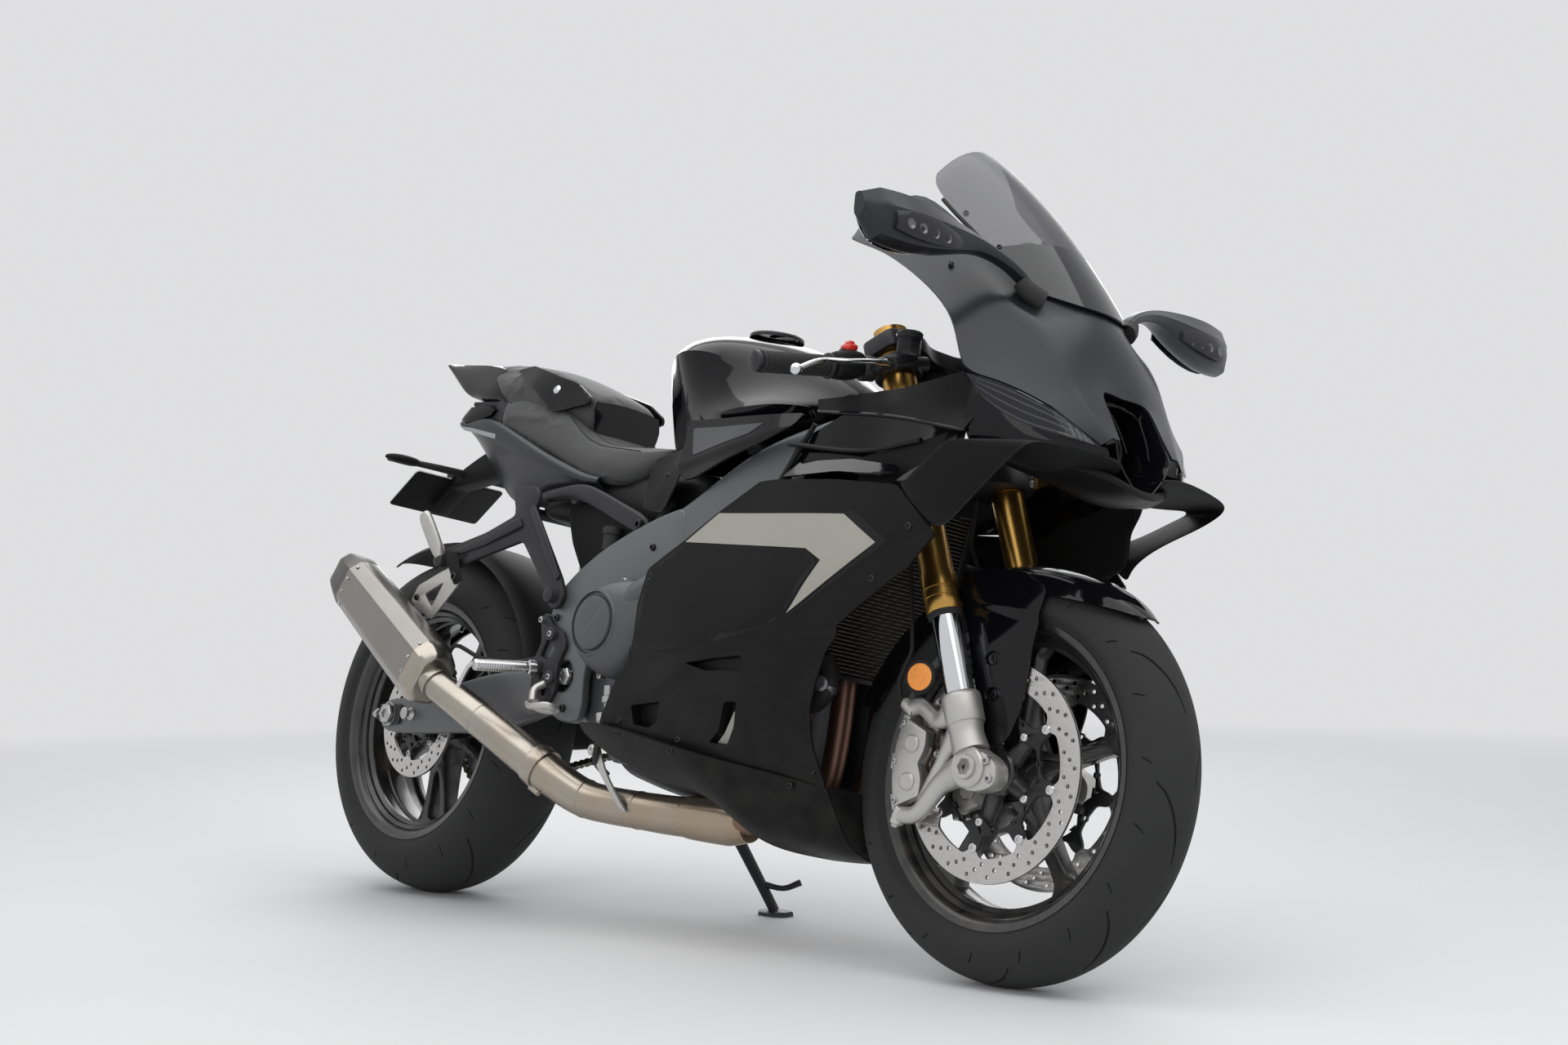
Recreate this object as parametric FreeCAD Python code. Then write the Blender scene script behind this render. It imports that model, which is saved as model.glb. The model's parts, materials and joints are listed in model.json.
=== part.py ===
"""Sport motorcycle parked on its side stand, as separate named pieces.

Every piece is modelled on the upright machine, in millimetres: x runs forward from the
rear wheel's contact point, y to the rider's left and z up. The last step leans the whole
machine onto its stand and puts the origin under the middle of its box.
"""
import FreeCAD
import Part
import math
import os

# Wheels
WHEELBASE = 1420.0
FRONT_X = 1420.0
REAR_X = FRONT_X - WHEELBASE
RIM_SEAT = 216.0
RIM_LIP = 9.5
FRONT_SECTION = 84.0
FRONT_TYRE_HALF = 60.0
REAR_SECTION = 99.0
REAR_TYRE_HALF = 90.0
TYRE_WALL = 9.0
SEAM_TURN = 17.0
RIM_WALL = 5.0
FRONT_RADIUS = RIM_SEAT + FRONT_SECTION
REAR_RADIUS = RIM_SEAT + REAR_SECTION
RIM_FLANGE = RIM_SEAT + RIM_LIP
FRONT_RIM_HALF = 50.5
REAR_RIM_HALF = 80.0
SPOKES = 5
AXLE_RADIUS = 12.5
RUNNING = 0.05
SEAT_GAP = 0.3

# Brakes
FRONT_DISC_RADIUS = RIM_SEAT - 56
FRONT_DISC_Y = 65.4
REAR_DISC_RADIUS = 110.0
REAR_DISC_Y = 78.0
DISC_THICK = 5.0
PAD_GAP = 2.0

# Steering
RAKE = 22.58
TRAIL = 94.0
FORK_SPREAD = 105.0
FORK_TUBE = 27.0
FORK_LEG = 21.5
TUBE_BOTTOM = 232.0
TUBE_TOP = 715.0
LOWER_YOKE = (478.0, 522.0)
UPPER_YOKE = (672.0, 700.0)
CLIP_ON = (634.0, 662.0)
STEM_RADIUS = 17.0
HEAD_TUBE_RADIUS = 34.0
HEAD_PLAY = 2.0
BAR_RADIUS = 11.0
GRIP_RADIUS = 16.5
STEERING_LOCK = 25.0

# Chassis
PIVOT = (505.0, 400.0)
PLATE_INNER = 128.0
PLATE_THICK = 18.0
PLATE_OUTER = PLATE_INNER + PLATE_THICK
ENGINE_HALF = PLATE_OUTER + 4
HANGER_INNER = PLATE_OUTER + 4
HANGER_THICK = 10.0
ARM_INNER = 97.5
ARM_OUTER = PLATE_INNER
AXLE_PLATE_OUTER = ARM_OUTER + 13
OUTPUT_SHAFT = (590.0, 385.0)
CHAIN_Y = 107.0
CHAIN_WIDTH = 17.0
CHAIN_HALF_HEIGHT = 6.5
REAR_PITCH_RADIUS = 108.6
FRONT_PITCH_RADIUS = 40.7
SPROCKET_THICK = 7.0

# Panels and the stand
PANEL = 4.0
SCREEN = 3.5
LEAN = 10.33
STAND_PIVOT = (620.0, 122.0, 248.0)
STAND_FOOT = (681.0, 250.0)
STAND_FOLDED = (-0.98, 0.08, -0.15)
STAND_FOLD = 90.0
STAND_ROD = 11.0
FOOT_HEIGHT = 9.0

SIDES = (("right", -1), ("left", 1))

def vec(x, y, z):
    """A point or a direction."""
    return FreeCAD.Vector(x, y, z)


def prism(outline, low, high):
    """Solid between two y values whose side view is an outline of (x, z) corners."""
    return plate_at([vec(x, low, z) for x, z in outline], high - low)


def plate_at(corners, thick):
    """Plate with these corners, all at one y, and its thickness along y."""
    return Part.Face(Part.makePolygon(corners + corners[:1])).extrude(vec(0, thick, 0))


def side_prism(side, outline, inner, outer):
    """A prism on one side of the machine, from its distance inside to that outside."""
    low, high = sorted((side * inner, side * outer))
    return prism(outline, low, high)


def loft(sections):
    """Ruled solid through closed flat polygons with the same number of corners."""
    wires = [Part.makePolygon(list(corners) + [corners[0]]) for corners in sections]
    return Part.makeLoft(wires, True, True)


def rod(start, end, radius):
    """Solid cylinder between two points."""
    return Part.makeCylinder(radius, start.distanceToPoint(end), start, end - start)


def ring(start, end, outer, inner):
    """Hollow cylinder between two points."""
    return rod(start, end, outer).cut(rod(start, end, inner))


def turned(profile, x, z):
    """Solid of revolution about a line along y; the profile is (y, radius) corners."""
    corners = [vec(x + radius, y, z) for y, radius in profile]
    face = Part.Face(Part.makePolygon(corners + corners[:1]))
    return face.revolve(vec(x, 0, z), vec(0, 1, 0), 360)


def box(x_range, y_range, z_range):
    """Box from three (low, high) ranges."""
    size = [high - low for low, high in (x_range, y_range, z_range)]
    return Part.makeBox(*size, vec(x_range[0], y_range[0], z_range[0]))


def mirrored(shape):
    """The same shape on the other side of the machine."""
    return shape.mirror(vec(0, 0, 0), vec(0, 1, 0))


def both_sides(shape):
    """A shape and its mirror image, as one list of solids."""
    return [shape, mirrored(shape)]


def fused(shapes):
    """One solid made of pieces that touch or overlap."""
    return shapes[0].multiFuse(shapes[1:]).removeSplitter()


def offset_line(points, distance):
    """Flat polyline moved sideways by a distance, to the right of its direction."""
    moved = []
    for index, (a, b) in enumerate(points):
        before = points[max(index - 1, 0)]
        after = points[min(index + 1, len(points) - 1)]
        da, db = after[0] - before[0], after[1] - before[1]
        length = math.hypot(da, db)
        moved.append((a + db / length * distance, b - da / length * distance))
    return moved


def bent_path(points, bend):
    """Straight runs joined by tangent arcs of one radius."""
    edges = []
    last = points[0]
    for before, corner, after in zip(points, points[1:], points[2:]):
        incoming = (corner - before).normalize()
        outgoing = (after - corner).normalize()
        turn = incoming.getAngle(outgoing)
        reach = bend * math.tan(turn / 2)
        start = corner - incoming * reach
        end = corner + outgoing * reach
        inward = (outgoing - incoming).normalize()
        middle = corner + inward * (bend / math.cos(turn / 2) - bend)
        edges.append(Part.LineSegment(last, start).toShape())
        edges.append(Part.Arc(start, middle, end).toShape())
        last = end
    edges.append(Part.LineSegment(last, points[-1]).toShape())
    return Part.Wire(edges)


def bent_tube(points, bend, radius):
    """Round bar swept along a bent path."""
    points = [vec(*point) for point in points]
    path = bent_path(points, bend)
    circle = Part.Circle(points[0], points[1] - points[0], radius)
    return path.makePipeShell([Part.Wire(circle.toShape())], True, False)


# ---------------------------------------------------------------- steering axis

RAKE_SIN = math.sin(math.radians(RAKE))
RAKE_COS = math.cos(math.radians(RAKE))
AXLE_OFFSET = FRONT_RADIUS * RAKE_SIN - TRAIL * RAKE_COS


def fork(along, ahead, y):
    """Point in the fork: along it from the axle, ahead of its tubes, and across."""
    return vec(FRONT_X - along * RAKE_SIN + ahead * RAKE_COS, y,
               FRONT_RADIUS + along * RAKE_COS + ahead * RAKE_SIN)


def fork_rod(start, end, ahead, y, radius):
    """Cylinder parallel to the fork tubes."""
    return rod(fork(start, ahead, y), fork(end, ahead, y), radius)


def fork_plate(outline, start, end):
    """Plate square to the fork tubes; its outline is (ahead, y) corners."""
    corners = [fork(start, ahead, y) for ahead, y in outline]
    face = Part.Face(Part.makePolygon(corners + corners[:1]))
    return face.extrude(fork(end, 0, 0) - fork(start, 0, 0))


def steering_axis():
    """A point on the steering axis and its direction, upright machine."""
    return fork(UPPER_YOKE[0], -AXLE_OFFSET, 0), vec(-RAKE_SIN, 0, RAKE_COS)


# ---------------------------------------------------------------- wheels

def tyre(x, radius, half, rim_half):
    """Open-bottomed tyre: a round tread, and side walls that end in the rim's seats."""
    centre = radius - half
    bead = RIM_SEAT + SEAT_GAP
    inside = rim_half - RIM_WALL - SEAT_GAP

    def arc(size, low, high, steps):
        angles = [low + (high - low) * k / steps for k in range(steps + 1)]
        return [(size * math.cos(math.radians(a)), centre + size * math.sin(math.radians(a)))
                for a in angles]

    outer = [(inside, bead), (inside, RIM_FLANGE + 3)]
    outer += arc(half, 0, 180, 12)
    outer += [(-inside, RIM_FLANGE + 3), (-inside, bead)]
    inner = [(-inside + TYRE_WALL, bead)]
    inner += arc(half - TYRE_WALL, 155, 25, 10)
    inner += [(inside - TYRE_WALL, bead)]
    whole = turned(outer + inner, x, radius)
    whole.rotate(vec(x, 0, radius), vec(0, 1, 0), SEAM_TURN)
    return whole


def rim(x, z, rim_half, hub_radius, hub_half, bore):
    """Wheel rim with a drop centre, a hub and tapered spokes."""
    well = RIM_SEAT - 24
    flange = rim_half - RIM_WALL
    barrel = turned([
        (-rim_half, RIM_FLANGE), (-flange, RIM_FLANGE), (-flange, RIM_SEAT),
        (-flange + 18, RIM_SEAT), (-flange + 30, well), (flange - 30, well),
        (flange - 18, RIM_SEAT), (flange, RIM_SEAT), (flange, RIM_FLANGE),
        (rim_half, RIM_FLANGE), (rim_half, RIM_SEAT - 7), (flange - 13, RIM_SEAT - 7),
        (flange - 26, well - 6), (-flange + 26, well - 6), (-flange + 13, RIM_SEAT - 7),
        (-rim_half, RIM_SEAT - 7)], x, z)
    hub = rod(vec(x, -hub_half, z), vec(x, hub_half, z), hub_radius)
    pieces = [barrel, hub]
    for index in range(SPOKES):
        spoke = loft([
            [vec(x + reach, y, z + rise) for y, rise in
             ((-deep, -wide), (deep, -wide), (deep, wide), (-deep, wide))]
            for reach, wide, deep in ((hub_radius - 8, 20, 22), (well - 3, 11, 15))])
        spoke.rotate(vec(x, 0, z), vec(0, 1, 0), 360 / SPOKES * index + 90)
        pieces.append(spoke)
    hole = rod(vec(x, -hub_half - 1, z), vec(x, hub_half + 1, z), bore)
    return fused(pieces).cut(hole)


def disc(x, z, y, outer, inner):
    """Flat brake disc or sprocket plate."""
    return ring(vec(x, y - DISC_THICK / 2, z), vec(x, y + DISC_THICK / 2, z), outer, inner)


FRONT_HUB_HALF = FRONT_DISC_Y - DISC_THICK / 2 - SEAT_GAP
CARRIER_OUTER = FRONT_DISC_RADIUS - 33.3
AXLE_BORE = AXLE_RADIUS + RUNNING


def front_discs():
    """Both front discs, each one with its carrier."""
    return both_sides(fused([
        disc(FRONT_X, FRONT_RADIUS, -FRONT_DISC_Y, FRONT_DISC_RADIUS, CARRIER_OUTER),
        disc(FRONT_X, FRONT_RADIUS, -FRONT_DISC_Y, CARRIER_OUTER, 30)]))


REAR_HUB_HALF = REAR_DISC_Y - DISC_THICK / 2 - SEAT_GAP
CARRIER_END = CHAIN_Y - SPROCKET_THICK / 2


def rear_point(y):
    """Point on the rear axle's line."""
    return vec(REAR_X, y, REAR_RADIUS)


def rear_sprocket():
    """Sprocket on its carrier, which seats on the left end of the rear hub."""
    radius = REAR_PITCH_RADIUS - CHAIN_HALF_HEIGHT - 1.1
    plate = rod(rear_point(CARRIER_END), rear_point(CARRIER_END + SPROCKET_THICK), radius)
    carrier = rod(rear_point(REAR_HUB_HALF + SEAT_GAP), rear_point(CARRIER_END), 58)
    hole = rod(rear_point(0), rear_point(150), AXLE_BORE)
    return fused([plate, carrier]).cut(hole)


# ---------------------------------------------------------------- steering parts

def yokes():
    """Upper and lower fork clamps; the lower one carries the steering stem."""
    edge = FORK_SPREAD + FORK_TUBE + 9
    stem_at = -AXLE_OFFSET
    outline = [(-34, -edge), (34, -edge), (36, -70), (16, -30), (16, 30), (36, 70),
               (34, edge), (-34, edge), (-36, 60), (stem_at - 32, 30),
               (stem_at - 32, -30), (-36, -60)]
    plates = []
    for low, high in (LOWER_YOKE, UPPER_YOKE):
        plate = fork_plate(outline, low, high)
        for _, side in SIDES:
            plate = plate.cut(fork_rod(low - 1, high + 1, 0, side * FORK_SPREAD,
                                       FORK_TUBE + RUNNING))
        plates.append(plate)
    lower = plates[0].fuse(fork_rod(LOWER_YOKE[0], UPPER_YOKE[1] + 4, stem_at, 0,
                                    STEM_RADIUS - RUNNING))
    upper = plates[1].cut(fork_rod(UPPER_YOKE[0] - 1, UPPER_YOKE[1] + 1, stem_at, 0,
                                   STEM_RADIUS))
    return [lower, upper]


def fork_tubes():
    """The two upper fork tubes."""
    return both_sides(fork_rod(TUBE_BOTTOM, TUBE_TOP, 0, -FORK_SPREAD, FORK_TUBE))


SPACER_RADIUS = 18.0
CASTING_TOP = 112.0
CALIPER = {"inner": FRONT_DISC_RADIUS - 48, "outer": FRONT_DISC_RADIUS + 18, "sweep": 50.0,
           "middle": 178.0, "half": 20.0}


def fork_legs():
    """Lower fork legs: bright tube, axle clamp and the two ears of the brake caliper."""
    leg = fork_rod(CASTING_TOP - 5, TUBE_BOTTOM - SEAT_GAP, 0, -FORK_SPREAD, FORK_LEG)
    socket = fork_rod(19, CASTING_TOP, 0, -FORK_SPREAD, FORK_LEG + 5)
    boss = rod(vec(FRONT_X, -FORK_SPREAD - 20, FRONT_RADIUS),
               vec(FRONT_X, -FORK_SPREAD + 19, FRONT_RADIUS), 28)
    pieces = [leg, socket, boss]
    y = -FRONT_DISC_Y - CALIPER["half"] - 9 - SEAT_GAP
    for angle, along in ((150, 96), (208, -2)):
        tip = radial(FRONT_X, FRONT_RADIUS, CALIPER["outer"] - 10, angle, y)
        pieces.append(rod(fork(along, 0, -FORK_SPREAD + 10.3), tip, 9))
    whole = fused(pieces)
    hole = rod(vec(FRONT_X, -200, FRONT_RADIUS), vec(FRONT_X, 0, FRONT_RADIUS), AXLE_BORE)
    room = rod(vec(FRONT_X, -FORK_SPREAD + 19, FRONT_RADIUS), vec(FRONT_X, 0, FRONT_RADIUS),
               SPACER_RADIUS + SEAT_GAP)
    return both_sides(whole.cut(hole).cut(room))


def radial(x, z, radius, angle, y):
    """Point at a radius and an angle from +x towards +z about a wheel's centre."""
    turn = math.radians(angle)
    return vec(x + radius * math.cos(turn), y, z + radius * math.sin(turn))


def caliper(x, z, disc_y, disc_radius, inner, outer, half, middle, sweep):
    """Brake caliper: a block swept about the axle, slotted for its disc."""
    gap = DISC_THICK / 2 + PAD_GAP
    bridge = disc_radius + 3
    section = [(disc_y - half, inner), (disc_y - gap, inner), (disc_y - gap, bridge),
               (disc_y + gap, bridge), (disc_y + gap, inner), (disc_y + half, inner),
               (disc_y + half, outer), (disc_y - half, outer)]
    corners = [vec(x + radius, y, z) for y, radius in section]
    face = Part.Face(Part.makePolygon(corners + corners[:1]))
    block = face.revolve(vec(x, 0, z), vec(0, 1, 0), sweep)
    block.rotate(vec(x, 0, z), vec(0, 1, 0), -middle - sweep / 2)
    return block


def front_calipers():
    """The two front brake calipers, behind the fork legs."""
    return both_sides(caliper(FRONT_X, FRONT_RADIUS, -FRONT_DISC_Y, FRONT_DISC_RADIUS,
                              CALIPER["inner"], CALIPER["outer"], CALIPER["half"],
                              CALIPER["middle"], CALIPER["sweep"]))


def front_axle():
    """Front axle with its two spacers."""
    shaft = rod(vec(FRONT_X, -FORK_SPREAD - 24, FRONT_RADIUS),
                vec(FRONT_X, FORK_SPREAD + 24, FRONT_RADIUS), AXLE_RADIUS)
    inner = FRONT_DISC_Y + DISC_THICK / 2 + 1
    spacer = rod(vec(FRONT_X, -FORK_SPREAD + 19 + SEAT_GAP, FRONT_RADIUS),
                 vec(FRONT_X, -inner, FRONT_RADIUS), SPACER_RADIUS)
    return fused([shaft, spacer, mirrored(spacer)])


FENDER_GAP = 12.0
FENDER_FROM = 60.0
FENDER_TO = 158.0


def front_fender():
    """Front mudguard: a channel round the tyre with an ear on each fork leg."""
    top = FRONT_RADIUS + FENDER_GAP
    edge, shoulder = FRONT_RADIUS - 38, FRONT_RADIUS - 8
    inner = [(-68, edge), (-64, shoulder), (-36, top - 3), (0, top), (36, top - 3),
             (64, shoulder), (68, edge)]
    outer = [(y + math.copysign(3, y), radius + 1) for y, radius in inner]
    outer[3] = (0, top + 3)
    outer[2] = (-37, top)
    outer[4] = (37, top)
    section = inner + outer[::-1]
    corners = [vec(FRONT_X + radius, y, FRONT_RADIUS) for y, radius in section]
    face = Part.Face(Part.makePolygon(corners + corners[:1]))
    shell = face.revolve(vec(FRONT_X, 0, FRONT_RADIUS), vec(0, 1, 0),
                         FENDER_TO - FENDER_FROM)
    shell.rotate(vec(FRONT_X, 0, FRONT_RADIUS), vec(0, 1, 0), -FENDER_TO)
    pieces = [shell]
    y = FORK_SPREAD - FORK_LEG - SEAT_GAP
    outline = [fork(110, -30, 0), fork(110, 45, 0), fork(225, 20, 0), fork(275, -6, 0),
               fork(275, -60, 0), fork(200, -75, 0)]
    for _, side in SIDES:
        pieces.append(plate_at([vec(p.x, side * 69, p.z) for p in outline], side * 4))
        for along in (135, 180):
            middle = fork(along, 0, 0)
            pieces.append(rod(vec(middle.x, side * 72, middle.z),
                              vec(middle.x, side * y, middle.z), 8))
    return fused(pieces)


BAR_END = (1124.0, 365.0, 853.0)


def bar_point(distance, side, ahead=0.0, up=0.0):
    """Point along a handlebar from its clamp, moved forward or up."""
    clamp = fork((CLIP_ON[0] + CLIP_ON[1]) / 2, 0, side * FORK_SPREAD)
    end = vec(BAR_END[0], side * BAR_END[1], BAR_END[2])
    point = clamp + (end - clamp).normalize() * distance
    return point + vec(ahead, 0, up)


BAR_LENGTH = 262.0
GRIP_SPAN = (128.0, 252.0)
SWITCH_SPAN = (76.0, 124.0)
BAR_BORE_DEPTH = 20.0
BAR_BORE = 4.0


def handlebars():
    """Clip-on handlebars: a clamp on each fork tube and a bar with a bored end."""
    solids = []
    for _, side in SIDES:
        clamp = ring(fork(CLIP_ON[0], 0, side * FORK_SPREAD), fork(CLIP_ON[1], 0, side * FORK_SPREAD),
                     FORK_TUBE + 9, FORK_TUBE + RUNNING)
        bar = rod(bar_point(FORK_TUBE + 4, side), bar_point(BAR_LENGTH, side), BAR_RADIUS)
        bore = rod(bar_point(BAR_LENGTH - BAR_BORE_DEPTH, side), bar_point(BAR_LENGTH + 1, side),
                   BAR_BORE)
        solids.append(fused([clamp, bar]).cut(bore))
    return solids


def grips():
    """Rubber grips round the ends of the bars."""
    return [ring(bar_point(GRIP_SPAN[0], side), bar_point(GRIP_SPAN[1], side),
                 GRIP_RADIUS, BAR_RADIUS + RUNNING) for _, side in SIDES]


def switch_housings():
    """Switch blocks inboard of the grips."""
    return [ring(bar_point(SWITCH_SPAN[0], side), bar_point(SWITCH_SPAN[1], side),
                 23, BAR_RADIUS + RUNNING) for _, side in SIDES]


LEVER_TIP = (1231.0, 370.0, 831.0)
LEVER_PERCH = (48.0, 70.0)


def hand_levers():
    """Brake and clutch levers, each one on its perch round the bar."""
    solids = []
    for _, side in SIDES:
        perch = ring(bar_point(LEVER_PERCH[0], side), bar_point(LEVER_PERCH[1], side),
                     19, BAR_RADIUS + RUNNING)
        pivot = bar_point(LEVER_PERCH[1] - 6, side, 46, 4)
        arm = rod(bar_point(LEVER_PERCH[0] + 11, side, 15, 1), pivot, 9)
        knee = bar_point(LEVER_PERCH[1] + 70, side, 62, 2)
        tip = vec(LEVER_TIP[0], side * LEVER_TIP[1], LEVER_TIP[2])
        blade = [rod(pivot, knee, 7), rod(knee, tip, 6), Part.makeSphere(9, tip),
                 Part.makeSphere(9, pivot), Part.makeSphere(7, knee)]
        solids.append(fused([perch, arm] + blade))
    return solids


RESERVOIR = {"radius": 19.0, "height": 36.0}


def master_cylinder():
    """Front brake master cylinder ahead of the right bar, with its round reservoir."""
    start = bar_point(18, -1, 54, 12)
    end = bar_point(56, -1, 53.1, 5.2)
    body = rod(start, end, 10)
    foot = (start + end) * 0.5 + vec(6, 0, 8)
    pot = rod(foot, foot + vec(0, 0, RESERVOIR["height"]), RESERVOIR["radius"])
    return fused([body, pot])


def brake_hoses():
    """Front brake hoses from the lower yoke down behind each fork leg to the caliper."""
    y = FORK_SPREAD
    start = fork(LOWER_YOKE[0] - 2, -30, 0)
    end = radial(FRONT_X, FRONT_RADIUS, CALIPER["outer"] + 1.6, 155, 0)
    lower = fork(275, -86, 0)
    points = [(start.x, -66, start.z), (start.x - 6, -70, start.z - 70),
              (lower.x + 7, -y + 14, 560), (lower.x + 17, -y + 22, 470),
              (end.x - 34, -FRONT_DISC_Y - 16, end.z + 34),
              (end.x, -FRONT_DISC_Y - 12, end.z)]
    return both_sides(bent_tube(points, 40, 3.5))


# ---------------------------------------------------------------- chassis

# Beam sections: x, inner and outer distance from the middle, bottom and top.
BEAM = ((1168, 12, 46, 785, 872), (1075, 66, 92, 735, 842), (900, 122, 144, 655, 775),
        (735, PLATE_INNER, PLATE_OUTER, 585, 670))
PIVOT_PLATE = ((740, 672), (625, 640), (520, 585), (455, 545), (440, 510), (446, 430),
               (462, 362), (500, 325), (560, 325), (578, 420), (640, 522), (740, 588))
RAIL = {"front": (640, PLATE_INNER + 9, 632), "elbow": (430, 118, 717.6), "rear": (240, 95, 707.4),
        "radius": 10}


# Cross tubes: x, z, half length and radius.
CROSS_TUBES = ((560, 600, PLATE_INNER + 4, 18), (516, 352, PLATE_INNER + 4, 10), (900, 780.4, 140, 9),
               (430, 717.6, 118, 10), (240, 707.4, 95, 10))
SHAFT_RADIUS = 12.0


def main_frame():
    """Twin-beam frame: head tube, beams, pivot plates, cross tubes and seat rails."""
    stem_at = -AXLE_OFFSET
    low, high = LOWER_YOKE[1] + HEAD_PLAY, UPPER_YOKE[0] - HEAD_PLAY
    pieces = [fork_rod(low, high, stem_at, 0, HEAD_TUBE_RADIUS)]
    for _, side in SIDES:
        pieces.append(loft([
            [vec(x, side * y, z) for y, z in
             ((inner, bottom), (outer, bottom), (outer, top), (inner, top))]
            for x, inner, outer, bottom, top in BEAM]))
        pieces.append(side_prism(side, PIVOT_PLATE, PLATE_INNER, PLATE_OUTER))
        front, elbow, rear = [vec(x, side * y, z) for x, y, z in
                              (RAIL["front"], RAIL["elbow"], RAIL["rear"])]
        pieces.append(rod(front, elbow, RAIL["radius"]))
        pieces.append(rod(elbow, rear, RAIL["radius"]))
        pieces.append(Part.makeSphere(RAIL["radius"], elbow))
    for x, z, half, radius in CROSS_TUBES:
        pieces.append(rod(vec(x, -half, z), vec(x, half, z), radius))
    whole = fused(pieces)
    stem_hole = fork_rod(low - 1, high + 1, stem_at, 0, STEM_RADIUS)
    pivot_hole = rod(vec(PIVOT[0], -200, PIVOT[1]), vec(PIVOT[0], 200, PIVOT[1]), SHAFT_RADIUS + SEAT_GAP)
    return whole.cut(stem_hole).cut(pivot_hole)


def engine_block():
    """Engine as one plain block: crankcase, cylinders and gearbox."""
    case = prism([(648, 262), (985, 255), (998, 520), (760, 540), (640, 500)], -ENGINE_HALF, ENGINE_HALF)
    cylinders = prism([(760, 500), (998, 500), (985, 676), (850, 676), (780, 600)], -104, 104)
    gearbox = prism([(536, 330), (655, 285), (655, 500), (536, 480)], -120, 92)
    shaft = rod(vec(OUTPUT_SHAFT[0], 80, OUTPUT_SHAFT[1]), vec(OUTPUT_SHAFT[0], 112, OUTPUT_SHAFT[1]),
                FRONT_PITCH_RADIUS - CHAIN_HALF_HEIGHT - SEAT_GAP)
    return fused([case, cylinders, gearbox, shaft])


def engine_covers():
    """Clutch cover on the right and sprocket cover on the left."""
    outer = ENGINE_HALF
    base = rod(vec(672, -outer - SEAT_GAP, 472), vec(672, -outer - 36, 472), 82)
    cap = rod(vec(640, -outer - 30, 484), vec(640, -outer - 60, 484), 50)
    neck = rod(vec(700, -outer - 30, 530), vec(700, -outer - 50, 530), 34)
    sprocket = rod(vec(582, 118, 385), vec(582, PLATE_INNER - 0.4, 385), 56)
    post = rod(vec(600, 92 + SEAT_GAP, 441), vec(600, 120, 441), 7)
    return [fused([base, cap, neck]), fused([sprocket, post])]


# Swingarm outline: distance ahead of the axle, and height over the line from axle to pivot.
SWINGARM_SIDE = ((400, 29.7), (330, 41.5), (240, 44.6), (60, 26.9), (-38, 31.4), (-38, -16.6),
                 (60, -41.1), (240, -63.4), (330, -64.5), (400, -62.3))
SPOOL = {"x": REAR_X + 62.0, "z": REAR_RADIUS + 3, "radius": 4.0, "depth": 18.0}


def swingarm():
    """Swingarm: pivot tube, cross body, and an arm each side that ends in an axle plate."""
    pieces = [rod(vec(PIVOT[0], -PLATE_INNER + 2, PIVOT[1]),
                  vec(PIVOT[0], CHAIN_Y - CHAIN_WIDTH / 2 - 4.5, PIVOT[1]), 27)]
    pieces.append(prism([(PIVOT[0] + 10, PIVOT[1] - 20), (PIVOT[0], PIVOT[1] + 24), (400, 424),
                         (345, 400), (345, 330), (400, 336)], -92, 92))
    rise = (PIVOT[1] - REAR_RADIUS) / (PIVOT[0] - REAR_X)
    outline = []
    for x, z in SWINGARM_SIDE:
        moved = x if x > 200 else x + REAR_X
        outline.append((moved, REAR_RADIUS + rise * (moved - REAR_X) + z))
    for _, side in SIDES:
        outer = AXLE_PLATE_OUTER
        inner = CHAIN_Y + CHAIN_WIDTH / 2 + 3.5
        arm = side_prism(side, outline, 80, outer)
        pocket = [(REAR_X + x, z) for x, z in
                  ((-60, 200), (126, 200), (150, 260), (150, 460), (-60, 460))]
        keep_out = side_prism(side, pocket, 60, inner)
        well = rod(rear_point(side * 70), rear_point(side * ARM_INNER), 335)
        trim = side_prism(side, [(REAR_X + 170, 200), (420, 200), (420, 460), (REAR_X + 170, 460)],
                          ARM_OUTER, outer + 1)
        pieces.append(arm.cut(keep_out).cut(well).cut(trim))
    whole = fused(pieces)
    axle_hole = rod(rear_point(-200), rear_point(200), AXLE_BORE)
    pivot_hole = rod(vec(PIVOT[0], -200, PIVOT[1]), vec(PIVOT[0], 200, PIVOT[1]),
                     SHAFT_RADIUS + RUNNING)
    whole = whole.cut(axle_hole).cut(pivot_hole)
    for _, side in SIDES:
        hole = rod(vec(SPOOL["x"], side * (AXLE_PLATE_OUTER - SPOOL["depth"]), SPOOL["z"]),
                   vec(SPOOL["x"], side * (AXLE_PLATE_OUTER + 1), SPOOL["z"]), SPOOL["radius"])
        whole = whole.cut(hole)
    return whole


def pivot_shaft():
    """Swingarm pivot shaft between the frame plates."""
    return rod(vec(PIVOT[0], -PLATE_OUTER, PIVOT[1]), vec(PIVOT[0], PLATE_OUTER, PIVOT[1]),
               SHAFT_RADIUS)


def rear_axle():
    """Rear axle with its nuts and the spacers between wheel and swingarm."""
    outer = AXLE_PLATE_OUTER
    plate = CHAIN_Y + CHAIN_WIDTH / 2 + 3.5
    pieces = [rod(rear_point(-outer - 14), rear_point(outer + 14), AXLE_RADIUS)]
    for _, side in SIDES:
        pieces.append(rod(rear_point(side * (outer + SEAT_GAP)), rear_point(side * (outer + 12)), 20))
    right = REAR_DISC_Y + DISC_THICK / 2 + 1
    left = CARRIER_END + SPROCKET_THICK + 1
    pieces.append(rod(rear_point(-plate + SEAT_GAP), rear_point(-right), 19))
    pieces.append(rod(rear_point(left), rear_point(plate - SEAT_GAP), 19))
    return fused(pieces)


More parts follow.
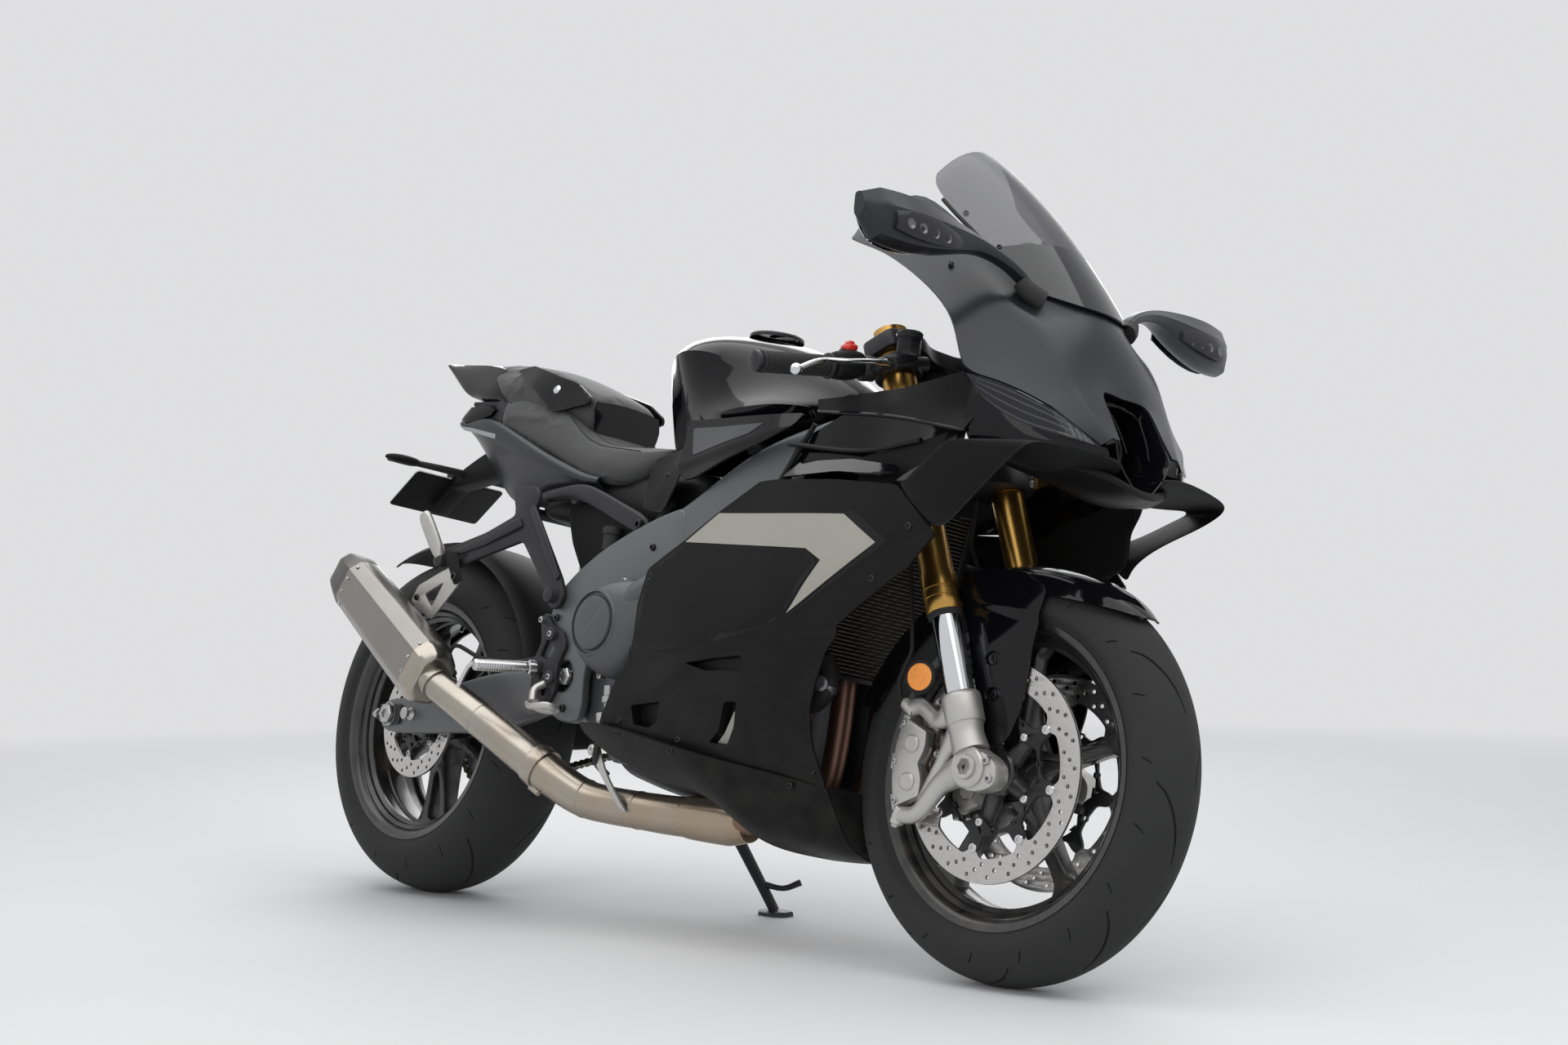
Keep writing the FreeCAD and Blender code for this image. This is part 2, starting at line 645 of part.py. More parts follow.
def rear_caliper():
    """Rear caliper above the axle, with the bracket that hangs it on the axle."""
    block = caliper(REAR_X, REAR_RADIUS, -REAR_DISC_Y, REAR_DISC_RADIUS, 74, 128, 17, 62, 40)
    y = -REAR_DISC_Y - 17
    bracket = prism([(REAR_X + x, REAR_RADIUS + z) for x, z in
                     ((-22, 24), (24, 22), (96, 76), (70, 112), (10, 110))], y - 9, y + 2)
    eye = rod(rear_point(y - 9), rear_point(y + 2), 34)
    hole = rod(rear_point(y - 10), rear_point(y + 3), 19 + RUNNING)
    return fused([block, bracket, eye.cut(hole)]).cut(hole)


def chain_loop(reach):
    """Side outline of the chain at a distance outside its pitch line, as one face."""
    rear = rear_point(0)
    front = vec(OUTPUT_SHAFT[0], 0, OUTPUT_SHAFT[1])
    line = front - rear
    span = line.Length
    slope = math.atan2(line.z, line.x)
    lean = math.acos((REAR_PITCH_RADIUS - FRONT_PITCH_RADIUS) / span)
    big = REAR_PITCH_RADIUS + reach
    small = FRONT_PITCH_RADIUS + reach

    def around(centre, radius, angle):
        return centre + vec(radius * math.cos(angle), 0, radius * math.sin(angle))

    top, bottom = slope + lean, slope - lean
    edges = [
        Part.LineSegment(around(rear, big, top), around(front, small, top)).toShape(),
        Part.Arc(around(front, small, top), around(front, small, slope),
                 around(front, small, bottom)).toShape(),
        Part.LineSegment(around(front, small, bottom), around(rear, big, bottom)).toShape(),
        Part.Arc(around(rear, big, bottom), around(rear, big, slope + math.pi),
                 around(rear, big, top)).toShape()]
    return Part.Face(Part.Wire(edges))


def chain():
    """Drive chain as one fixed loop round both sprockets."""
    band = chain_loop(CHAIN_HALF_HEIGHT).cut(chain_loop(-CHAIN_HALF_HEIGHT))
    band.translate(vec(0, CHAIN_Y - CHAIN_WIDTH / 2, 0))
    return band.extrude(vec(0, CHAIN_WIDTH, 0))


def shock_absorber():
    """Rear spring and damper between the swingarm and the upper cross tube."""
    foot = vec(466, 0, 430.6)
    head = vec(547, 0, 580)
    return fused([rod(foot, head, 12), rod(foot + (head - foot) * 0.15,
                                           foot + (head - foot) * 0.85, 30)])


# ---------------------------------------------------------------- cooling and exhaust

def radiator():
    """Radiator ahead of the engine, leaning back at its foot, with two mounting arms."""
    core = prism([(1060, 432), (1086, 426), (1142, 712), (1116, 718)], -150, 150)
    arms = []
    for _, side in SIDES:
        arms.append(rod(vec(989, side * 90, 640), vec(1108, side * 90, 640), 7))
        arms.append(rod(vec(1112, side * 148, 640), vec(1112, side * 225.9, 640), 6))
    return fused([core] + arms)


HEADER_RADIUS = 19.0
PIPE_RADIUS = 30.0
COLLECTOR_RADIUS = 36.0
PIPE_JOINT = (800.0, -84.0, 188.0)
PIPE_NEXT = (700.0, -100.0, 190.0)


def header_pipes():
    """Three exhaust headers from the cylinders down into one collector."""
    pieces = []
    for y in (-88, 0, 88):
        route = ((1006.9, y, 540), (1026, y, 528), (1030, y, 262),
                 (985, y * 0.75 - 14, 200), (880, -62 + y * 0.18, 188))
        pieces.append(bent_tube(route, 30, HEADER_RADIUS))
    joint, behind = vec(*PIPE_JOINT), vec(*PIPE_NEXT)
    pieces.append(rod(joint + (joint - behind) * 1.05, joint, COLLECTOR_RADIUS))
    return fused(pieces)


def mid_pipe():
    """Pipe from the collector along the right side up into the silencer."""
    joint, behind = vec(*PIPE_JOINT), vec(*PIPE_NEXT)
    start = joint + (behind - joint).normalize() * SEAT_GAP
    return bent_tube([tuple(start), PIPE_NEXT, (575, -118, 196), (500, -142, 232),
                      (229, -SILENCER["y"], 369)], 75, PIPE_RADIUS)


SILENCER = {"front": (222.0, 374.0), "rear": (-112.0, 573.0),
            "y": HANGER_INNER + HANGER_THICK + 52, "half_width": 44.0, "half_height": 58.0, "round": 24.0}


def silencer():
    """Silencer: an eight-sided can that rises to the rear."""
    front, rear = SILENCER["front"], SILENCER["rear"]
    along = vec(rear[0] - front[0], 0, rear[1] - front[1])
    length = along.Length
    along.normalize()
    up = vec(-along.z, 0, along.x) * -1
    if up.z < 0:
        up = up * -1
    wide, high, cut = SILENCER["half_width"], SILENCER["half_height"], SILENCER["round"]
    outline = [(-wide, -high + cut), (-wide + cut, -high), (wide - cut, -high),
               (wide, -high + cut), (wide, high - cut), (wide - cut, high),
               (-wide + cut, high), (-wide, high - cut)]
    sections = []
    for share, scale in ((0.0, 0.72), (0.07, 1.0), (0.9, 1.0), (1.0, 0.62)):
        middle = vec(front[0], -SILENCER["y"], front[1]) + along * (length * share)
        sections.append([middle + vec(0, a * scale, 0) + up * (b * scale) for a, b in outline])
    return loft(sections)


STAY = ((306, 736), (378, 728), (372, 700), (478, 560), (486, 528), (462, 516), (440, 540),
        (352, 640), (150, 585), (100, 588), (104, 620), (330, 680))


def passenger_footrests():
    """Hangers under the tail: a footrest each side; the right one also holds the silencer."""
    solids = []
    for _, side in SIDES:
        plate = side_prism(side, STAY, HANGER_INNER, HANGER_INNER + HANGER_THICK)
        boss = rod(vec(340, side * 118.3, 712), vec(340, side * (HANGER_INNER + 2), 712), 9)
        foot = rod(vec(463, side * (PLATE_OUTER + SEAT_GAP), 536),
                   vec(463, side * (HANGER_INNER + 2), 536), 12)
        peg = rod(vec(120, side * HANGER_INNER, 604), vec(82, side * 196, 690), 11)
        solids.append(fused([plate, boss, foot, peg]))
    return solids


def silencer_bracket():
    """Bright bracket from the right hanger to the silencer, with a three-cornered hole."""
    plate = side_prism(-1, [(128, 604), (150, 590), (128, 520), (90, 478), (28, 512), (70, 560)],
                       HANGER_INNER + HANGER_THICK + SEAT_GAP, HANGER_INNER + HANGER_THICK + 7.6)
    hole = side_prism(-1, [(60, 520), (100, 512), (104, 552)], 150, 170)
    return plate.cut(hole)


# ---------------------------------------------------------------- seat, tank and tail

def body_loft(stations):
    """Six-cornered body; each station is x, low half width and z, widest, and top."""
    sections = []
    for x, half_low, low, half_wide, wide, half_top, top in stations:
        half = [(half_low, low), (half_wide, wide), (half_top, top)]
        around = [(-y, z) for y, z in half] + [(y, z) for y, z in reversed(half)]
        sections.append([vec(x, y, z) for y, z in around])
    return loft(sections)


# Columns: x, low half width, low z, widest half width, its z, top half width, top z.
TANK = ((985, 60, 798, 112, 835, 62, 915), (900, 70, 790, 148, 855, 92, 972),
        (760, 70, 768, 150, 845, 96, 1006), (655, 60, 772, 118, 852, 90, 1010),
        (602, 46, 778, 80, 850, 74, 985))
RIDER_SEAT = ((601.5, 52, 780, 72, 792, 60, 822), (480, 96, 772.4, 122, 782, 96, 818),
              (370, 96, 790, 122, 802, 98, 838), (300, 80, 812, 102, 836, 84, 880))
PASSENGER_SEAT = ((298, 60, 868.8, 84, 884, 60, 922), (200, 66, 910.5, 92, 925, 70, 974),
                  (90, 60, 953.8, 84, 967, 62, 1006))
TAIL = ((560, 70, 742, 92, 752, 80, 772), (430, 88, 728, 121, 745, 100, 772),
        (300, 88, 722, 122, 770, 84, 806), (215, 74, 716, 108, 820, 70, 904),
        (88, 66, 838, 94, 905, 62, 954), (20, 62, 880, 88, 912, 58, 985),
        (-112, 40, 985, 58, 995, 40, 1010))


def fuel_tank():
    """Fuel tank under its cover, closed."""
    return body_loft(TANK)


def tank_side_covers():
    """Panels below the tank, one each side."""
    outline = [(765, 828), (972, 800), (1000, 752), (842, 716), (758, 742)]
    inner = PLATE_OUTER + 5
    cover = side_prism(-1, outline, inner, inner + 10)
    beam = 144 + (PLATE_OUTER - 144) * 20 / 165
    post = rod(vec(880, -beam - 0.56, 745), vec(880, -inner - 1, 745), 8)
    return both_sides(cover.fuse(post))


def tail_cowl():
    """Hollow tail body under the seats."""
    outer = body_loft(TAIL)
    inside = []
    for x, half_low, low, half_wide, wide, half_top, top in TAIL[1:-1]:
        inside.append((x, half_low - 5, low + 5, half_wide - 5, wide, half_top - 5, top - 5))
    return outer.cut(body_loft(inside))


# ---------------------------------------------------------------- rear end

def rear_lights():
    """Tail lamp under the tail's tip, and the two rear indicators on their stalks."""
    lamp = prism([(3.9, 892.3), (-46.2, 932.2), (-56, 920), (-5.8, 880.1)], -50, 50)
    solids = [lamp]
    for _, side in SIDES:
        stalk = rod(vec(-62, side * 21.1, 800), vec(-78, side * 118, 800), 6)
        pod = loft([[vec(-78 + dx * k, side * y, 800 + dz * k) for dx, dz in
                     ((-18, -4), (18, -10), (22, 0), (16, 12), (-18, 8))]
                    for y, k in ((112, 0.7), (150, 1.0), (188, 0.5))])
        solids.append(fused([stalk, pod]))
    return solids


def plate_hanger():
    """Arm under the tail that carries the number plate and the rear indicators."""
    return prism([(60, 854.4), (88, 837.2), (118, 808.3), (-40, 776), (-88, 770), (-150, 722), (-158, 732),
                  (-96, 786), (-60, 812), (-20, 830)], -20, 20)


def number_plate():
    """Blank number plate."""
    top, bottom = vec(-90, 0, 789), vec(-173, 0, 726)
    along = (bottom - top).normalize()
    out = vec(along.z, 0, -along.x)
    if out.x > 0:
        out = out * -1
    start = top + out * 1.6
    end = bottom + out * 1.6
    corners = [(start.x, start.z), (end.x, end.z), (end.x + out.x * 3, end.z + out.z * 3),
               (start.x + out.x * 3, start.z + out.z * 3)]
    return prism(corners, -105, 105)


# ---------------------------------------------------------------- fairing

# Right half sections of the nose: x, then four (distance from the middle, z) corners
# from the screen's edge down to the running light.
NOSE = ((1118, ((158, 1130), (165, 1118), (172, 1106), (180, 1092))),
        (1200, ((122, 1182), (144, 1150), (168, 1108), (190, 1060))),
        (1300, ((124, 1100), (152, 1074), (182, 1042), (206, 1003))),
        (1425, ((112, 992), (152, 962), (196, 915), (229, 850))),
        (1484, ((0, 982), (84, 952), (140, 898), (172, 822))),
        (1525, ((0, 874), (48, 868), (96, 846), (130, 802))),
        (1584, ((62, 790), (67, 785), (72, 779), (77, 772))))


def skin(stations, thick):
    """Panel of even thickness through sections across the machine, on the right side."""
    sections = []
    for x, corners in stations:
        outer = [(-y, z) for y, z in corners]
        inner = offset_line(outer, -thick)
        inner = [(min(y, 0.0), z) for y, z in inner]
        sections.append([vec(x, y, z) for y, z in outer + inner[::-1]])
    return loft(sections)


def upper_cowl():
    """Nose cowl round the screen's foot, with its two forward points."""
    half = skin(NOSE, PANEL)
    return fused([half, mirrored(half)])


# Screen rows: middle x and z, then the edge's x, half width and z.
SCREEN_ROWS = ((1485, 982.4, 1432, 112, 996.6), (1402, 1092, 1352, 122, 1068),
               (1312, 1188, 1276, 122, 1128), (1222, 1266, 1206, 116, 1188))


def windscreen():
    """Tall smoked screen, curved round the rider's side."""
    sections = []
    for x_mid, z_mid, x_edge, half, z_edge in SCREEN_ROWS:
        reach = vec(x_edge - x_mid, 0, z_edge - z_mid)
        inward = vec(reach.x, 0, reach.z).normalize() * SCREEN

        def row(shift):
            points = []
            for share, drop in ((-1, 1.0), (-0.62, 0.3), (0, 0), (0.62, 0.3), (1, 1.0)):
                y = share * (half - (SCREEN if shift.Length else 0) * abs(share))
                points.append(vec(x_mid, y, z_mid) + reach * drop + shift)
            return points

        sections.append(row(vec(0, 0, 0)) + row(inward)[::-1])
    return loft(sections)


def front_lights():
    """Headlamp in the nose intake and a slim running light under each side of the cowl."""
    foot = prism([(1504, 743.4), (1524, 743.4), (1524, 770), (1504, 770)], -9, 9)
    lamp = rod(vec(1500, 0, 790), vec(1542, 0, 784), 34).fuse(foot)
    back = vec(-8, 10, 0)
    strip = loft([[upper, lower, lower + back, upper + back] for upper, lower in
                  ((vec(1424, -225, 845.4), vec(1452, -198, 802)),
                   (vec(1578, -80, 769.4), vec(1568, -90, 752)))])
    return [lamp] + both_sides(strip)


def intake_duct():
    """Dark tunnel behind the nose, round the headlamp."""
    outer = loft([[vec(x, -half, low), vec(x, half, low), vec(x, half_top, high),
                   vec(x, -half_top, high)] for x, half, half_top, low, high in
                  ((1440, 70, 80, 752, 850), (1528, 58, 92, 733.4, 838))])
    inner = loft([[vec(x, -half, low), vec(x, half, low), vec(x, half_top, high),
                   vec(x, -half_top, high)] for x, half, half_top, low, high in
                  ((1445, 66, 76, 756, 846), (1529, 54, 88, 737.4, 834))])
    return outer.cut(inner)


def nose_chin():
    """Lower nose panel under the intake, between the winglets."""
    rows = ((-196, 1436, 1462, 764, 790), (-84, 1478, 1556, 722, 748), (0, 1492, 1574, 700, 722))
    half = loft([[vec(rear, y, low), vec(front, y, high - 16), vec(front, y, high),
                  vec(rear, y, low + 8)] for y, rear, front, low, high in rows])
    return fused([half, mirrored(half)])


def winglets():
    """Winglet each side of the nose: a blade and the strut under its tip."""
    blade = loft([[vec(rear, y, z - thick), vec(front, y, z - thick * 0.6), vec(front, y, z),
                   vec(rear, y, z + thick)] for y, rear, front, z, thick in
                  ((-86, 1486, 1566, 716, 4), (-190, 1506, 1556, 725.5, 4.5),
                   (-250, 1474, 1550, 731, 5))])
    strut = loft([[vec(rear, y, z), vec(front, y, z), vec(front, y + 9, z), vec(rear, y + 9, z)]
                  for y, rear, front, z in ((-254, 1478, 1546, 733), (-225.8, 1402, 1452, 652))])
    return both_sides(fused([blade, strut]))


# Side fairing sections from the top: rear x and z, distance out at the rear and the
# middle, front x and z, distance out at the front.
SIDE_FAIRING = ((1028, 705, 222, 229, 1484, 705, 197), (870, 613, 228, 233, 1426, 614, 224),
                (789, 569, 226, 234, 1355, 569, 225), (771, 513, 222, 232, 1267, 513, 224),
                (769, 447, 220, 230, 1190, 447, 215), (725, 385, 220, 226, 1153, 372, 196),
                (694, 322, 214, 212, 1120, 258, 128))
FRONT_STRIP = ((1330, 705, 218.6, 207.8, 1484, 705, 197),
               (1428, 757, 224, 206, 1512, 750, 184))


def fairing_half(rows):
    """Right-hand panel through rows that run from its rear edge to its front edge."""
    sections = []
    for x_rear, z_rear, out_rear, out_mid, x_front, z_front, out_front in rows:
        line = ((x_rear, out_rear, z_rear),
                ((x_rear + x_front) / 2, out_mid, (z_rear + z_front) / 2),
                (x_front, out_front, z_front))
        outer = [vec(x, -out, z) for x, out, z in line]
        inner = [vec(x, -out + PANEL, z) for x, out, z in line]
        sections.append(outer + inner[::-1])
    return loft(sections)


def side_fairings():
    """Large side panels, one each side, with the strip that rises to the nose."""
    panel = fairing_half(SIDE_FAIRING)
    strip = fairing_half(FRONT_STRIP)
    return both_sides(fused([panel, strip]))


def upper_side_fairings():
    """Long wedges under the handlebars and the dark duct panels inside them."""
    wedge = side_prism(-1, [(1133, 826), (1424, 848.3), (1430, 762), (1141, 808)], 224, 229)
    duct = side_prism(-1, [(1036, 716), (1322, 716), (1380, 790), (1150, 806), (1052, 770)], 180, 184)
    brace = side_prism(-1, [(1300, 770), (1330, 770), (1330, 800), (1300, 800)], 183, 225)
    return both_sides(fused([wedge, duct, brace]))


BELLY = ((660, ((197, 312), (196, 309), (194, 306), (192, 303))),
         (700, ((213.8, 319.3), (206, 302), (196, 284), (182, 268))),
         (817, ((212.6, 301.8), (203, 282), (190, 262), (170, 246))),
         (913, ((209.4, 287.3), (198, 264), (182, 244), (160, 228))),
         (960, ((191, 280.2), (184, 250), (170, 222), (148, 204))),
         (990, ((179, 275.7), (170, 232), (147, 190), (110, 163))),
         (1045, ((157, 267.5), (147, 220), (114, 172), (0, 150))),
         (1118, ((128.4, 256.5), (108, 204), (76, 166), (0, 152))))


def belly_pan():
    """Lower fairing: open under the exhaust and closed at the front."""
    half = skin(BELLY, PANEL)
    return fused([half, mirrored(half)])


# Mirror sections: distance out, rear x, front x, bottom and top.
MIRROR = ((116, 1416, 1436, 998.6, 1012), (200, 1392, 1420, 1034, 1056),
          (262, 1374, 1418, 1000, 1068), (400, 1368, 1404, 990, 1075),
          (432, 1368, 1384, 1036, 1055))


def mirrors():
    """Mirror each side, its arm and housing as one piece."""
    right = loft([[vec(rear, -out, bottom), vec(front, -out, bottom), vec(front, -out, top),
                   vec(rear, -out, top)] for out, rear, front, bottom, top in MIRROR])
    return both_sides(right)


def cowl_stay():
    """Stay from the head tube forward to the cowl, the mirrors and the instrument."""
    side_view = [(1198, 832), (1204, 868), (1262, 898), (1302, 960), (1253, 1020), (1259, 1040),
                 (1338, 968), (1400, 968), (1400, 950), (1330, 930), (1300, 880), (1240, 846)]
    spine = prism(side_view, -22, 22)
    bar = rod(vec(1392, -168.6, 959), vec(1392, 168.6, 959), 7)
    whole = fused([spine, bar])
    head = fork_rod(LOWER_YOKE[1], UPPER_YOKE[0], -AXLE_OFFSET, 0, HEAD_TUBE_RADIUS + SEAT_GAP)
    return whole.cut(head)


def instrument():
    """Instrument panel facing the rider."""
    return prism([(1226, 1006), (1250, 1012), (1272, 1086), (1248, 1092)], -76, 76)


# ---------------------------------------------------------------- feet and stand

FOOTREST = ((436, 368), (452, 350), (486, 356), (498, 400), (486, 470), (452, 478), (430, 420))


def footrests():
    """Rider's footrests on their brackets, with the brake pedal and the shift lever."""
    solids = []
    for _, side in SIDES:
        plate = side_prism(side, FOOTREST, PLATE_OUTER + SEAT_GAP, PLATE_OUTER + 10)
        peg = rod(vec(442, side * (PLATE_OUTER + 6), 412), vec(404, side * 262, 400), 9)
        lever = bent_tube([(470, side * (PLATE_OUTER + 5), 380), (470, side * (PLATE_OUTER + 26), 376),
                           (500, side * (PLATE_OUTER + 34), 352), (556, side * (PLATE_OUTER + 48), 350)],
                          9, 7)
        solids.append(fused([plate, peg, lever]))
    return solids


def ground_pose():
    """Placement that leans the upright machine until both tyres and the stand touch."""
    lean = math.radians(LEAN)
    lift = 1 - math.cos(lean)
    dip = math.asin((REAR_TYRE_HALF - FRONT_TYRE_HALF) * lift / (WHEELBASE * math.cos(lean)))
    turn = FreeCAD.Rotation(vec(1, 0, 0), -LEAN).multiply(
        FreeCAD.Rotation(vec(0, 1, 0), math.degrees(dip)))
    pose = FreeCAD.Placement(vec(0, 0, REAR_TYRE_HALF * lift), turn)
    return pose.multiply(FreeCAD.Placement(vec(-REAR_X, 0, 0), FreeCAD.Rotation()))


def stand_axis():
    """Stand's pivot point and the axis that folds it back under the left side."""
    pivot = vec(*STAND_PIVOT)
    lean = math.tan(math.radians(LEAN))
    foot = vec(STAND_FOOT[0], STAND_FOOT[1], STAND_FOOT[1] * lean)
    return pivot, (foot - pivot).cross(vec(*STAND_FOLDED)).normalize()


def stand_bracket():
    """Bracket under the gearbox that holds the side stand, with its pin."""
    pivot, axis = stand_axis()
    block = box((596, 636), (58, 104), (236, 291.4))
    neck = rod(pivot - axis * 34, pivot - axis * 9, 13)
    pin = rod(pivot - axis * 20, pivot + axis * 13, 6)
    head = rod(pivot + axis * 9, pivot + axis * 14, 10)
    return fused([block, neck, pin, head])


def side_stand():
    """Side stand: eye, leg and a foot that lies flat on the ground."""
    pivot, axis = stand_axis()
    pose = ground_pose()
    upright = pose.inverse()
    lean = math.tan(math.radians(LEAN))
    target = vec(STAND_FOOT[0], STAND_FOOT[1], STAND_FOOT[1] * lean)
    ground = pose.multVec(target)
    foot = Part.makeBox(62, 44, FOOT_HEIGHT, vec(ground.x - 26, ground.y - 22, 0))
    foot.transformShape(upright.toMatrix(), True)
    ankle = upright.multVec(vec(ground.x, ground.y, FOOT_HEIGHT - 2))
    eye = ring(pivot - axis * 8, pivot + axis * 8, 16, 6 + RUNNING)
    leg = rod(pivot + (ankle - pivot).normalize() * 15.5, ankle, STAND_ROD)
    keep = Part.makeBox(400, 400, 400, vec(ground.x - 200, ground.y - 200, 0))
    keep.transformShape(upright.toMatrix(), True)
    return fused([eye, leg.common(keep), foot])


# ---------------------------------------------------------------- the whole machine

def machine():
    """Every node of the machine and its solids, upright."""
    return {
        "front_tyre": [tyre(FRONT_X, FRONT_RADIUS, FRONT_TYRE_HALF, FRONT_RIM_HALF)],
        "front_rim": [rim(FRONT_X, FRONT_RADIUS, FRONT_RIM_HALF, 34, FRONT_HUB_HALF, AXLE_BORE)],
        "front_discs": front_discs(),
        "rear_tyre": [tyre(REAR_X, REAR_RADIUS, REAR_TYRE_HALF, REAR_RIM_HALF)],
        "rear_rim": [rim(REAR_X, REAR_RADIUS, REAR_RIM_HALF, 44, REAR_HUB_HALF, AXLE_BORE)],
        "rear_disc": [disc(REAR_X, REAR_RADIUS, -REAR_DISC_Y, REAR_DISC_RADIUS, 30)],
        "rear_sprocket": [rear_sprocket()],
        "yokes": yokes(),
        "fork_tubes": fork_tubes(),
        "fork_legs": fork_legs(),
        "front_calipers": front_calipers(),
        "front_axle": [front_axle()],
        "front_fender": [front_fender()],
        "handlebars": handlebars(),
        "grips": grips(),
        "switch_housings": switch_housings(),
        "hand_levers": hand_levers(),
        "master_cylinder": [master_cylinder()],
        "brake_hoses": brake_hoses(),
        "main_frame": [main_frame()],
        "engine_block": [engine_block()],
        "engine_covers": engine_covers(),
        "swingarm": [swingarm()],
        "pivot_shaft": [pivot_shaft()],
        "rear_axle": [rear_axle()],
        "rear_caliper": [rear_caliper()],
        "chain": [chain()],
        "shock_absorber": [shock_absorber()],
        "radiator": [radiator()],
        "header_pipes": [header_pipes()],
        "mid_pipe": [mid_pipe()],
        "silencer": [silencer()],
        "silencer_bracket": [silencer_bracket()],
        "passenger_footrests": passenger_footrests(),
        "fuel_tank": [fuel_tank()],
        "tank_side_covers": tank_side_covers(),
        "rider_seat": [body_loft(RIDER_SEAT)],
        "passenger_seat": [body_loft(PASSENGER_SEAT)],
        "tail_cowl": [tail_cowl()],
        "rear_lights": rear_lights(),
        "plate_hanger": [plate_hanger()],
        "number_plate": [number_plate()],
        "upper_cowl": [upper_cowl()],
        "windscreen": [windscreen()],
        "front_lights": front_lights(),
        "intake_duct": [intake_duct()],
        "nose_chin": [nose_chin()],
        "winglets": winglets(),
        "side_fairings": side_fairings(),
        "upper_side_fairings": upper_side_fairings(),
        "belly_pan": [belly_pan()],
        "mirrors": mirrors(),
        "cowl_stay": [cowl_stay()],
        "instrument": [instrument()],
        "footrests": footrests(),
        "stand_bracket": [stand_bracket()],
        "side_stand": [side_stand()],
    }


def row_placement(nodes):
    """Placement from the upright machine to the parked one, origin under its middle."""
    pose = ground_pose()
    whole = FreeCAD.BoundBox()
    for solids in nodes.values():
        for solid in solids:
            parked = solid.copy()
            parked.transformShape(pose.toMatrix(), True)
            whole.add(parked.optimalBoundingBox(False, False))
    shift = FreeCAD.Placement(vec(-whole.Center.x, -whole.Center.y, 0), FreeCAD.Rotation())
    return shift.multiply(pose)


def main():
    """Build every node and write one STEP file for each."""
    os.makedirs("parts", exist_ok=True)
    nodes = machine()
    matrix = row_placement(nodes).toMatrix()
    for name, solids in nodes.items():
        whole = []
        for solid in solids:
            for piece in solid.Solids:
                parked = piece.copy()
                parked.transformShape(matrix, True)
                whole.append(parked)
        shape = whole[0] if len(whole) == 1 else Part.makeCompound(whole)
        shape.exportStep(f"parts/{name}.step")
        print(name, len(whole), round(sum(piece.Volume for piece in whole) / 1000, 1),
              all(piece.isValid() for piece in whole))


main()
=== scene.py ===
"""Looks for a faired sport motorcycle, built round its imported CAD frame."""
from __future__ import annotations

import json
import logging
import math
from dataclasses import dataclass, field
from enum import Enum
from typing import Callable, Sequence

import bmesh
import bpy
import numpy as np
from mathutils import Matrix, Vector
from mathutils.bvhtree import BVHTree


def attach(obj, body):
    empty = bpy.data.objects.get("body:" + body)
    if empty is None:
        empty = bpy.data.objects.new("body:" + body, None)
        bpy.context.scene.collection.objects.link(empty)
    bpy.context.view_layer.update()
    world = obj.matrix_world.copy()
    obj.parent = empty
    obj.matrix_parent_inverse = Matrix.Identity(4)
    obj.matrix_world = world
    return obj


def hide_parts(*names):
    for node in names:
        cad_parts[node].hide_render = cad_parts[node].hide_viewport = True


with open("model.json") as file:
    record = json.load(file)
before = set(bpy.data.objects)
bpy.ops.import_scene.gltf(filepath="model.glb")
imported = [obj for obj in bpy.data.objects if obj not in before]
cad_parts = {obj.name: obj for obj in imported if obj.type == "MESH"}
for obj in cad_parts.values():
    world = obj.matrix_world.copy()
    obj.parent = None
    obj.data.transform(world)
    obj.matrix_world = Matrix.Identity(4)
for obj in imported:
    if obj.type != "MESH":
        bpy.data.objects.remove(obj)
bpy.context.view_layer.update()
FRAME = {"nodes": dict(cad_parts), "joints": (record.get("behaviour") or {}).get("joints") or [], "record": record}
LOG = logging.getLogger("sport_bike")

Point = Sequence[float]
Flat = Sequence[tuple[float, float]]
Colour = tuple[float, float, float]
Stations = Sequence[tuple[float, Flat]]

FRONT_X = 1420.0
FRONT_RADIUS = 300.0
REAR_RADIUS = 315.0
PIVOT = (505.0, 400.0)
RAKE = math.radians(22.58)
FORK_SPREAD = 105.0
STEM_BEHIND = 28.4
BEVEL_LIMIT = math.radians(32)
SOCKET_STEP = 15


class Body(Enum):
    """Bodies of the machine that a piece can ride on."""

    CHASSIS = "chassis"
    STEERING = "steering"
    FRONT_WHEEL = "front_wheel"
    REAR_WHEEL = "rear_wheel"
    STAND = "side_stand"


def machine_place() -> Matrix:
    """Placement of the upright machine, in millimetres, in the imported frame.

    Returns:
        The matrix that takes upright millimetres to the frame's metres.
    """
    joints = {joint["name"]: joint for joint in FRAME["joints"]}
    rear = Vector(joints["rear_wheel_spin"]["pos_m"])
    front = Vector(joints["front_wheel_spin"]["pos_m"])
    across = Vector(joints["rear_wheel_spin"]["axis"]).normalized()
    along = front - rear
    along = (along - across * along.dot(across)).normalized()
    over = along.cross(across)
    drop = math.atan2(FRONT_RADIUS - REAR_RADIUS, FRONT_X)
    ahead = along * math.cos(drop) - over * math.sin(drop)
    upward = along * math.sin(drop) + over * math.cos(drop)
    turn = Matrix((ahead, across, upward)).transposed()
    shift = rear - turn @ Vector((0, 0, REAR_RADIUS / 1000))
    return Matrix.Translation(shift) @ turn.to_4x4() @ Matrix.Scale(0.001, 4)


PLACE = machine_place()
SIDE_VIEW = Matrix(((1, 0, 0, 0), (0, 0, -1, 0), (0, 1, 0, 0), (0, 0, 0, 1)))


def fork(along: float, ahead: float, y: float) -> Vector:
    """Point in the fork: along it from the axle, ahead of its tubes, and across."""
    return Vector((FRONT_X - along * math.sin(RAKE) + ahead * math.cos(RAKE), y,
                   FRONT_RADIUS + along * math.cos(RAKE) + ahead * math.sin(RAKE)))


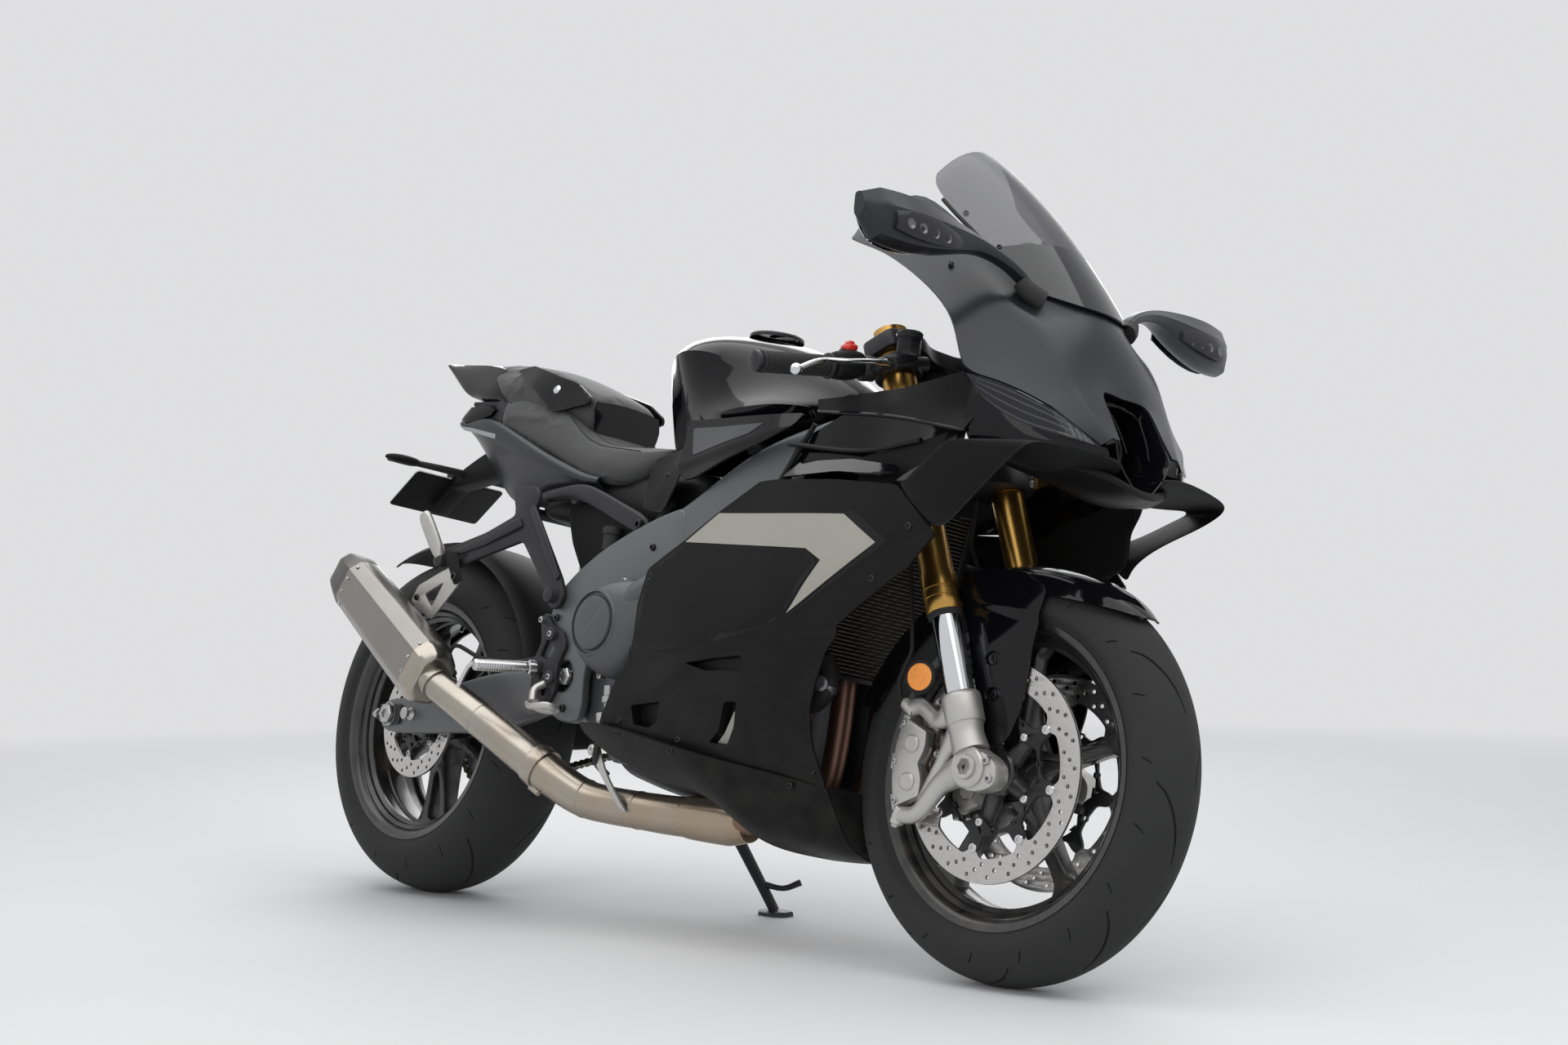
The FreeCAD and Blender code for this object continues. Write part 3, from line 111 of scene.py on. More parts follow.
def radial(x: float, z: float, radius: float, angle: float, y: float) -> Vector:
    """Point at a radius and an angle from ahead towards up about a wheel's centre."""
    turn = math.radians(angle)
    return Vector((x + radius * math.cos(turn), y, z + radius * math.sin(turn)))


def circle(x: float, z: float, radius: float, count: int = 24,
           start: float = 0.0) -> list[tuple[float, float]]:
    """Corners of a round outline in the side view.

    Args:
        x: Its middle along the machine.
        z: Its middle in height.
        radius: Its radius.
        count: Number of corners.
        start: Angle of the first corner, in radians.

    Returns:
        The corners, in order.
    """
    step = 2 * math.pi / count
    return [(x + radius * math.cos(start + k * step), z + radius * math.sin(start + k * step))
            for k in range(count)]


def curve_through(points: Sequence[Point], steps: int) -> list[Vector]:
    """Smooth line through points.

    Args:
        points: The points that the line passes.
        steps: Steps between two neighbours.

    Returns:
        The line's points, the given ones among them.
    """
    knots = [Vector(p) for p in points]
    knots = [knots[0] * 2 - knots[1]] + knots + [knots[-1] * 2 - knots[-2]]
    line = []
    for a, b, c, d in zip(knots, knots[1:], knots[2:], knots[3:]):
        for k in range(steps):
            t = k / steps
            line.append(((2 * b) + (c - a) * t + (2 * a - 5 * b + 4 * c - d) * t ** 2
                         + (3 * b - a - 3 * c + d) * t ** 3) / 2)
    return line + [knots[-2]]


class Draft:
    """Corners and faces of a piece while it is drawn, upright, in millimetres."""

    def __init__(self) -> None:
        """Start with nothing drawn."""
        self.points: list[Vector] = []
        self.faces: list[tuple[int, ...]] = []
        self.creases: dict[tuple[int, int], float] = {}

    def grid(self, rows: Sequence[Sequence[Point]], around: bool = False, loop: bool = False,
             ends: bool = False, crease_rows: Sequence[int] = (),
             crease_cols: Sequence[int] = (), crease: float = 1.0) -> Draft:
        """Add a sheet of quads through rows of points.

        Args:
            rows: Rows of the same number of points.
            around: Join each row's last point to its first.
            loop: Join the last row to the first.
            ends: Close the first and the last row with a face.
            crease_rows: Rows whose edges stay sharp when the sheet is smoothed.
            crease_cols: Columns whose edges stay sharp.
            crease: How sharp they stay, up to 1.

        Returns:
            This draft.
        """
        first, wide, tall = len(self.points), len(rows[0]), len(rows)
        for row in rows:
            self.points.extend(Vector(p) for p in row)

        def at(r: int, c: int) -> int:
            """Index of a point of the sheet."""
            return first + (r % tall) * wide + c % wide

        spans = range(wide if around else wide - 1)
        steps = range(tall if loop else tall - 1)
        self.faces += [(at(r, c), at(r, c + 1), at(r + 1, c + 1), at(r + 1, c))
                       for r in steps for c in spans]
        if ends:
            self.faces.append(tuple(at(0, c) for c in reversed(range(wide))))
            self.faces.append(tuple(at(tall - 1, c) for c in range(wide)))
        for r in crease_rows:
            for c in spans:
                self.creases[tuple(sorted((at(r, c), at(r, c + 1))))] = crease
        for c in crease_cols:
            for r in steps:
                self.creases[tuple(sorted((at(r, c), at(r + 1, c))))] = crease
        return self

    def turn(self, profile: Flat, centre: Point, axis: Point, steps: int = 48,
             start: float = 0.0, sweep: float = 360.0, closed: bool = False,
             ref: Point = (1, 0, 0)) -> Draft:
        """Add a turned shape.

        Args:
            profile: Pairs of distance along the axis and radius.
            centre: Point on the axis where the distance is nothing.
            axis: Direction of the axis.
            steps: Steps in the sweep.
            start: Angle at which the sweep starts, in degrees.
            sweep: Angle that it covers.
            closed: Join the profile's last pair to its first.
            ref: Direction of angle nothing.

        Returns:
            This draft.
        """
        middle, line = Vector(centre), Vector(axis).normalized()
        side = Vector(ref)
        side = side - line * side.dot(line)
        side = side.normalized() if side.length > 1e-3 else line.orthogonal().normalized()
        third = line.cross(side)
        full = abs(sweep) >= 359.9
        rows = []
        for k in range(steps if full else steps + 1):
            angle = math.radians(start + sweep * k / steps)
            out = side * math.cos(angle) + third * math.sin(angle)
            rows.append([middle + line * a + out * r for a, r in profile])
        return self.grid(rows, loop=full, around=closed)

    def tube(self, path: Sequence[Point], radii: float | Sequence[float], sides: int = 16,
             steps: int = 4, flat: float = 1.0) -> Draft:
        """Add a round bar along a smooth line, closed at its ends.

        Args:
            path: Points that the bar passes.
            radii: One radius, or one for each point.
            sides: Corners of its section.
            steps: Steps between two points of the path.
            flat: Height of the section as a share of its width.

        Returns:
            This draft.
        """
        given = [radii] * len(path) if isinstance(radii, (int, float)) else list(radii)
        line = curve_through(path, steps) if len(path) > 2 else [Vector(p) for p in path]
        steps = steps if len(path) > 2 else 1
        side = None
        rows = []
        for k, point in enumerate(line):
            ahead = (line[min(k + 1, len(line) - 1)] - line[max(k - 1, 0)]).normalized()
            if side is None:
                side = ahead.cross(Vector((0, 0, 1)))
                side = side if side.length > 0.1 else ahead.cross(Vector((0, 1, 0)))
            side = (side - ahead * side.dot(ahead)).normalized()
            up = side.cross(ahead)
            low = min(k // steps, len(given) - 2)
            share = k / steps - low
            size = given[low] * (1 - share) + given[low + 1] * share
            rows.append([point + side * (size * math.cos(2 * math.pi * c / sides))
                         + up * (size * flat * math.sin(2 * math.pi * c / sides))
                         for c in range(sides)])
        return self.grid(rows, around=True, ends=True)

    def add(self, other: Draft, matrix: Matrix | None = None) -> Draft:
        """Add a copy of another draft, moved by a matrix if one is given.

        Args:
            other: The draft that is copied.
            matrix: Where the copy goes.

        Returns:
            This draft.
        """
        first = len(self.points)
        self.points += [matrix @ p if matrix else p.copy() for p in other.points]
        self.faces += [tuple(first + i for i in face) for face in other.faces]
        self.creases.update({(first + a, first + b): c for (a, b), c in other.creases.items()})
        return self

    def both(self) -> Draft:
        """Add this draft's mirror image on the machine's other side.

        Returns:
            This draft.
        """
        image = Draft()
        image.points = [Vector((p.x, -p.y, p.z)) for p in self.points]
        image.faces = [tuple(reversed(face)) for face in self.faces]
        image.creases = dict(self.creases)
        return self.add(image)

    def mesh(self, name: str) -> bpy.types.Mesh:
        """Mesh of this draft, its faces turned outwards and its creases set.

        Args:
            name: The mesh's name.

        Returns:
            The mesh.
        """
        mesh = bpy.data.meshes.new(name)
        mesh.from_pydata([tuple(p) for p in self.points], [], self.faces)
        work = bmesh.new()
        work.from_mesh(mesh)
        layer = work.edges.layers.float.new("crease_edge")
        work.verts.ensure_lookup_table()
        for (a, b), value in self.creases.items():
            edge = work.edges.get((work.verts[a], work.verts[b]))
            if edge:
                edge[layer] = value
        bmesh.ops.remove_doubles(work, verts=work.verts, dist=0.01)
        bmesh.ops.recalc_face_normals(work, faces=work.faces)
        work.to_mesh(mesh)
        work.free()
        return mesh


def baked(piece: bpy.types.Object) -> bpy.types.Mesh:
    """Mesh of an object with its modifiers applied; the object goes.

    Args:
        piece: The object.

    Returns:
        The mesh.
    """
    bpy.context.view_layer.update()
    graph = bpy.context.evaluated_depsgraph_get()
    mesh = bpy.data.meshes.new_from_object(piece.evaluated_get(graph))
    mesh.name = piece.name
    bpy.data.objects.remove(piece)
    return mesh


def loose(name: str, data: bpy.types.ID) -> bpy.types.Object:
    """Object that holds a mesh or curve, linked to the scene.

    Args:
        name: The object's name.
        data: Its mesh or curve.

    Returns:
        The object.
    """
    piece = bpy.data.objects.new(name, data)
    bpy.context.scene.collection.objects.link(piece)
    return piece


def drafted(mesh: bpy.types.Mesh, matrix: Matrix | None = None) -> Draft:
    """Draft that copies a mesh's corners and faces, moved by a matrix if one is given.

    Args:
        mesh: The mesh.
        matrix: Where the copy goes.

    Returns:
        The draft.
    """
    draft = Draft()
    draft.points = [matrix @ v.co if matrix else v.co.copy() for v in mesh.vertices]
    draft.faces = [tuple(p.vertices) for p in mesh.polygons]
    return draft


def flat_fill(outline: Flat, holes: Sequence[Flat], extrude: float,
              bevel: float) -> bpy.types.Mesh:
    """Filled outline with holes, given a thickness and rounded edges.

    Args:
        outline: Corners of the outline.
        holes: Outlines of the holes.
        extrude: Half of the thickness.
        bevel: Radius of the edges.

    Returns:
        The mesh, in the plane of its first two coordinates.
    """
    curve = bpy.data.curves.new("outline", "CURVE")
    curve.dimensions = "2D"
    curve.fill_mode = "BOTH"
    for corners in (outline, *holes):
        spline = curve.splines.new("POLY")
        spline.points.add(len(corners) - 1)
        for knot, (a, b) in zip(spline.points, corners):
            knot.co = (a, b, 0, 1)
        spline.use_cyclic_u = True
    curve.extrude = max(extrude - bevel, 0.0)
    curve.bevel_depth = bevel
    curve.offset = -bevel
    curve.bevel_resolution = 1
    return baked(loose("outline", curve))


def plate(outline: Flat, low: float, high: float, holes: Sequence[Flat] = (),
          bevel: float = 1.0, matrix: Matrix = SIDE_VIEW) -> Draft:
    """Plate cut to a side-view outline.

    Args:
        outline: Corners, ahead and up.
        low: Where the plate starts across the machine.
        high: Where it ends.
        holes: Outlines of its holes.
        bevel: Radius of its edges.
        matrix: Plane of the outline, with its normal to the machine's right.

    Returns:
        The plate's draft.
    """
    mesh = flat_fill(outline, holes, abs(high - low) / 2, bevel)
    middle = Matrix.Translation((0, 0, -(low + high) / 2))
    return drafted(mesh, matrix @ middle)


def rounded(corners: Flat, radius: float, steps: int = 4) -> list[tuple[float, float]]:
    """Outline with its corners rounded off.

    Args:
        corners: The sharp corners in order.
        radius: How far from a corner the rounding starts, at most.
        steps: Steps in each rounding.

    Returns:
        The new corners.
    """
    line = []
    for k, (x, z) in enumerate(corners):
        here = Vector((x, z))
        before, after = Vector(corners[k - 1]), Vector(corners[(k + 1) % len(corners)])
        cut = min(radius, (before - here).length * 0.48, (after - here).length * 0.48)
        start = here + (before - here).normalized() * cut
        end = here + (after - here).normalized() * cut
        for s in range(steps + 1):
            t = s / steps
            p = start * (1 - t) ** 2 + here * (2 * t * (1 - t)) + end * t ** 2
            line.append((p.x, p.y))
    return line


@dataclass
class Relief:
    """Smooth distance out from the machine's middle over its side view."""

    points: Sequence[tuple[float, float, float]]
    dents: Sequence[Callable[[float, float], float]] = ()
    weights: np.ndarray = field(init=False)

    def __post_init__(self) -> None:
        """Solve for the thin plate through the points."""
        given = np.array(self.points, float)
        flat = given[:, :2] / 1000
        gap = np.linalg.norm(flat[:, None] - flat[None], axis=2)
        count = len(given)
        side = np.column_stack([np.ones(count), flat])
        whole = np.zeros((count + 3, count + 3))
        whole[:count, :count] = self.bend(gap) + np.eye(count) * 1e-4
        whole[:count, count:] = side
        whole[count:, :count] = side.T
        self.weights = np.linalg.solve(whole, np.append(given[:, 2], [0, 0, 0]))

    @staticmethod
    def bend(gap: np.ndarray) -> np.ndarray:
        """Thin plate's own curve of distance."""
        return gap ** 2 * np.log(np.maximum(gap, 1e-9))

    def at(self, x: float, z: float) -> float:
        """Distance out at a place in the side view.

        Args:
            x: Place along the machine.
            z: Height of the place.

        Returns:
            The distance, in millimetres.
        """
        flat = np.array([p[:2] for p in self.points]) / 1000
        gap = np.linalg.norm(flat - (x / 1000, z / 1000), axis=1)
        near = self.bend(gap) @ self.weights[:-3]
        out = near + self.weights[-3] + self.weights[-2] * x / 1000 + self.weights[-1] * z / 1000
        return float(out) + sum(dent(x, z) for dent in self.dents)


def step_across(a: tuple[float, float], b: tuple[float, float], deep: float,
                wide: float) -> Callable[[float, float], float]:
    """Dent that starts at a line in the side view and stays deep beyond it.

    Args:
        a: Where the line starts.
        b: Where it ends; the dent is on the right of the way from a to b.
        deep: How far out the surface moves beyond the line; below nothing goes in.
        wide: Width over which it moves.

    Returns:
        The dent as a function of the place.
    """
    length = math.hypot(b[0] - a[0], b[1] - a[1])

    def dent(x: float, z: float) -> float:
        """Height of the dent at a place.

        Args:
            x: Place along the machine.
            z: Height of the place.

        Returns:
            The height, in millimetres.
        """
        off = ((b[1] - a[1]) * (x - a[0]) - (b[0] - a[0]) * (z - a[1])) / length
        share = min(max(off / wide + 0.5, 0.0), 1.0)
        return deep * share * share * (3 - 2 * share)

    return dent


def shell(outline: Flat, relief: Relief | Callable[[float, float], float],
          holes: Sequence[Flat] = (), step: float = 14.0, lift: float = 0.0) -> Draft:
    """Sheet cut to a side-view outline and pushed out to a relief, on the right side.

    Args:
        outline: Corners, ahead and up.
        relief: Distance out at each place.
        holes: Outlines of its holes.
        step: Size of its cells.
        lift: How far it stands off the relief.

    Returns:
        The sheet's draft.
    """
    height = relief.at if isinstance(relief, Relief) else relief
    work = bmesh.new()
    work.from_mesh(flat_fill(outline, holes, 0.0, 0.0))
    for axis in (0, 1):
        values = [p[axis] for p in outline]
        place = math.floor(min(values) / step) * step + step / 2
        while place < max(values):
            normal = [0.0, 0.0, 0.0]
            normal[axis] = 1.0
            bmesh.ops.bisect_plane(work, geom=work.verts[:] + work.edges[:] + work.faces[:],
                                   plane_co=[place * n for n in normal], plane_no=normal)
            place += step
    for vert in work.verts:
        x, z = vert.co.x, vert.co.y
        vert.co = Vector((x, -height(x, z) - lift, z))
    mesh = bpy.data.meshes.new("sheet")
    work.to_mesh(mesh)
    work.free()
    return drafted(mesh)


def cut_away(body: Draft, tool: Draft) -> Draft:
    """Draft of a body with a tool's closed shapes cut out of it.

    Args:
        body: The body.
        tool: The shapes that are cut out.

    Returns:
        What is left of the body.
    """
    whole, knife = loose("whole", body.mesh("whole")), loose("knife", tool.mesh("knife"))
    change = whole.modifiers.new("cut", "BOOLEAN")
    change.object = knife
    change.solver = "EXACT"
    change.use_self = True
    result = drafted(baked(whole))
    bpy.data.objects.remove(knife)
    return result


def piece(name: str, draft: Draft, finish: Finish, replaces: Sequence[str] = (),
          slot: str = "", body: Body = Body.CHASSIS, smooth: int = 0, thick: float = 0.0,
          bevel: float = 0.0, angle: float = 35.0) -> bpy.types.Object:
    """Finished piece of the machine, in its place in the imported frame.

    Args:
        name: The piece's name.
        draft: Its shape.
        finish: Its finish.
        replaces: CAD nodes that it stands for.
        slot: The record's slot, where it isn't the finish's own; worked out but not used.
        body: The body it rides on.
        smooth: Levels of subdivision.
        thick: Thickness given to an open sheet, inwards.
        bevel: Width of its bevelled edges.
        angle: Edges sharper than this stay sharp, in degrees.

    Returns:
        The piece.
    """
    rough = loose(name + "_draft", draft.mesh(name))
    if smooth:
        change = rough.modifiers.new("smooth", "SUBSURF")
        change.levels = change.render_levels = smooth
        change.boundary_smooth = "PRESERVE_CORNERS"
    if thick:
        change = rough.modifiers.new("thick", "SOLIDIFY")
        change.thickness = thick
        change.offset = 0.0
        change.use_even_offset = False
    if bevel:
        change = rough.modifiers.new("bevel", "BEVEL")
        change.width = bevel
        change.segments = 2
        change.angle_limit = BEVEL_LIMIT
    mesh = baked(rough)
    mesh.name = name
    mesh.materials.clear()
    mesh.materials.append(finish.material())
    mesh.transform(PLACE)
    mesh.shade_smooth()
    mesh.set_sharp_from_angle(angle=math.radians(angle))
    made = loose(name, mesh)
    slot = slot or finish.slot
    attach(made, body.value)
    if replaces:
        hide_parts(*replaces)
    LOG.info("%s: %d faces on %s", name, len(mesh.polygons), body.value)
    return made


def socket(draft: Draft, at: Point, axes: Sequence[Vector],
           rings: Sequence[tuple[float, float, int]]) -> None:
    """Add a turned shape whose marked rings have six corners.

    Args:
        draft: The draft it joins.
        at: Its middle.
        axes: Its own axis, and the two across it.
        rings: Distance along the axis, radius, and 1 where it has six corners.
    """
    rows = []
    for turn in range(0, 360, SOCKET_STEP):
        angle = math.radians(turn)
        out = axes[1] * math.cos(angle) + axes[2] * math.sin(angle)
        flat = math.cos(math.radians(30)) / math.cos(math.radians(turn % 60 - 30))
        rows.append([Vector(at) + axes[0] * a + out * (r * (flat if h else 1))
                     for a, r, h in rings])
    draft.grid(rows, loop=True)


def ribbed(start: float, end: float, pitch: float,
           steps: Sequence[tuple[float, float]]) -> list[tuple[float, float]]:
    """Profile that repeats the same steps, (distance, radius), from start to before end."""
    count = math.ceil((end - start) / pitch)
    return [(start + pitch * k + a, r) for k in range(count) for a, r in steps]


def bolt(draft: Draft, at: Point, facing: Point, radius: float = 5.0,
         tall: float = 3.0) -> None:
    """Add a button-head bolt with a hexagon socket.

    Args:
        draft: The draft it joins.
        at: Middle of its seat.
        facing: Direction that its head faces.
        radius: Radius of its head.
        tall: Height of its head.
    """
    line = Vector(facing).normalized()
    side = line.orthogonal().normalized()
    rings = ((-1.0, 1.0, 0), (0.45, 1.0, 0), (0.85, 0.88, 0), (1.0, 0.66, 0), (1.0, 0.5, 1),
             (0.2, 0.5, 1), (0.2, 0.02, 1))
    socket(draft, at, (line * tall, side * radius, line.cross(side) * radius), rings)


class Effects(Enum):
    """Shader effects that several finishes share."""

    MOTTLE = "mottled_colour"
    GRAIN = "fine_grain"
    WEAR = "edge_wear"
    DUST = "road_dust"
    BRUSH = "brushed_lines"


class Net:
    """Nodes of one shader tree, added in few words."""

    def __init__(self, tree: bpy.types.NodeTree) -> None:
        """Work on a tree."""
        self.tree = tree

    def put(self, socket: bpy.types.NodeSocket, value: object) -> None:
        """Link a socket to another one, or give it a plain value.

        Args:
            socket: The socket that is fed.
            value: Another socket, or a plain value.
        """
        if isinstance(value, bpy.types.NodeSocket):
            self.tree.links.new(value, socket)
        elif isinstance(value, tuple) and len(value) == 3 and socket.type == "RGBA":
            socket.default_value = (*value, 1)
        else:
            socket.default_value = value

    def node(self, kind: str, inputs: dict[str | int, object] | None = None,
             **settings: object) -> bpy.types.Node:
        """New node.

        Args:
            kind: Its type, without the common prefix.
            inputs: Sockets or plain values, by input name or number.
            settings: Its own settings, by name.

        Returns:
            The node.
        """
        made = self.tree.nodes.new("ShaderNode" + kind)
        for key, value in settings.items():
            setattr(made, key, value)
        for key, value in (inputs or {}).items():
            self.put(made.inputs[key], value)
        return made

    def math(self, kind: str, *parts: object) -> bpy.types.NodeSocket:
        """Result of a math node over sockets or plain numbers."""
        return self.node("Math", dict(enumerate(parts)), operation=kind).outputs[0]

    def limit(self, value: bpy.types.NodeSocket, high: float = 1.0) -> bpy.types.NodeSocket:
        """Value held between nothing and a highest one."""
        return self.math("MINIMUM", self.math("MAXIMUM", value, 0.0), high)

    def mix(self, share: bpy.types.NodeSocket, low: object,
            high: object) -> bpy.types.NodeSocket:
        """Colour between two colours or colour sockets, by a share."""
        return self.node("Mix", {"Factor": share, 6: low, 7: high},
                         data_type="RGBA").outputs[2]

    def place(self) -> bpy.types.NodeSocket:
        """Place on the piece."""
        return self.node("TexCoord").outputs["Object"]

    def along(self, axis: str) -> bpy.types.NodeSocket:
        """Place along one axis."""
        return self.node("SeparateXYZ", {0: self.place()}).outputs[axis]

    def noise(self, scale: object, detail: float,
              stretch: bpy.types.NodeSocket | None = None) -> bpy.types.NodeSocket:
        """Noise that is fixed to the piece, and stretched along each axis if asked.

        Args:
            scale: Its scale, as a number or a socket.
            detail: Its levels of detail.
            stretch: Its scale along each axis.

        Returns:
            The noise's value.
        """
        spot = self.place()
        if stretch is not None:
            spot = self.node("VectorMath", {0: spot, 1: stretch},
                             operation="MULTIPLY").outputs[0]
        return self.node("TexNoise", {"Detail": detail, "Scale": scale,
                                      "Vector": spot}).outputs[0]

    def bump(self, height: bpy.types.NodeSocket, distance: float,
             strength: object) -> bpy.types.NodeSocket:
        """Normal of a relief."""
        return self.node("Bump", {"Distance": distance, "Strength": strength,
                                  "Height": height}).outputs[0]


BLANK = (0.0, 0.0, 0.0, 1.0)
DUST_COLOUR = (0.20, 0.18, 0.15)
SHEEN_ROUGHNESS = 0.6
GLOW_STRENGTH = 0.6
BRUSH_SPREAD = 0.12
FLAT_POINTINESS = 0.53
EDGE_GAIN = 9.0
EDGE_NOISE_SCALE = 60.0
DUST_NOISE_SCALE = 26.0
DUST_CLOUD_FLOOR = 0.34
DUST_CLOUD_GAIN = 2.4
DUST_MOST = 0.9
HEAT_WAVE_COUNT = 60.0
HEAT_WAVE_SHARE = 0.12
GRAIN_DEPTH = 0.0004
BRUSH_DEPTH = 0.00004
BRUSH_STRENGTH = 0.12
PATTERN_DEPTH = 0.002
CELL_RANDOMNESS = 0.15
DARKER_SHARE = 0.72
SOCKET_KINDS = {"RGBA": "Color", "VALUE": "Float", "VECTOR": "Vector"}


class Workshop:
    """Builds each shared shader effect once, as a node group."""

    def __init__(self) -> None:
        """Build every effect."""
        self.groups = {effect: make() for effect, make in zip(
            Effects, (self.mottle, self.grain, self.wear, self.dust, self.brush))}

    @staticmethod
    def start(effect: Effects,
              **inputs: object) -> tuple[Net, bpy.types.bpy_prop_collection]:
        """Group with its inputs.

        Args:
            effect: The effect that names the group.
            inputs: Plain values by input name, with _ for a space; a number makes a float
                input, three of them a vector and four a colour.

        Returns:
            The group's net and its input sockets.
        """
        net = Net(bpy.data.node_groups.new(effect.value, "ShaderNodeTree"))
        for name, value in inputs.items():
            kind = "Float" if isinstance(value, float) else "Color"
            kind = "Vector" if kind == "Color" and len(value) == 3 else kind
            socket = net.tree.interface.new_socket(name=name.replace("_", " "), in_out="INPUT",
                                                   socket_type="NodeSocket" + kind)
            socket.default_value = value
        return net, net.tree.nodes.new("NodeGroupInput").outputs

    @staticmethod
    def close(net: Net, **outputs: bpy.types.NodeSocket) -> bpy.types.NodeTree:
        """Give a group its outputs, by name, and return it.

        Args:
            net: The group's net.
            outputs: The sockets that leave it, by name.

        Returns:
            The group.
        """
        for name, value in outputs.items():
            net.tree.interface.new_socket(name=name, in_out="OUTPUT",
                                          socket_type="NodeSocket" + SOCKET_KINDS[value.type])
        end = net.tree.nodes.new("NodeGroupOutput")
        for name, value in outputs.items():
            net.put(end.inputs[name], value)
        return net.tree

    @staticmethod
    def drift(net: Net, noise: bpy.types.NodeSocket,
              given: bpy.types.bpy_prop_collection) -> bpy.types.NodeSocket:
        """Roughness that drifts round the given one."""
        off = net.math("MULTIPLY", net.math("SUBTRACT", noise, 0.5), given["Spread"])
        return net.math("ADD", off, given["Roughness"])

    def mottle(self) -> bpy.types.NodeTree:
        """Colour and roughness that drift over the surface.

        Returns:
            The group.
        """
        net, given = self.start(Effects.MOTTLE, Colour=BLANK, Other_Colour=BLANK, Scale=8.0,
                                Roughness=0.4, Spread=0.1)
        noise = net.noise(given["Scale"], 5.0)
        return self.close(net, Colour=net.mix(noise, given["Colour"], given["Other Colour"]),
                          Roughness=self.drift(net, noise, given), Mask=noise)

    def grain(self) -> bpy.types.NodeTree:
        """Fine relief of moulded or cast surfaces.

        Returns:
            The group.
        """
        net, given = self.start(Effects.GRAIN, Scale=900.0, Strength=0.2)
        return self.close(net, Normal=net.bump(net.noise(given["Scale"], 2.0), GRAIN_DEPTH,
                                               given["Strength"]))

    def wear(self) -> bpy.types.NodeTree:
        """Rubbed edges, lighter where the surface turns sharply outwards.

        Returns:
            The group.
        """
        net, given = self.start(Effects.WEAR, Colour=BLANK, Rubbed=(1.0, 1.0, 1.0, 1.0),
                                Amount=0.3)
        edge = net.math("SUBTRACT", net.node("NewGeometry").outputs["Pointiness"],
                        FLAT_POINTINESS)
        for part in (EDGE_GAIN, net.noise(EDGE_NOISE_SCALE, 6.0), given["Amount"]):
            edge = net.math("MULTIPLY", edge, part)
        edge = net.limit(edge)
        return self.close(net, Colour=net.mix(edge, given["Colour"], given["Rubbed"]),
                          Mask=edge)

    def dust(self) -> bpy.types.NodeTree:
        """Road dust that fades with height over the ground.

        Returns:
            The group.
        """
        net, given = self.start(Effects.DUST, Colour=BLANK, Roughness=0.5, Amount=0.3, Top=0.6)
        height = net.math("DIVIDE", net.along("Z"), given["Top"])
        low = net.math("MAXIMUM", net.math("SUBTRACT", 1.0, height), 0.0)
        cloud = net.math("SUBTRACT", net.noise(DUST_NOISE_SCALE, 9.0), DUST_CLOUD_FLOOR)
        cloud = net.math("MULTIPLY", cloud, DUST_CLOUD_GAIN)
        share = net.math("MULTIPLY", net.math("MULTIPLY", low, cloud), given["Amount"])
        share = net.limit(share, DUST_MOST)
        rough = net.math("ADD", net.math("MULTIPLY", share, 0.5), given["Roughness"])
        return self.close(net, Colour=net.mix(share, given["Colour"], DUST_COLOUR),
                          Roughness=rough)

    def brush(self) -> bpy.types.NodeTree:
        """Fine lines left by a brush, along the axis with the smallest stretch.

        Returns:
            The group.
        """
        net, given = self.start(Effects.BRUSH, Stretch=(1.0, 60.0, 60.0), Scale=12.0,
                                Roughness=0.3, Spread=0.25)
        noise = net.noise(given["Scale"], 4.0, given["Stretch"])
        return self.close(net, Mask=noise, Roughness=self.drift(net, noise, given),
                          Normal=net.bump(noise, BRUSH_DEPTH, BRUSH_STRENGTH))


SHOP = Workshop()


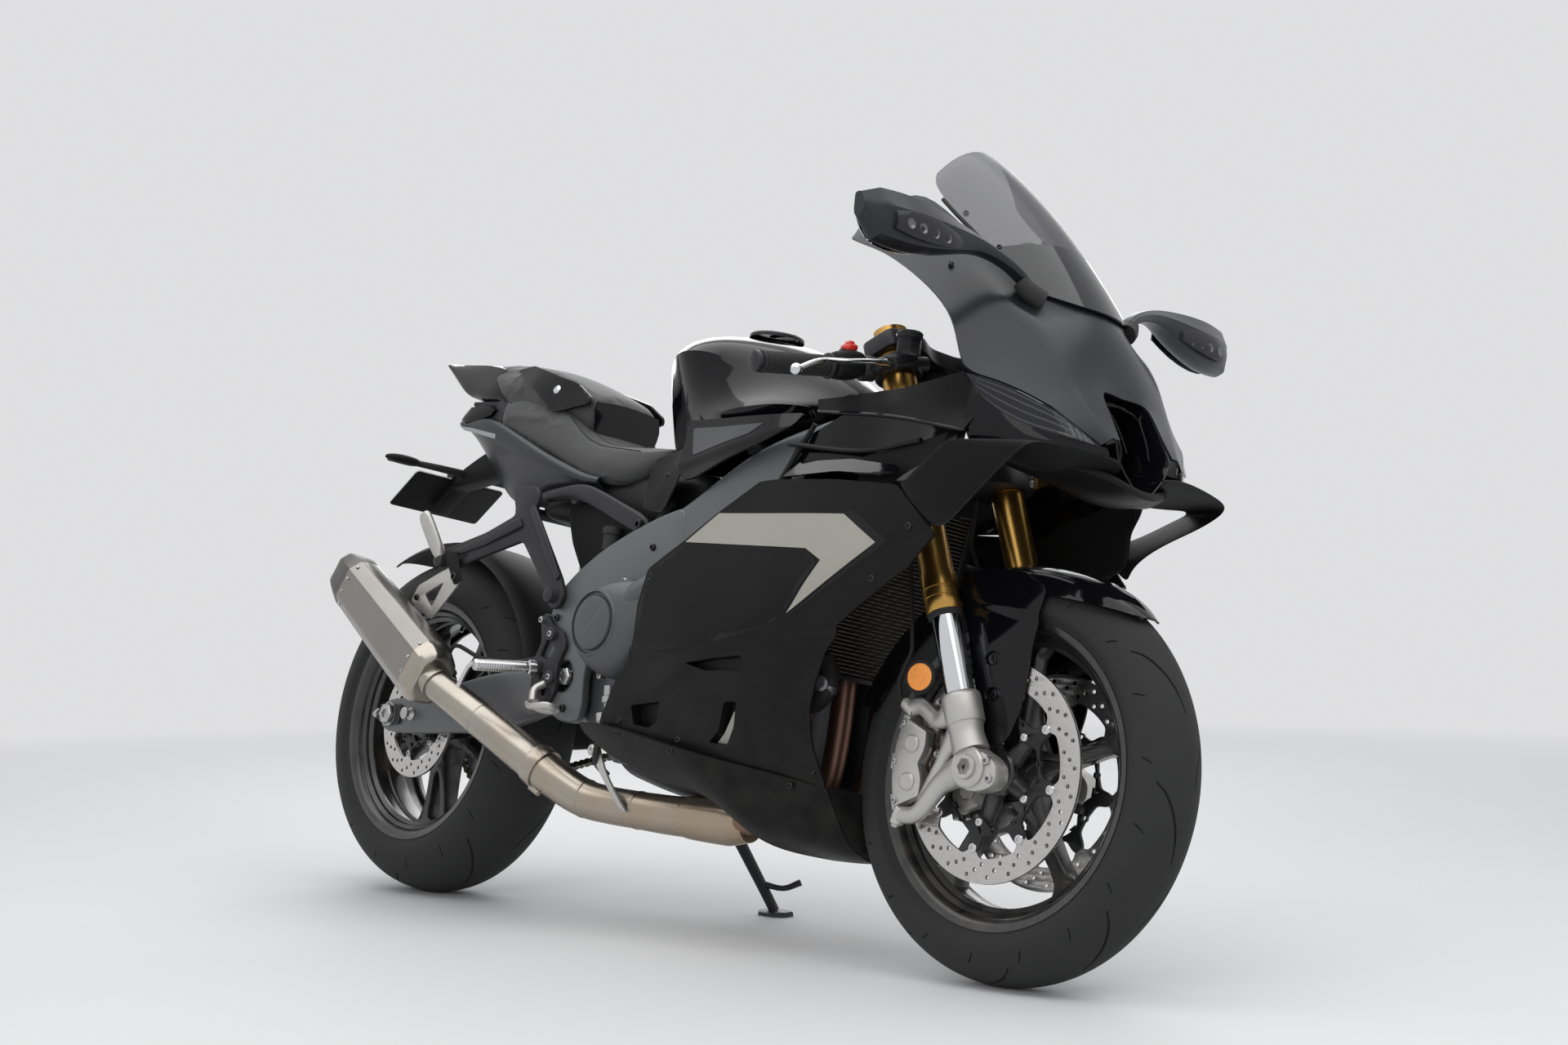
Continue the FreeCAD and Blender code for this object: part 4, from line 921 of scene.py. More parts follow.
@dataclass(frozen=True)
class Finish:
    """Surface finish: its colours, shine, relief, wear and dust, and the record's slot."""

    name: str
    slot: str
    colour: Colour
    rough: float
    other: Colour | None = None
    metal: float = 0.0
    coat: float = 0.0
    coat_rough: float = 0.05
    drift: float = 0.08
    drift_scale: float = 9.0
    grain: float = 0.0
    grain_scale: float = 900.0
    wear: float = 0.0
    rubbed: Colour = (0.35, 0.35, 0.36)
    dust: float = 0.0
    dust_top: float = 0.6
    lines: tuple[float, float, float] | None = None
    clear: float = 0.0
    glow: Colour | None = None
    sheen: float = 0.0
    spec: float = 0.5
    alpha: float = 1.0

    @staticmethod
    def group(net: Net, effect: Effects, **values: object) -> bpy.types.bpy_prop_collection:
        """Outputs of a shared effect; values go by input name, with _ for a space."""
        return net.node("Group", {key.replace("_", " "): value for key, value in
                                  values.items()}, node_tree=SHOP.groups[effect]).outputs

    def material(self) -> bpy.types.Material:
        """This finish as a material, made the first time it is asked for.

        Returns:
            The material.
        """
        found = bpy.data.materials.get(self.name)
        if found:
            return found
        made = bpy.data.materials.new(self.name)
        made.use_nodes = True
        net = Net(made.node_tree)
        shader = net.tree.nodes["Principled BSDF"].inputs
        for key, value in (("Metallic", self.metal), ("Coat Weight", self.coat),
                           ("Coat Roughness", self.coat_rough),
                           ("Transmission Weight", self.clear), ("Sheen Weight", self.sheen),
                           ("Sheen Roughness", SHEEN_ROUGHNESS),
                           ("Specular IOR Level", self.spec), ("Alpha", self.alpha)):
            net.put(shader[key], value)
        other = self.other or tuple(c * DARKER_SHARE for c in self.colour)
        look = self.group(net, Effects.MOTTLE, Colour=self.colour, Other_Colour=other,
                          Scale=self.drift_scale, Roughness=self.rough, Spread=self.drift)
        colour, rough = look["Colour"], look["Roughness"]
        if self.lines:
            look = self.group(net, Effects.BRUSH, Stretch=self.lines, Roughness=rough,
                              Spread=BRUSH_SPREAD)
            rough = look["Roughness"]
            net.put(shader["Normal"], look["Normal"])
        if self.wear:
            colour = self.group(net, Effects.WEAR, Colour=colour, Rubbed=self.rubbed,
                                Amount=self.wear)["Colour"]
        if self.dust:
            look = self.group(net, Effects.DUST, Colour=colour, Roughness=rough,
                              Amount=self.dust, Top=self.dust_top)
            colour, rough = look["Colour"], look["Roughness"]
        if self.grain:
            look = self.group(net, Effects.GRAIN, Scale=self.grain_scale, Strength=self.grain)
            net.put(shader["Normal"], look["Normal"])
        if self.glow:
            net.put(shader["Emission Color"], self.glow)
            net.put(shader["Emission Strength"], GLOW_STRENGTH)
        net.put(shader["Base Color"], self.detail(net, shader, colour))
        net.put(shader["Roughness"], rough)
        return made

    def detail(self, net: Net, shader: bpy.types.bpy_prop_collection,
               colour: bpy.types.NodeSocket) -> bpy.types.NodeSocket:
        """Base colour after this finish's own detail; the plain finish adds none."""
        return colour


@dataclass(frozen=True)
class HeatTinted(Finish):
    """Steel tube whose colour runs from bronze to straw along the machine."""

    hot: Colour = (0.36, 0.22, 0.12)
    hot_x: float = 0.35
    cool_x: float = -0.1

    def detail(self, net: Net, shader: bpy.types.bpy_prop_collection,
               colour: bpy.types.NodeSocket) -> bpy.types.NodeSocket:
        """Blend towards the hot colour by place along the machine.

        Args:
            net: The material's net.
            shader: The shader's inputs; not used here.
            colour: The colour so far.

        Returns:
            The blended colour.
        """
        ahead = net.along("X")
        span = net.node("MapRange", {"From Min": self.cool_x, "From Max": self.hot_x,
                                     "Value": ahead}).outputs[0]
        wave = net.math("SINE", net.math("MULTIPLY", ahead, HEAT_WAVE_COUNT))
        share = net.math("ADD", span, net.math("MULTIPLY", wave, HEAT_WAVE_SHARE))
        return net.mix(net.limit(share), colour, self.hot)


@dataclass(frozen=True)
class Patterned(Finish):
    """Finish with ribs, cells or fins pressed into it."""

    cells: bool = False
    rib_scale: float = 200.0
    deep: float = 0.5
    way: tuple[float, float, float] = (0.0, 0.0, 1.0)

    def detail(self, net: Net, shader: bpy.types.bpy_prop_collection,
               colour: bpy.types.NodeSocket) -> bpy.types.NodeSocket:
        """Press the pattern into the surface.

        Args:
            net: The material's net.
            shader: The shader's inputs.
            colour: The colour so far.

        Returns:
            The same colour.
        """
        if self.cells:
            height = net.node("TexVoronoi", {"Scale": self.rib_scale, "Vector": net.place(),
                                             "Randomness": CELL_RANDOMNESS},
                              feature="F1").outputs["Distance"]
        else:
            dot = net.node("VectorMath", {0: net.place(), 1: self.way},
                           operation="DOT_PRODUCT").outputs["Value"]
            height = net.math("SINE", net.math("MULTIPLY", dot, self.rib_scale))
        net.put(shader["Normal"], net.bump(height, PATTERN_DEPTH, self.deep))
        return colour


SATIN = Finish("satin_black_paint", "satin_black", (0.0072, 0.0070, 0.0074), 0.36, drift=0.05,
               coat=0.0, coat_rough=0.3, spec=0.14, grain=0.05, grain_scale=1600, dust=0.12,
               dust_top=0.5)
# Same satin black paint as the side panels, made lighter and bluer for the cowl, mirrors and tail: the extra
# lightness and blue are a painted lamp sheen.
COWL = Finish("satin_cowl_paint_painted_sheen", "satin_black", (0.013, 0.0137, 0.016), 0.30, spec=0.3,
              drift=0.05, coat=0.15, coat_rough=0.28, grain=0.04, grain_scale=1800)
GLOSS = Finish("gloss_black_paint", "gloss_black", (0.0035, 0.0035, 0.0045), 0.10, drift=0.03,
               spec=0.12, coat=0.35, coat_rough=0.03)
MATTE = Finish("matte_black_plastic", "matte_black", (0.010, 0.010, 0.0105), 0.55, spec=0.12,
               grain=0.3, grain_scale=700, wear=0.15)
DUCT = Finish("dark_inner_plastic", "matte_black", (0.006, 0.006, 0.0065), 0.5, spec=0.25,
              grain=0.2, grain_scale=600)
BAND = Finish("warm_grey_decal", "satin_black", (0.32, 0.315, 0.275), 0.45,
              other=(0.29, 0.285, 0.25), drift=0.05, grain=0.05, grain_scale=1500)
WHEEL = Finish("black_wheel_paint", "black_wheel", (0.012, 0.012, 0.013), 0.27, drift=0.08,
               coat=0.35, coat_rough=0.15, wear=0.12, dust=0.25, dust_top=0.5)
TYRE = Finish("tyre_rubber", "tyre_rubber", (0.017, 0.0165, 0.0165), 0.78,
              other=(0.030, 0.029, 0.028), spec=0.3, drift=0.15, drift_scale=30, grain=0.5,
              grain_scale=420, dust=0.55, dust_top=0.75)
DISC = Finish("ground_disc_steel", "disc_steel", (0.62, 0.61, 0.60), 0.3, other=(0.50, 0.49, 0.48),
              metal=1.0, drift=0.25, drift_scale=160, grain=0.15, grain_scale=1500)
CARRIER = Finish("black_disc_carrier", "black_alloy", (0.012, 0.012, 0.013), 0.4, metal=0.2,
                 wear=0.3)
GOLD = Finish("gold_anodised_tube", "gold_anodised", (0.60, 0.36, 0.10), 0.30,
              other=(0.50, 0.29, 0.075), metal=1.0, drift=0.08, drift_scale=20)
CHROME = Finish("chromed_tube", "cast_alloy", (0.84, 0.85, 0.87), 0.07, metal=1.0, drift=0.04)
CAST = Finish("silver_casting", "cast_alloy", (0.56, 0.555, 0.53), 0.42,
              other=(0.48, 0.475, 0.455), metal=0.85, drift=0.1, grain=0.25, grain_scale=900,
              wear=0.2, rubbed=(0.75, 0.75, 0.74))
POLISHED = Finish("polished_alloy", "cast_alloy", (0.78, 0.78, 0.79), 0.18, metal=1.0, drift=0.1)
ZINC = Finish("zinc_bolt", "cast_alloy", (0.55, 0.55, 0.54), 0.32, metal=1.0, drift=0.15,
              drift_scale=60)
BLACK_BOLT = Finish("black_bolt", "dark_steel", (0.03, 0.03, 0.032), 0.35, metal=0.8, wear=0.3)
ALLOY = Finish("satin_grey_alloy", "black_alloy", (0.145, 0.148, 0.155), 0.40,
               other=(0.125, 0.128, 0.135), metal=0.5, grain=0.1, grain_scale=1200, wear=0.15)
BLACK_ALLOY = Finish("satin_black_alloy", "black_alloy", (0.022, 0.022, 0.024), 0.42, metal=0.4,
                     grain=0.1, grain_scale=900, wear=0.25)
ENGINE = Finish("engine_casting", "engine_metal", (0.100, 0.102, 0.108), 0.42,
                other=(0.085, 0.087, 0.093), metal=0.5, grain=0.3, grain_scale=700, wear=0.2)
BARE_STEEL = HeatTinted("stainless_tube", "brushed_steel", (0.46, 0.43, 0.375), 0.27,
                        other=(0.35, 0.32, 0.28), metal=1.0, drift=0.18, drift_scale=14,
                        hot=(0.40, 0.30, 0.20), hot_x=0.42, cool_x=-0.35, grain=0.06,
                        grain_scale=1200)
HEADER = HeatTinted("bronzed_header", "bronze_steel", (0.30, 0.19, 0.13), 0.42,
                    other=(0.20, 0.13, 0.10), metal=0.9, drift=0.2, drift_scale=22,
                    hot=(0.22, 0.12, 0.09), hot_x=0.45, cool_x=0.2)
CAN = Finish("brushed_can", "brushed_steel", (0.30, 0.285, 0.265), 0.28, other=(0.25, 0.24, 0.225),
             metal=1.0, lines=(3.0, 60.0, 3.0))
DARK_CAN = Finish("dark_can_cap", "brushed_steel", (0.16, 0.155, 0.15), 0.4, metal=0.9, grain=0.2)
STEEL = Finish("dark_steel", "dark_steel", (0.16, 0.16, 0.165), 0.4, metal=0.9, drift=0.15,
               wear=0.2)
CHAIN_STEEL = Finish("chain_steel", "dark_steel", (0.28, 0.26, 0.22), 0.38, metal=1.0, drift=0.2,
                     drift_scale=90)
BRONZE = Finish("bronze_pad", "bronze_steel", (0.34, 0.22, 0.13), 0.5, metal=0.7, drift=0.2,
                drift_scale=80)
RUBBER = Finish("grip_rubber", "soft_rubber", (0.016, 0.016, 0.016), 0.7, grain=0.4,
                grain_scale=500)
SEAT = Finish("seat_vinyl", "seat_cover", (0.019, 0.019, 0.020), 0.58, drift=0.08, grain=0.55,
              grain_scale=620, sheen=0.15)
SCREEN = Finish("smoked_screen", "smoked_screen", (0.012, 0.013, 0.016), 0.04,
                other=(0.009, 0.010, 0.013), drift=0.01, alpha=0.66)
SCREEN_BAND = Finish("screen_band", "smoked_screen", (0.007, 0.0075, 0.009), 0.07, drift=0.02)
LENS = Finish("clear_lens", "lamp_lens", (0.86, 0.87, 0.88), 0.03, drift=0.01, clear=1.0)
SMOKED_LENS = Finish("smoked_lens", "lamp_lens", (0.04, 0.04, 0.045), 0.06, drift=0.02, alpha=0.36)
# Pale grey of the lamp strips, lightened to stand for their bright reflection: partly their own grey, partly a
# painted highlight.
STRIP = Finish("light_strip_painted_highlight", "lamp_lens", (0.34, 0.35, 0.37), 0.22, other=(0.26, 0.27, 0.29),
               drift=0.05)
REFLECTOR_CUP = Finish("lamp_reflector", "lamp_lens", (0.8, 0.8, 0.82), 0.12, metal=1.0,
                       drift=0.05)
ORANGE = Patterned("orange_reflector", "lamp_lens", (0.95, 0.34, 0.02), 0.12,
                   other=(0.75, 0.22, 0.01), coat=1.0, cells=True, rib_scale=330, deep=0.7)
# Fin colour lightened so the fins show inside the radiator's shade: the fins' own brown tone, with painted light
# on top.
FINS = Patterned("radiator_fins", "black_alloy", (0.36, 0.32, 0.26), 0.5, metal=0.25,
                 rib_scale=1400, deep=0.9)
RED = Finish("red_switch", "matte_black", (0.62, 0.03, 0.02), 0.35, drift=0.04)
WHITE = Finish("blank_plate_face", "blank_plate", (0.78, 0.78, 0.77), 0.3,
               other=(0.74, 0.74, 0.73), coat=0.3)
MIRROR_GLASS = Finish("mirror_glass", "lamp_lens", (0.86, 0.88, 0.90), 0.02, metal=1.0, drift=0.01)
RED_LENS = Finish("red_tail_lens", "lamp_lens", (0.45, 0.02, 0.02), 0.08, drift=0.03, coat=1.0,
                  glow=(0.12, 0.0, 0.0))
SCREEN_FACE = Finish("display_face", "gloss_black", (0.008, 0.009, 0.012), 0.08, drift=0.01,
                     coat=1.0)
GLAZE = Finish("grey_lens", "lamp_lens", (0.07, 0.073, 0.08), 0.12, other=(0.05, 0.05, 0.055),
               drift=0.1, coat=0.5)


@dataclass
class Wheel:
    """A tyre on a five-spoked rim, drawn about its axle."""

    label: str
    body: Body
    x: float
    z: float
    half: float
    crown: float
    middle: float
    rim_half: float
    hub_half: float
    hub_radius: float
    spoke: Sequence[tuple[float, float]]
    eye: Sequence[tuple[float, float]] = ()
    sets: int = 10
    first_spoke: float = 90.0

    def centre(self) -> Vector:
        """Middle of the axle."""
        return Vector((self.x, 0, self.z))

    def tread(self, turn: float, lean: float) -> tuple[Vector, Vector]:
        """Place on the tread.

        Args:
            turn: Angle about the axle, in degrees.
            lean: Angle from the crown towards a shoulder, in degrees.

        Returns:
            The point and the direction out of the rubber.
        """
        a, b = math.radians(turn), math.radians(lean)
        y = self.half * math.sin(b)
        radius = self.middle + self.crown * math.cos(b)
        across = math.sin(b) / self.half
        outward = math.cos(b) / self.crown
        facing = Vector((outward * math.cos(a), across, outward * math.sin(a))).normalized()
        return radial(self.x, self.z, radius, turn, y), facing

    def groove(self, way: Sequence[tuple[float, float]], turn: float, side: int,
               wide: float, deep: float) -> Draft:
        """Cutter for one groove.

        Args:
            way: Angles about the axle and from the crown that the groove follows.
            turn: Angle about the axle at which it starts.
            side: Shoulder that it runs to.
            wide: Its half width.
            deep: Its depth.

        Returns:
            The cutter's draft.
        """
        line = curve_through([(a, b, 0) for a, b in way], 3)
        places = [self.tread(turn + p.x, side * p.y) for p in line]
        rows = []
        for k, (point, facing) in enumerate(places):
            after, before = places[min(k + 1, len(places) - 1)][0], places[max(k - 1, 0)][0]
            across = facing.cross((after - before).normalized())
            size = wide * (0.35 + 0.65 * math.sin(math.pi * (k + 0.6) / (len(places) + 0.2)))
            rows.append([point + facing * 3 + across * size, point + facing * 3 - across * size,
                         point - facing * deep - across * size * 0.5,
                         point - facing * deep + across * size * 0.5])
        return Draft().grid(rows, around=True, ends=True)

    def tyre(self) -> Draft:
        """Tyre with its tread grooves cut in.

        Returns:
            The tyre.
        """
        bead = self.rim_half - 6
        low = [(bead, 217), (bead + 3, 222), (self.rim_half - 0.6, 228),
               (self.rim_half + (self.half - self.rim_half) * 0.55, 233)]
        if self.half - self.rim_half < 10:
            low[3] = (self.rim_half + (self.half - self.rim_half) * 0.5, 235)
        ridge = [(self.half - 2.2, self.middle - 3), (self.half - 1.2, self.middle - 1)]
        arc = []
        for k in range(33):
            angle = math.radians(3 + 174 * k / 32)
            arc.append((self.half * math.cos(angle),
                        self.middle + self.crown * math.sin(angle)))
        side = low + ridge
        profile = side + arc + [(-y, r) for y, r in reversed(side)]
        body = Draft().turn(profile, self.centre(), (0, -1, 0), steps=150, closed=True)
        knife = Draft()
        gap = 360 / self.sets
        for k in range(self.sets):
            for side_of, shift in ((1, 0.0), (-1, gap / 2)):
                turn = k * gap + shift
                knife.add(self.groove(((0, 5), (7, 13), (13, 25), (18, 39), (21, 53)), turn,
                                      side_of, 2.6, 3.5))
                knife.add(self.groove(((0, 57), (1.2, 65), (2.0, 73)), turn + 6, side_of,
                                      1.8, 2.5))
                knife.add(self.groove(((0, 60), (1.2, 67), (2.0, 74)), turn + 6 + gap / 2,
                                      side_of, 1.8, 2.5))
        return cut_away(body, knife)

    def barrel(self) -> Draft:
        """Rim with its lips, ledges and well.

        Returns:
            The rim.
        """
        w = self.rim_half
        right = [(w, 225.5), (w - 3.5, 225.5), (w - 5, 217.5), (w - 14, 214), (w - 26, 204)]
        under = [(w - 27, 196), (w - 20, 198.5), (w - 15, 205), (w - 8, 207.5), (w - 3.5, 212),
                 (w - 0.6, 217)]
        profile = right + [(-y, r) for y, r in reversed(right)]
        profile += [(-y, r) for y, r in reversed(under)] + under
        shape = Draft().turn(profile, self.centre(), (0, -1, 0), steps=120, closed=True)
        ledge = [(w - 24, 198), (w - 30, 190), (w - 34, 190.5), (w - 30, 200)]
        for side in (1, -1):
            shape.add(Draft().turn([(side * y, r) for y, r in ledge], self.centre(), (0, -1, 0),
                                   steps=120, closed=True))
        return shape

    def wide(self, radius: float, table: Sequence[tuple[float, float]]) -> float:
        """Half width of a spoke or its eye at a radius."""
        return float(np.interp(radius, [r for r, _ in table], [w for _, w in table]))

    def spider(self) -> Draft:
        """Spokes between the hub and the rim, cast in one.

        Returns:
            The spokes.
        """
        holes = []
        for k in range(5):
            start = self.first_spoke + 72 * k
            edge, back = [], []
            low, high = self.spoke[0][0], self.spoke[-1][0]
            for s in range(19):
                radius = low + (high - low) * s / 18
                turn = math.degrees(math.asin(self.wide(radius, self.spoke) / radius))
                edge.append((radius, start + turn))
                back.append((radius, start + 72 - turn))
            arc = [(high, edge[-1][1] + (back[-1][1] - edge[-1][1]) * s / 8) for s in range(1, 8)]
            inner = [(low, back[0][1] + (edge[0][1] - back[0][1]) * s / 4) for s in range(1, 4)]
            holes.append([(r * math.cos(math.radians(a)), r * math.sin(math.radians(a)))
                          for r, a in edge + arc + back[::-1] + inner])
            if self.eye:
                low, high = self.eye[0][0], self.eye[-1][0]
                loop = [(low + (high - low) * s / 14, 1) for s in range(15)]
                loop += [(r, -1) for r, _ in reversed(loop[1:-1])]
                eye = []
                for radius, side in loop:
                    turn = math.radians(start) + side * self.wide(radius, self.eye) / radius
                    eye.append((radius * math.cos(turn), radius * math.sin(turn)))
                holes.append(eye)
        shape = plate(circle(0, 0, 203, 120), -17, 17, holes, bevel=4.5)
        for point in shape.points:
            radius = math.hypot(point.x, point.z)
            point.y *= float(np.interp(radius, (40, 80, 150, 185, 203),
                                       (2.0, 1.35, 0.95, 1.0, 1.3)))
            point += self.centre()
        return shape

    def hub(self) -> Draft:
        """Turned hub round the bearings.

        Returns:
            The hub.
        """
        h, r = self.hub_half, self.hub_radius
        profile = [(h, r * 0.55), (h, r * 0.9), (h - 3, r), (h - 12, r), (h - 16, r * 0.86),
                   (30, r * 0.9), (24, r * 1.3)]
        whole = profile + [(-y, q) for y, q in reversed(profile)]
        return Draft().turn(whole, self.centre(), (0, -1, 0), steps=48, closed=True)

    def build(self) -> None:
        """Make the tyre and the rim."""
        piece(self.label + "_tyre_rubber", self.tyre(), TYRE, [self.label + "_tyre"],
              body=self.body, angle=28)
        rim = self.barrel().add(self.spider()).add(self.hub())
        valve = radial(self.x, self.z, 196, self.first_spoke + 36, -8)
        rim.tube([valve, radial(self.x, self.z, 176, self.first_spoke + 36, -12)], 3.4, 12)
        piece(self.label + "_rim_cast", rim, WHEEL, [self.label + "_rim"], body=self.body,
              angle=30)


@dataclass
class Disc:
    """Drilled brake disc with a carrier."""

    x: float
    z: float
    y: float
    outer: float
    inner: float
    thick: float
    lugs: int
    lug_radius: float
    first: float
    rows: Sequence[float]
    drills: int
    drill: float = 3.1

    def ring(self) -> Draft:
        """Drilled ring with a waved inner edge.

        Returns:
            The ring.
        """
        edge = []
        for k in range(180):
            turn = 2 * k
            off = min(abs((turn - self.first + 180 / self.lugs) % (360 / self.lugs)
                          - 180 / self.lugs), 9.0)
            dip = 0.5 + 0.5 * math.cos(math.pi * off / 9.0)
            radius = self.inner - (self.inner - self.lug_radius) * dip
            a = math.radians(turn)
            edge.append((self.x + radius * math.cos(a), self.z + radius * math.sin(a)))
        holes = [edge]
        for k in range(self.drills):
            turn = math.radians(360 * k / self.drills)
            radius = self.rows[k % len(self.rows)]
            holes.append(circle(self.x + radius * math.cos(turn),
                                self.z + radius * math.sin(turn), self.drill, 12))
        return plate(circle(self.x, self.z, self.outer, 128), self.y - self.thick / 2,
                     self.y + self.thick / 2, holes, bevel=0.5)

    def carrier(self, centre: float, bolts: int, bolt_radius: float,
                first_bolt: float) -> Draft:
        """Arms from the hub's bolts to the disc's lugs.

        Args:
            centre: Radius of the hole over the hub.
            bolts: Bolts on the hub.
            bolt_radius: Radius they stand on.
            first_bolt: Angle of the first one.

        Returns:
            The carrier's draft.
        """
        outline, holes = [], []
        pitch = 360 / self.lugs
        for k in range(self.lugs):
            turn = self.first + pitch * k
            for off, radius in ((-8, 0.84), (-5.5, 0.985), (-3.5, 1.05), (3.5, 1.05),
                                (5.5, 0.985), (8, 0.84), (pitch / 2, 0.79)):
                a = math.radians(turn + off)
                size = self.lug_radius * radius
                outline.append((self.x + size * math.cos(a), self.z + size * math.sin(a)))
            mid = self.lug_radius * 0.765
            for off, size, width in ((pitch / 2 - 2, mid, 5.2), (4, mid * 0.99, 6.5)):
                a = math.radians(turn + off)
                holes.append(circle(self.x + size * math.cos(a), self.z + size * math.sin(a),
                                    width, 3 if off < 10 else 16, a))
        lobes = []
        for k in range(90):
            turn = 4 * k
            off = abs((turn - first_bolt + 180 / bolts) % (360 / bolts) - 180 / bolts)
            dip = max(0.0, 1 - off / 17) ** 0.6
            radius = centre - (centre - bolt_radius + 9) * dip if dip else centre
            a = math.radians(turn)
            lobes.append((self.x + radius * math.cos(a), self.z + radius * math.sin(a)))
        return plate(rounded(outline, 5, 2), self.y - 3, self.y + 3, [lobes] + holes, bevel=0.8)

    def studs(self, side: int, count: int, radius: float, first: float, size: float,
              tall: float) -> Draft:
        """Round heads on a circle, facing out.

        Args:
            side: Side of the machine that they face.
            count: How many there are.
            radius: Radius of the circle.
            first: Angle of the first one.
            size: Radius of each head.
            tall: Height of each head.

        Returns:
            Their draft.
        """
        heads = Draft()
        for k in range(count):
            at = radial(self.x, self.z, radius, first + 360 * k / count,
                        self.y + side * self.thick / 2)
            bolt(heads, at, (0, side, 0), size, tall)
        return heads


@dataclass
class FrontWheel(Wheel):
    """Front wheel with its two floating discs."""

    disc_y: float = 65.4

    def build(self) -> None:
        """Make the wheel, its discs, carriers and bobbins."""
        super().build()
        for label, side in (("right", -1), ("left", 1)):
            disc = Disc(self.x, self.z, side * self.disc_y, 160, 124, 5, 8, 111, 35,
                        (132, 150, 141), 72)
            carrier = disc.carrier(84, 5, 74, 44)
            for k in range(5):
                arm = radial(self.x, self.z, 74, 44 + 72 * k, side * 50)
                carrier.tube([radial(self.x, self.z, 26, 44 + 72 * k, side * 46), arm],
                             (15, 9), 12)
                carrier.tube([arm, arm + Vector((0, side * 14, 0))], 8.5, 16)
            piece(f"front_disc_{label}", disc.ring(), DISC, ["front_discs"], body=self.body)
            piece(f"front_carrier_{label}", carrier, CARRIER, body=self.body)
            studs = disc.studs(side, 8, 112, 35, 7.2, 2.6)
            studs.add(disc.studs(side, 5, 74, 44, 6.2, 2.8))
            piece(f"front_bobbins_{label}", studs, POLISHED, body=self.body, angle=30)


@dataclass
class RearWheel(Wheel):
    """Rear wheel with its disc, sprocket and cush-drive hub."""

    disc_y: float = -78.0
    chain_y: float = 107.0
    pitch_radius: float = 108.6
    teeth: int = 43

    def sprocket(self) -> Draft:
        """Toothed plate with lightening holes.

        Returns:
            The plate.
        """
        outline = []
        for k in range(self.teeth):
            for off, radius in ((-0.34, -4.6), (-0.16, 3.4), (0.16, 3.4), (0.34, -4.6)):
                a = 2 * math.pi * (k + off) / self.teeth
                size = self.pitch_radius + radius
                outline.append((self.x + size * math.cos(a), self.z + size * math.sin(a)))
        holes = [circle(self.x, self.z, 44, 48)]
        for k in range(6):
            a = math.radians(60 * k)
            holes.append(circle(self.x + 82 * math.cos(a), self.z + 82 * math.sin(a), 13, 24))
        return plate(outline, self.chain_y - 3, self.chain_y + 3, holes, bevel=0.6)

    def build(self) -> None:
        """Make the wheel, its disc and its sprocket."""
        super().build()
        disc = Disc(self.x, self.z, self.disc_y, 110, 78, 5, 6, 66, 20, (86, 102, 94), 48)
        piece("rear_disc_ring", disc.ring(), DISC, ["rear_disc"], body=self.body)
        carrier = disc.carrier(44, 6, 40, 20)
        piece("rear_disc_carrier", carrier, CARRIER, body=self.body)
        piece("rear_disc_studs", disc.studs(-1, 6, 67, 20, 6, 3), ZINC, body=self.body)
        piece("rear_sprocket_ring", self.sprocket(), STEEL, ["rear_sprocket"], body=self.body)
        cup = Draft().turn([(-103, 20), (-103, 56), (-96, 60), (-74, 60), (-70, 40)],
                           self.centre(), (0, -1, 0), 48)
        for k in range(6):
            bolt(cup, radial(self.x, self.z, 56, 30 + 60 * k, 110), (0, 1, 0), 6, 4)
        piece("cush_drive_hub", cup, ALLOY, slot="dark_steel", body=self.body)


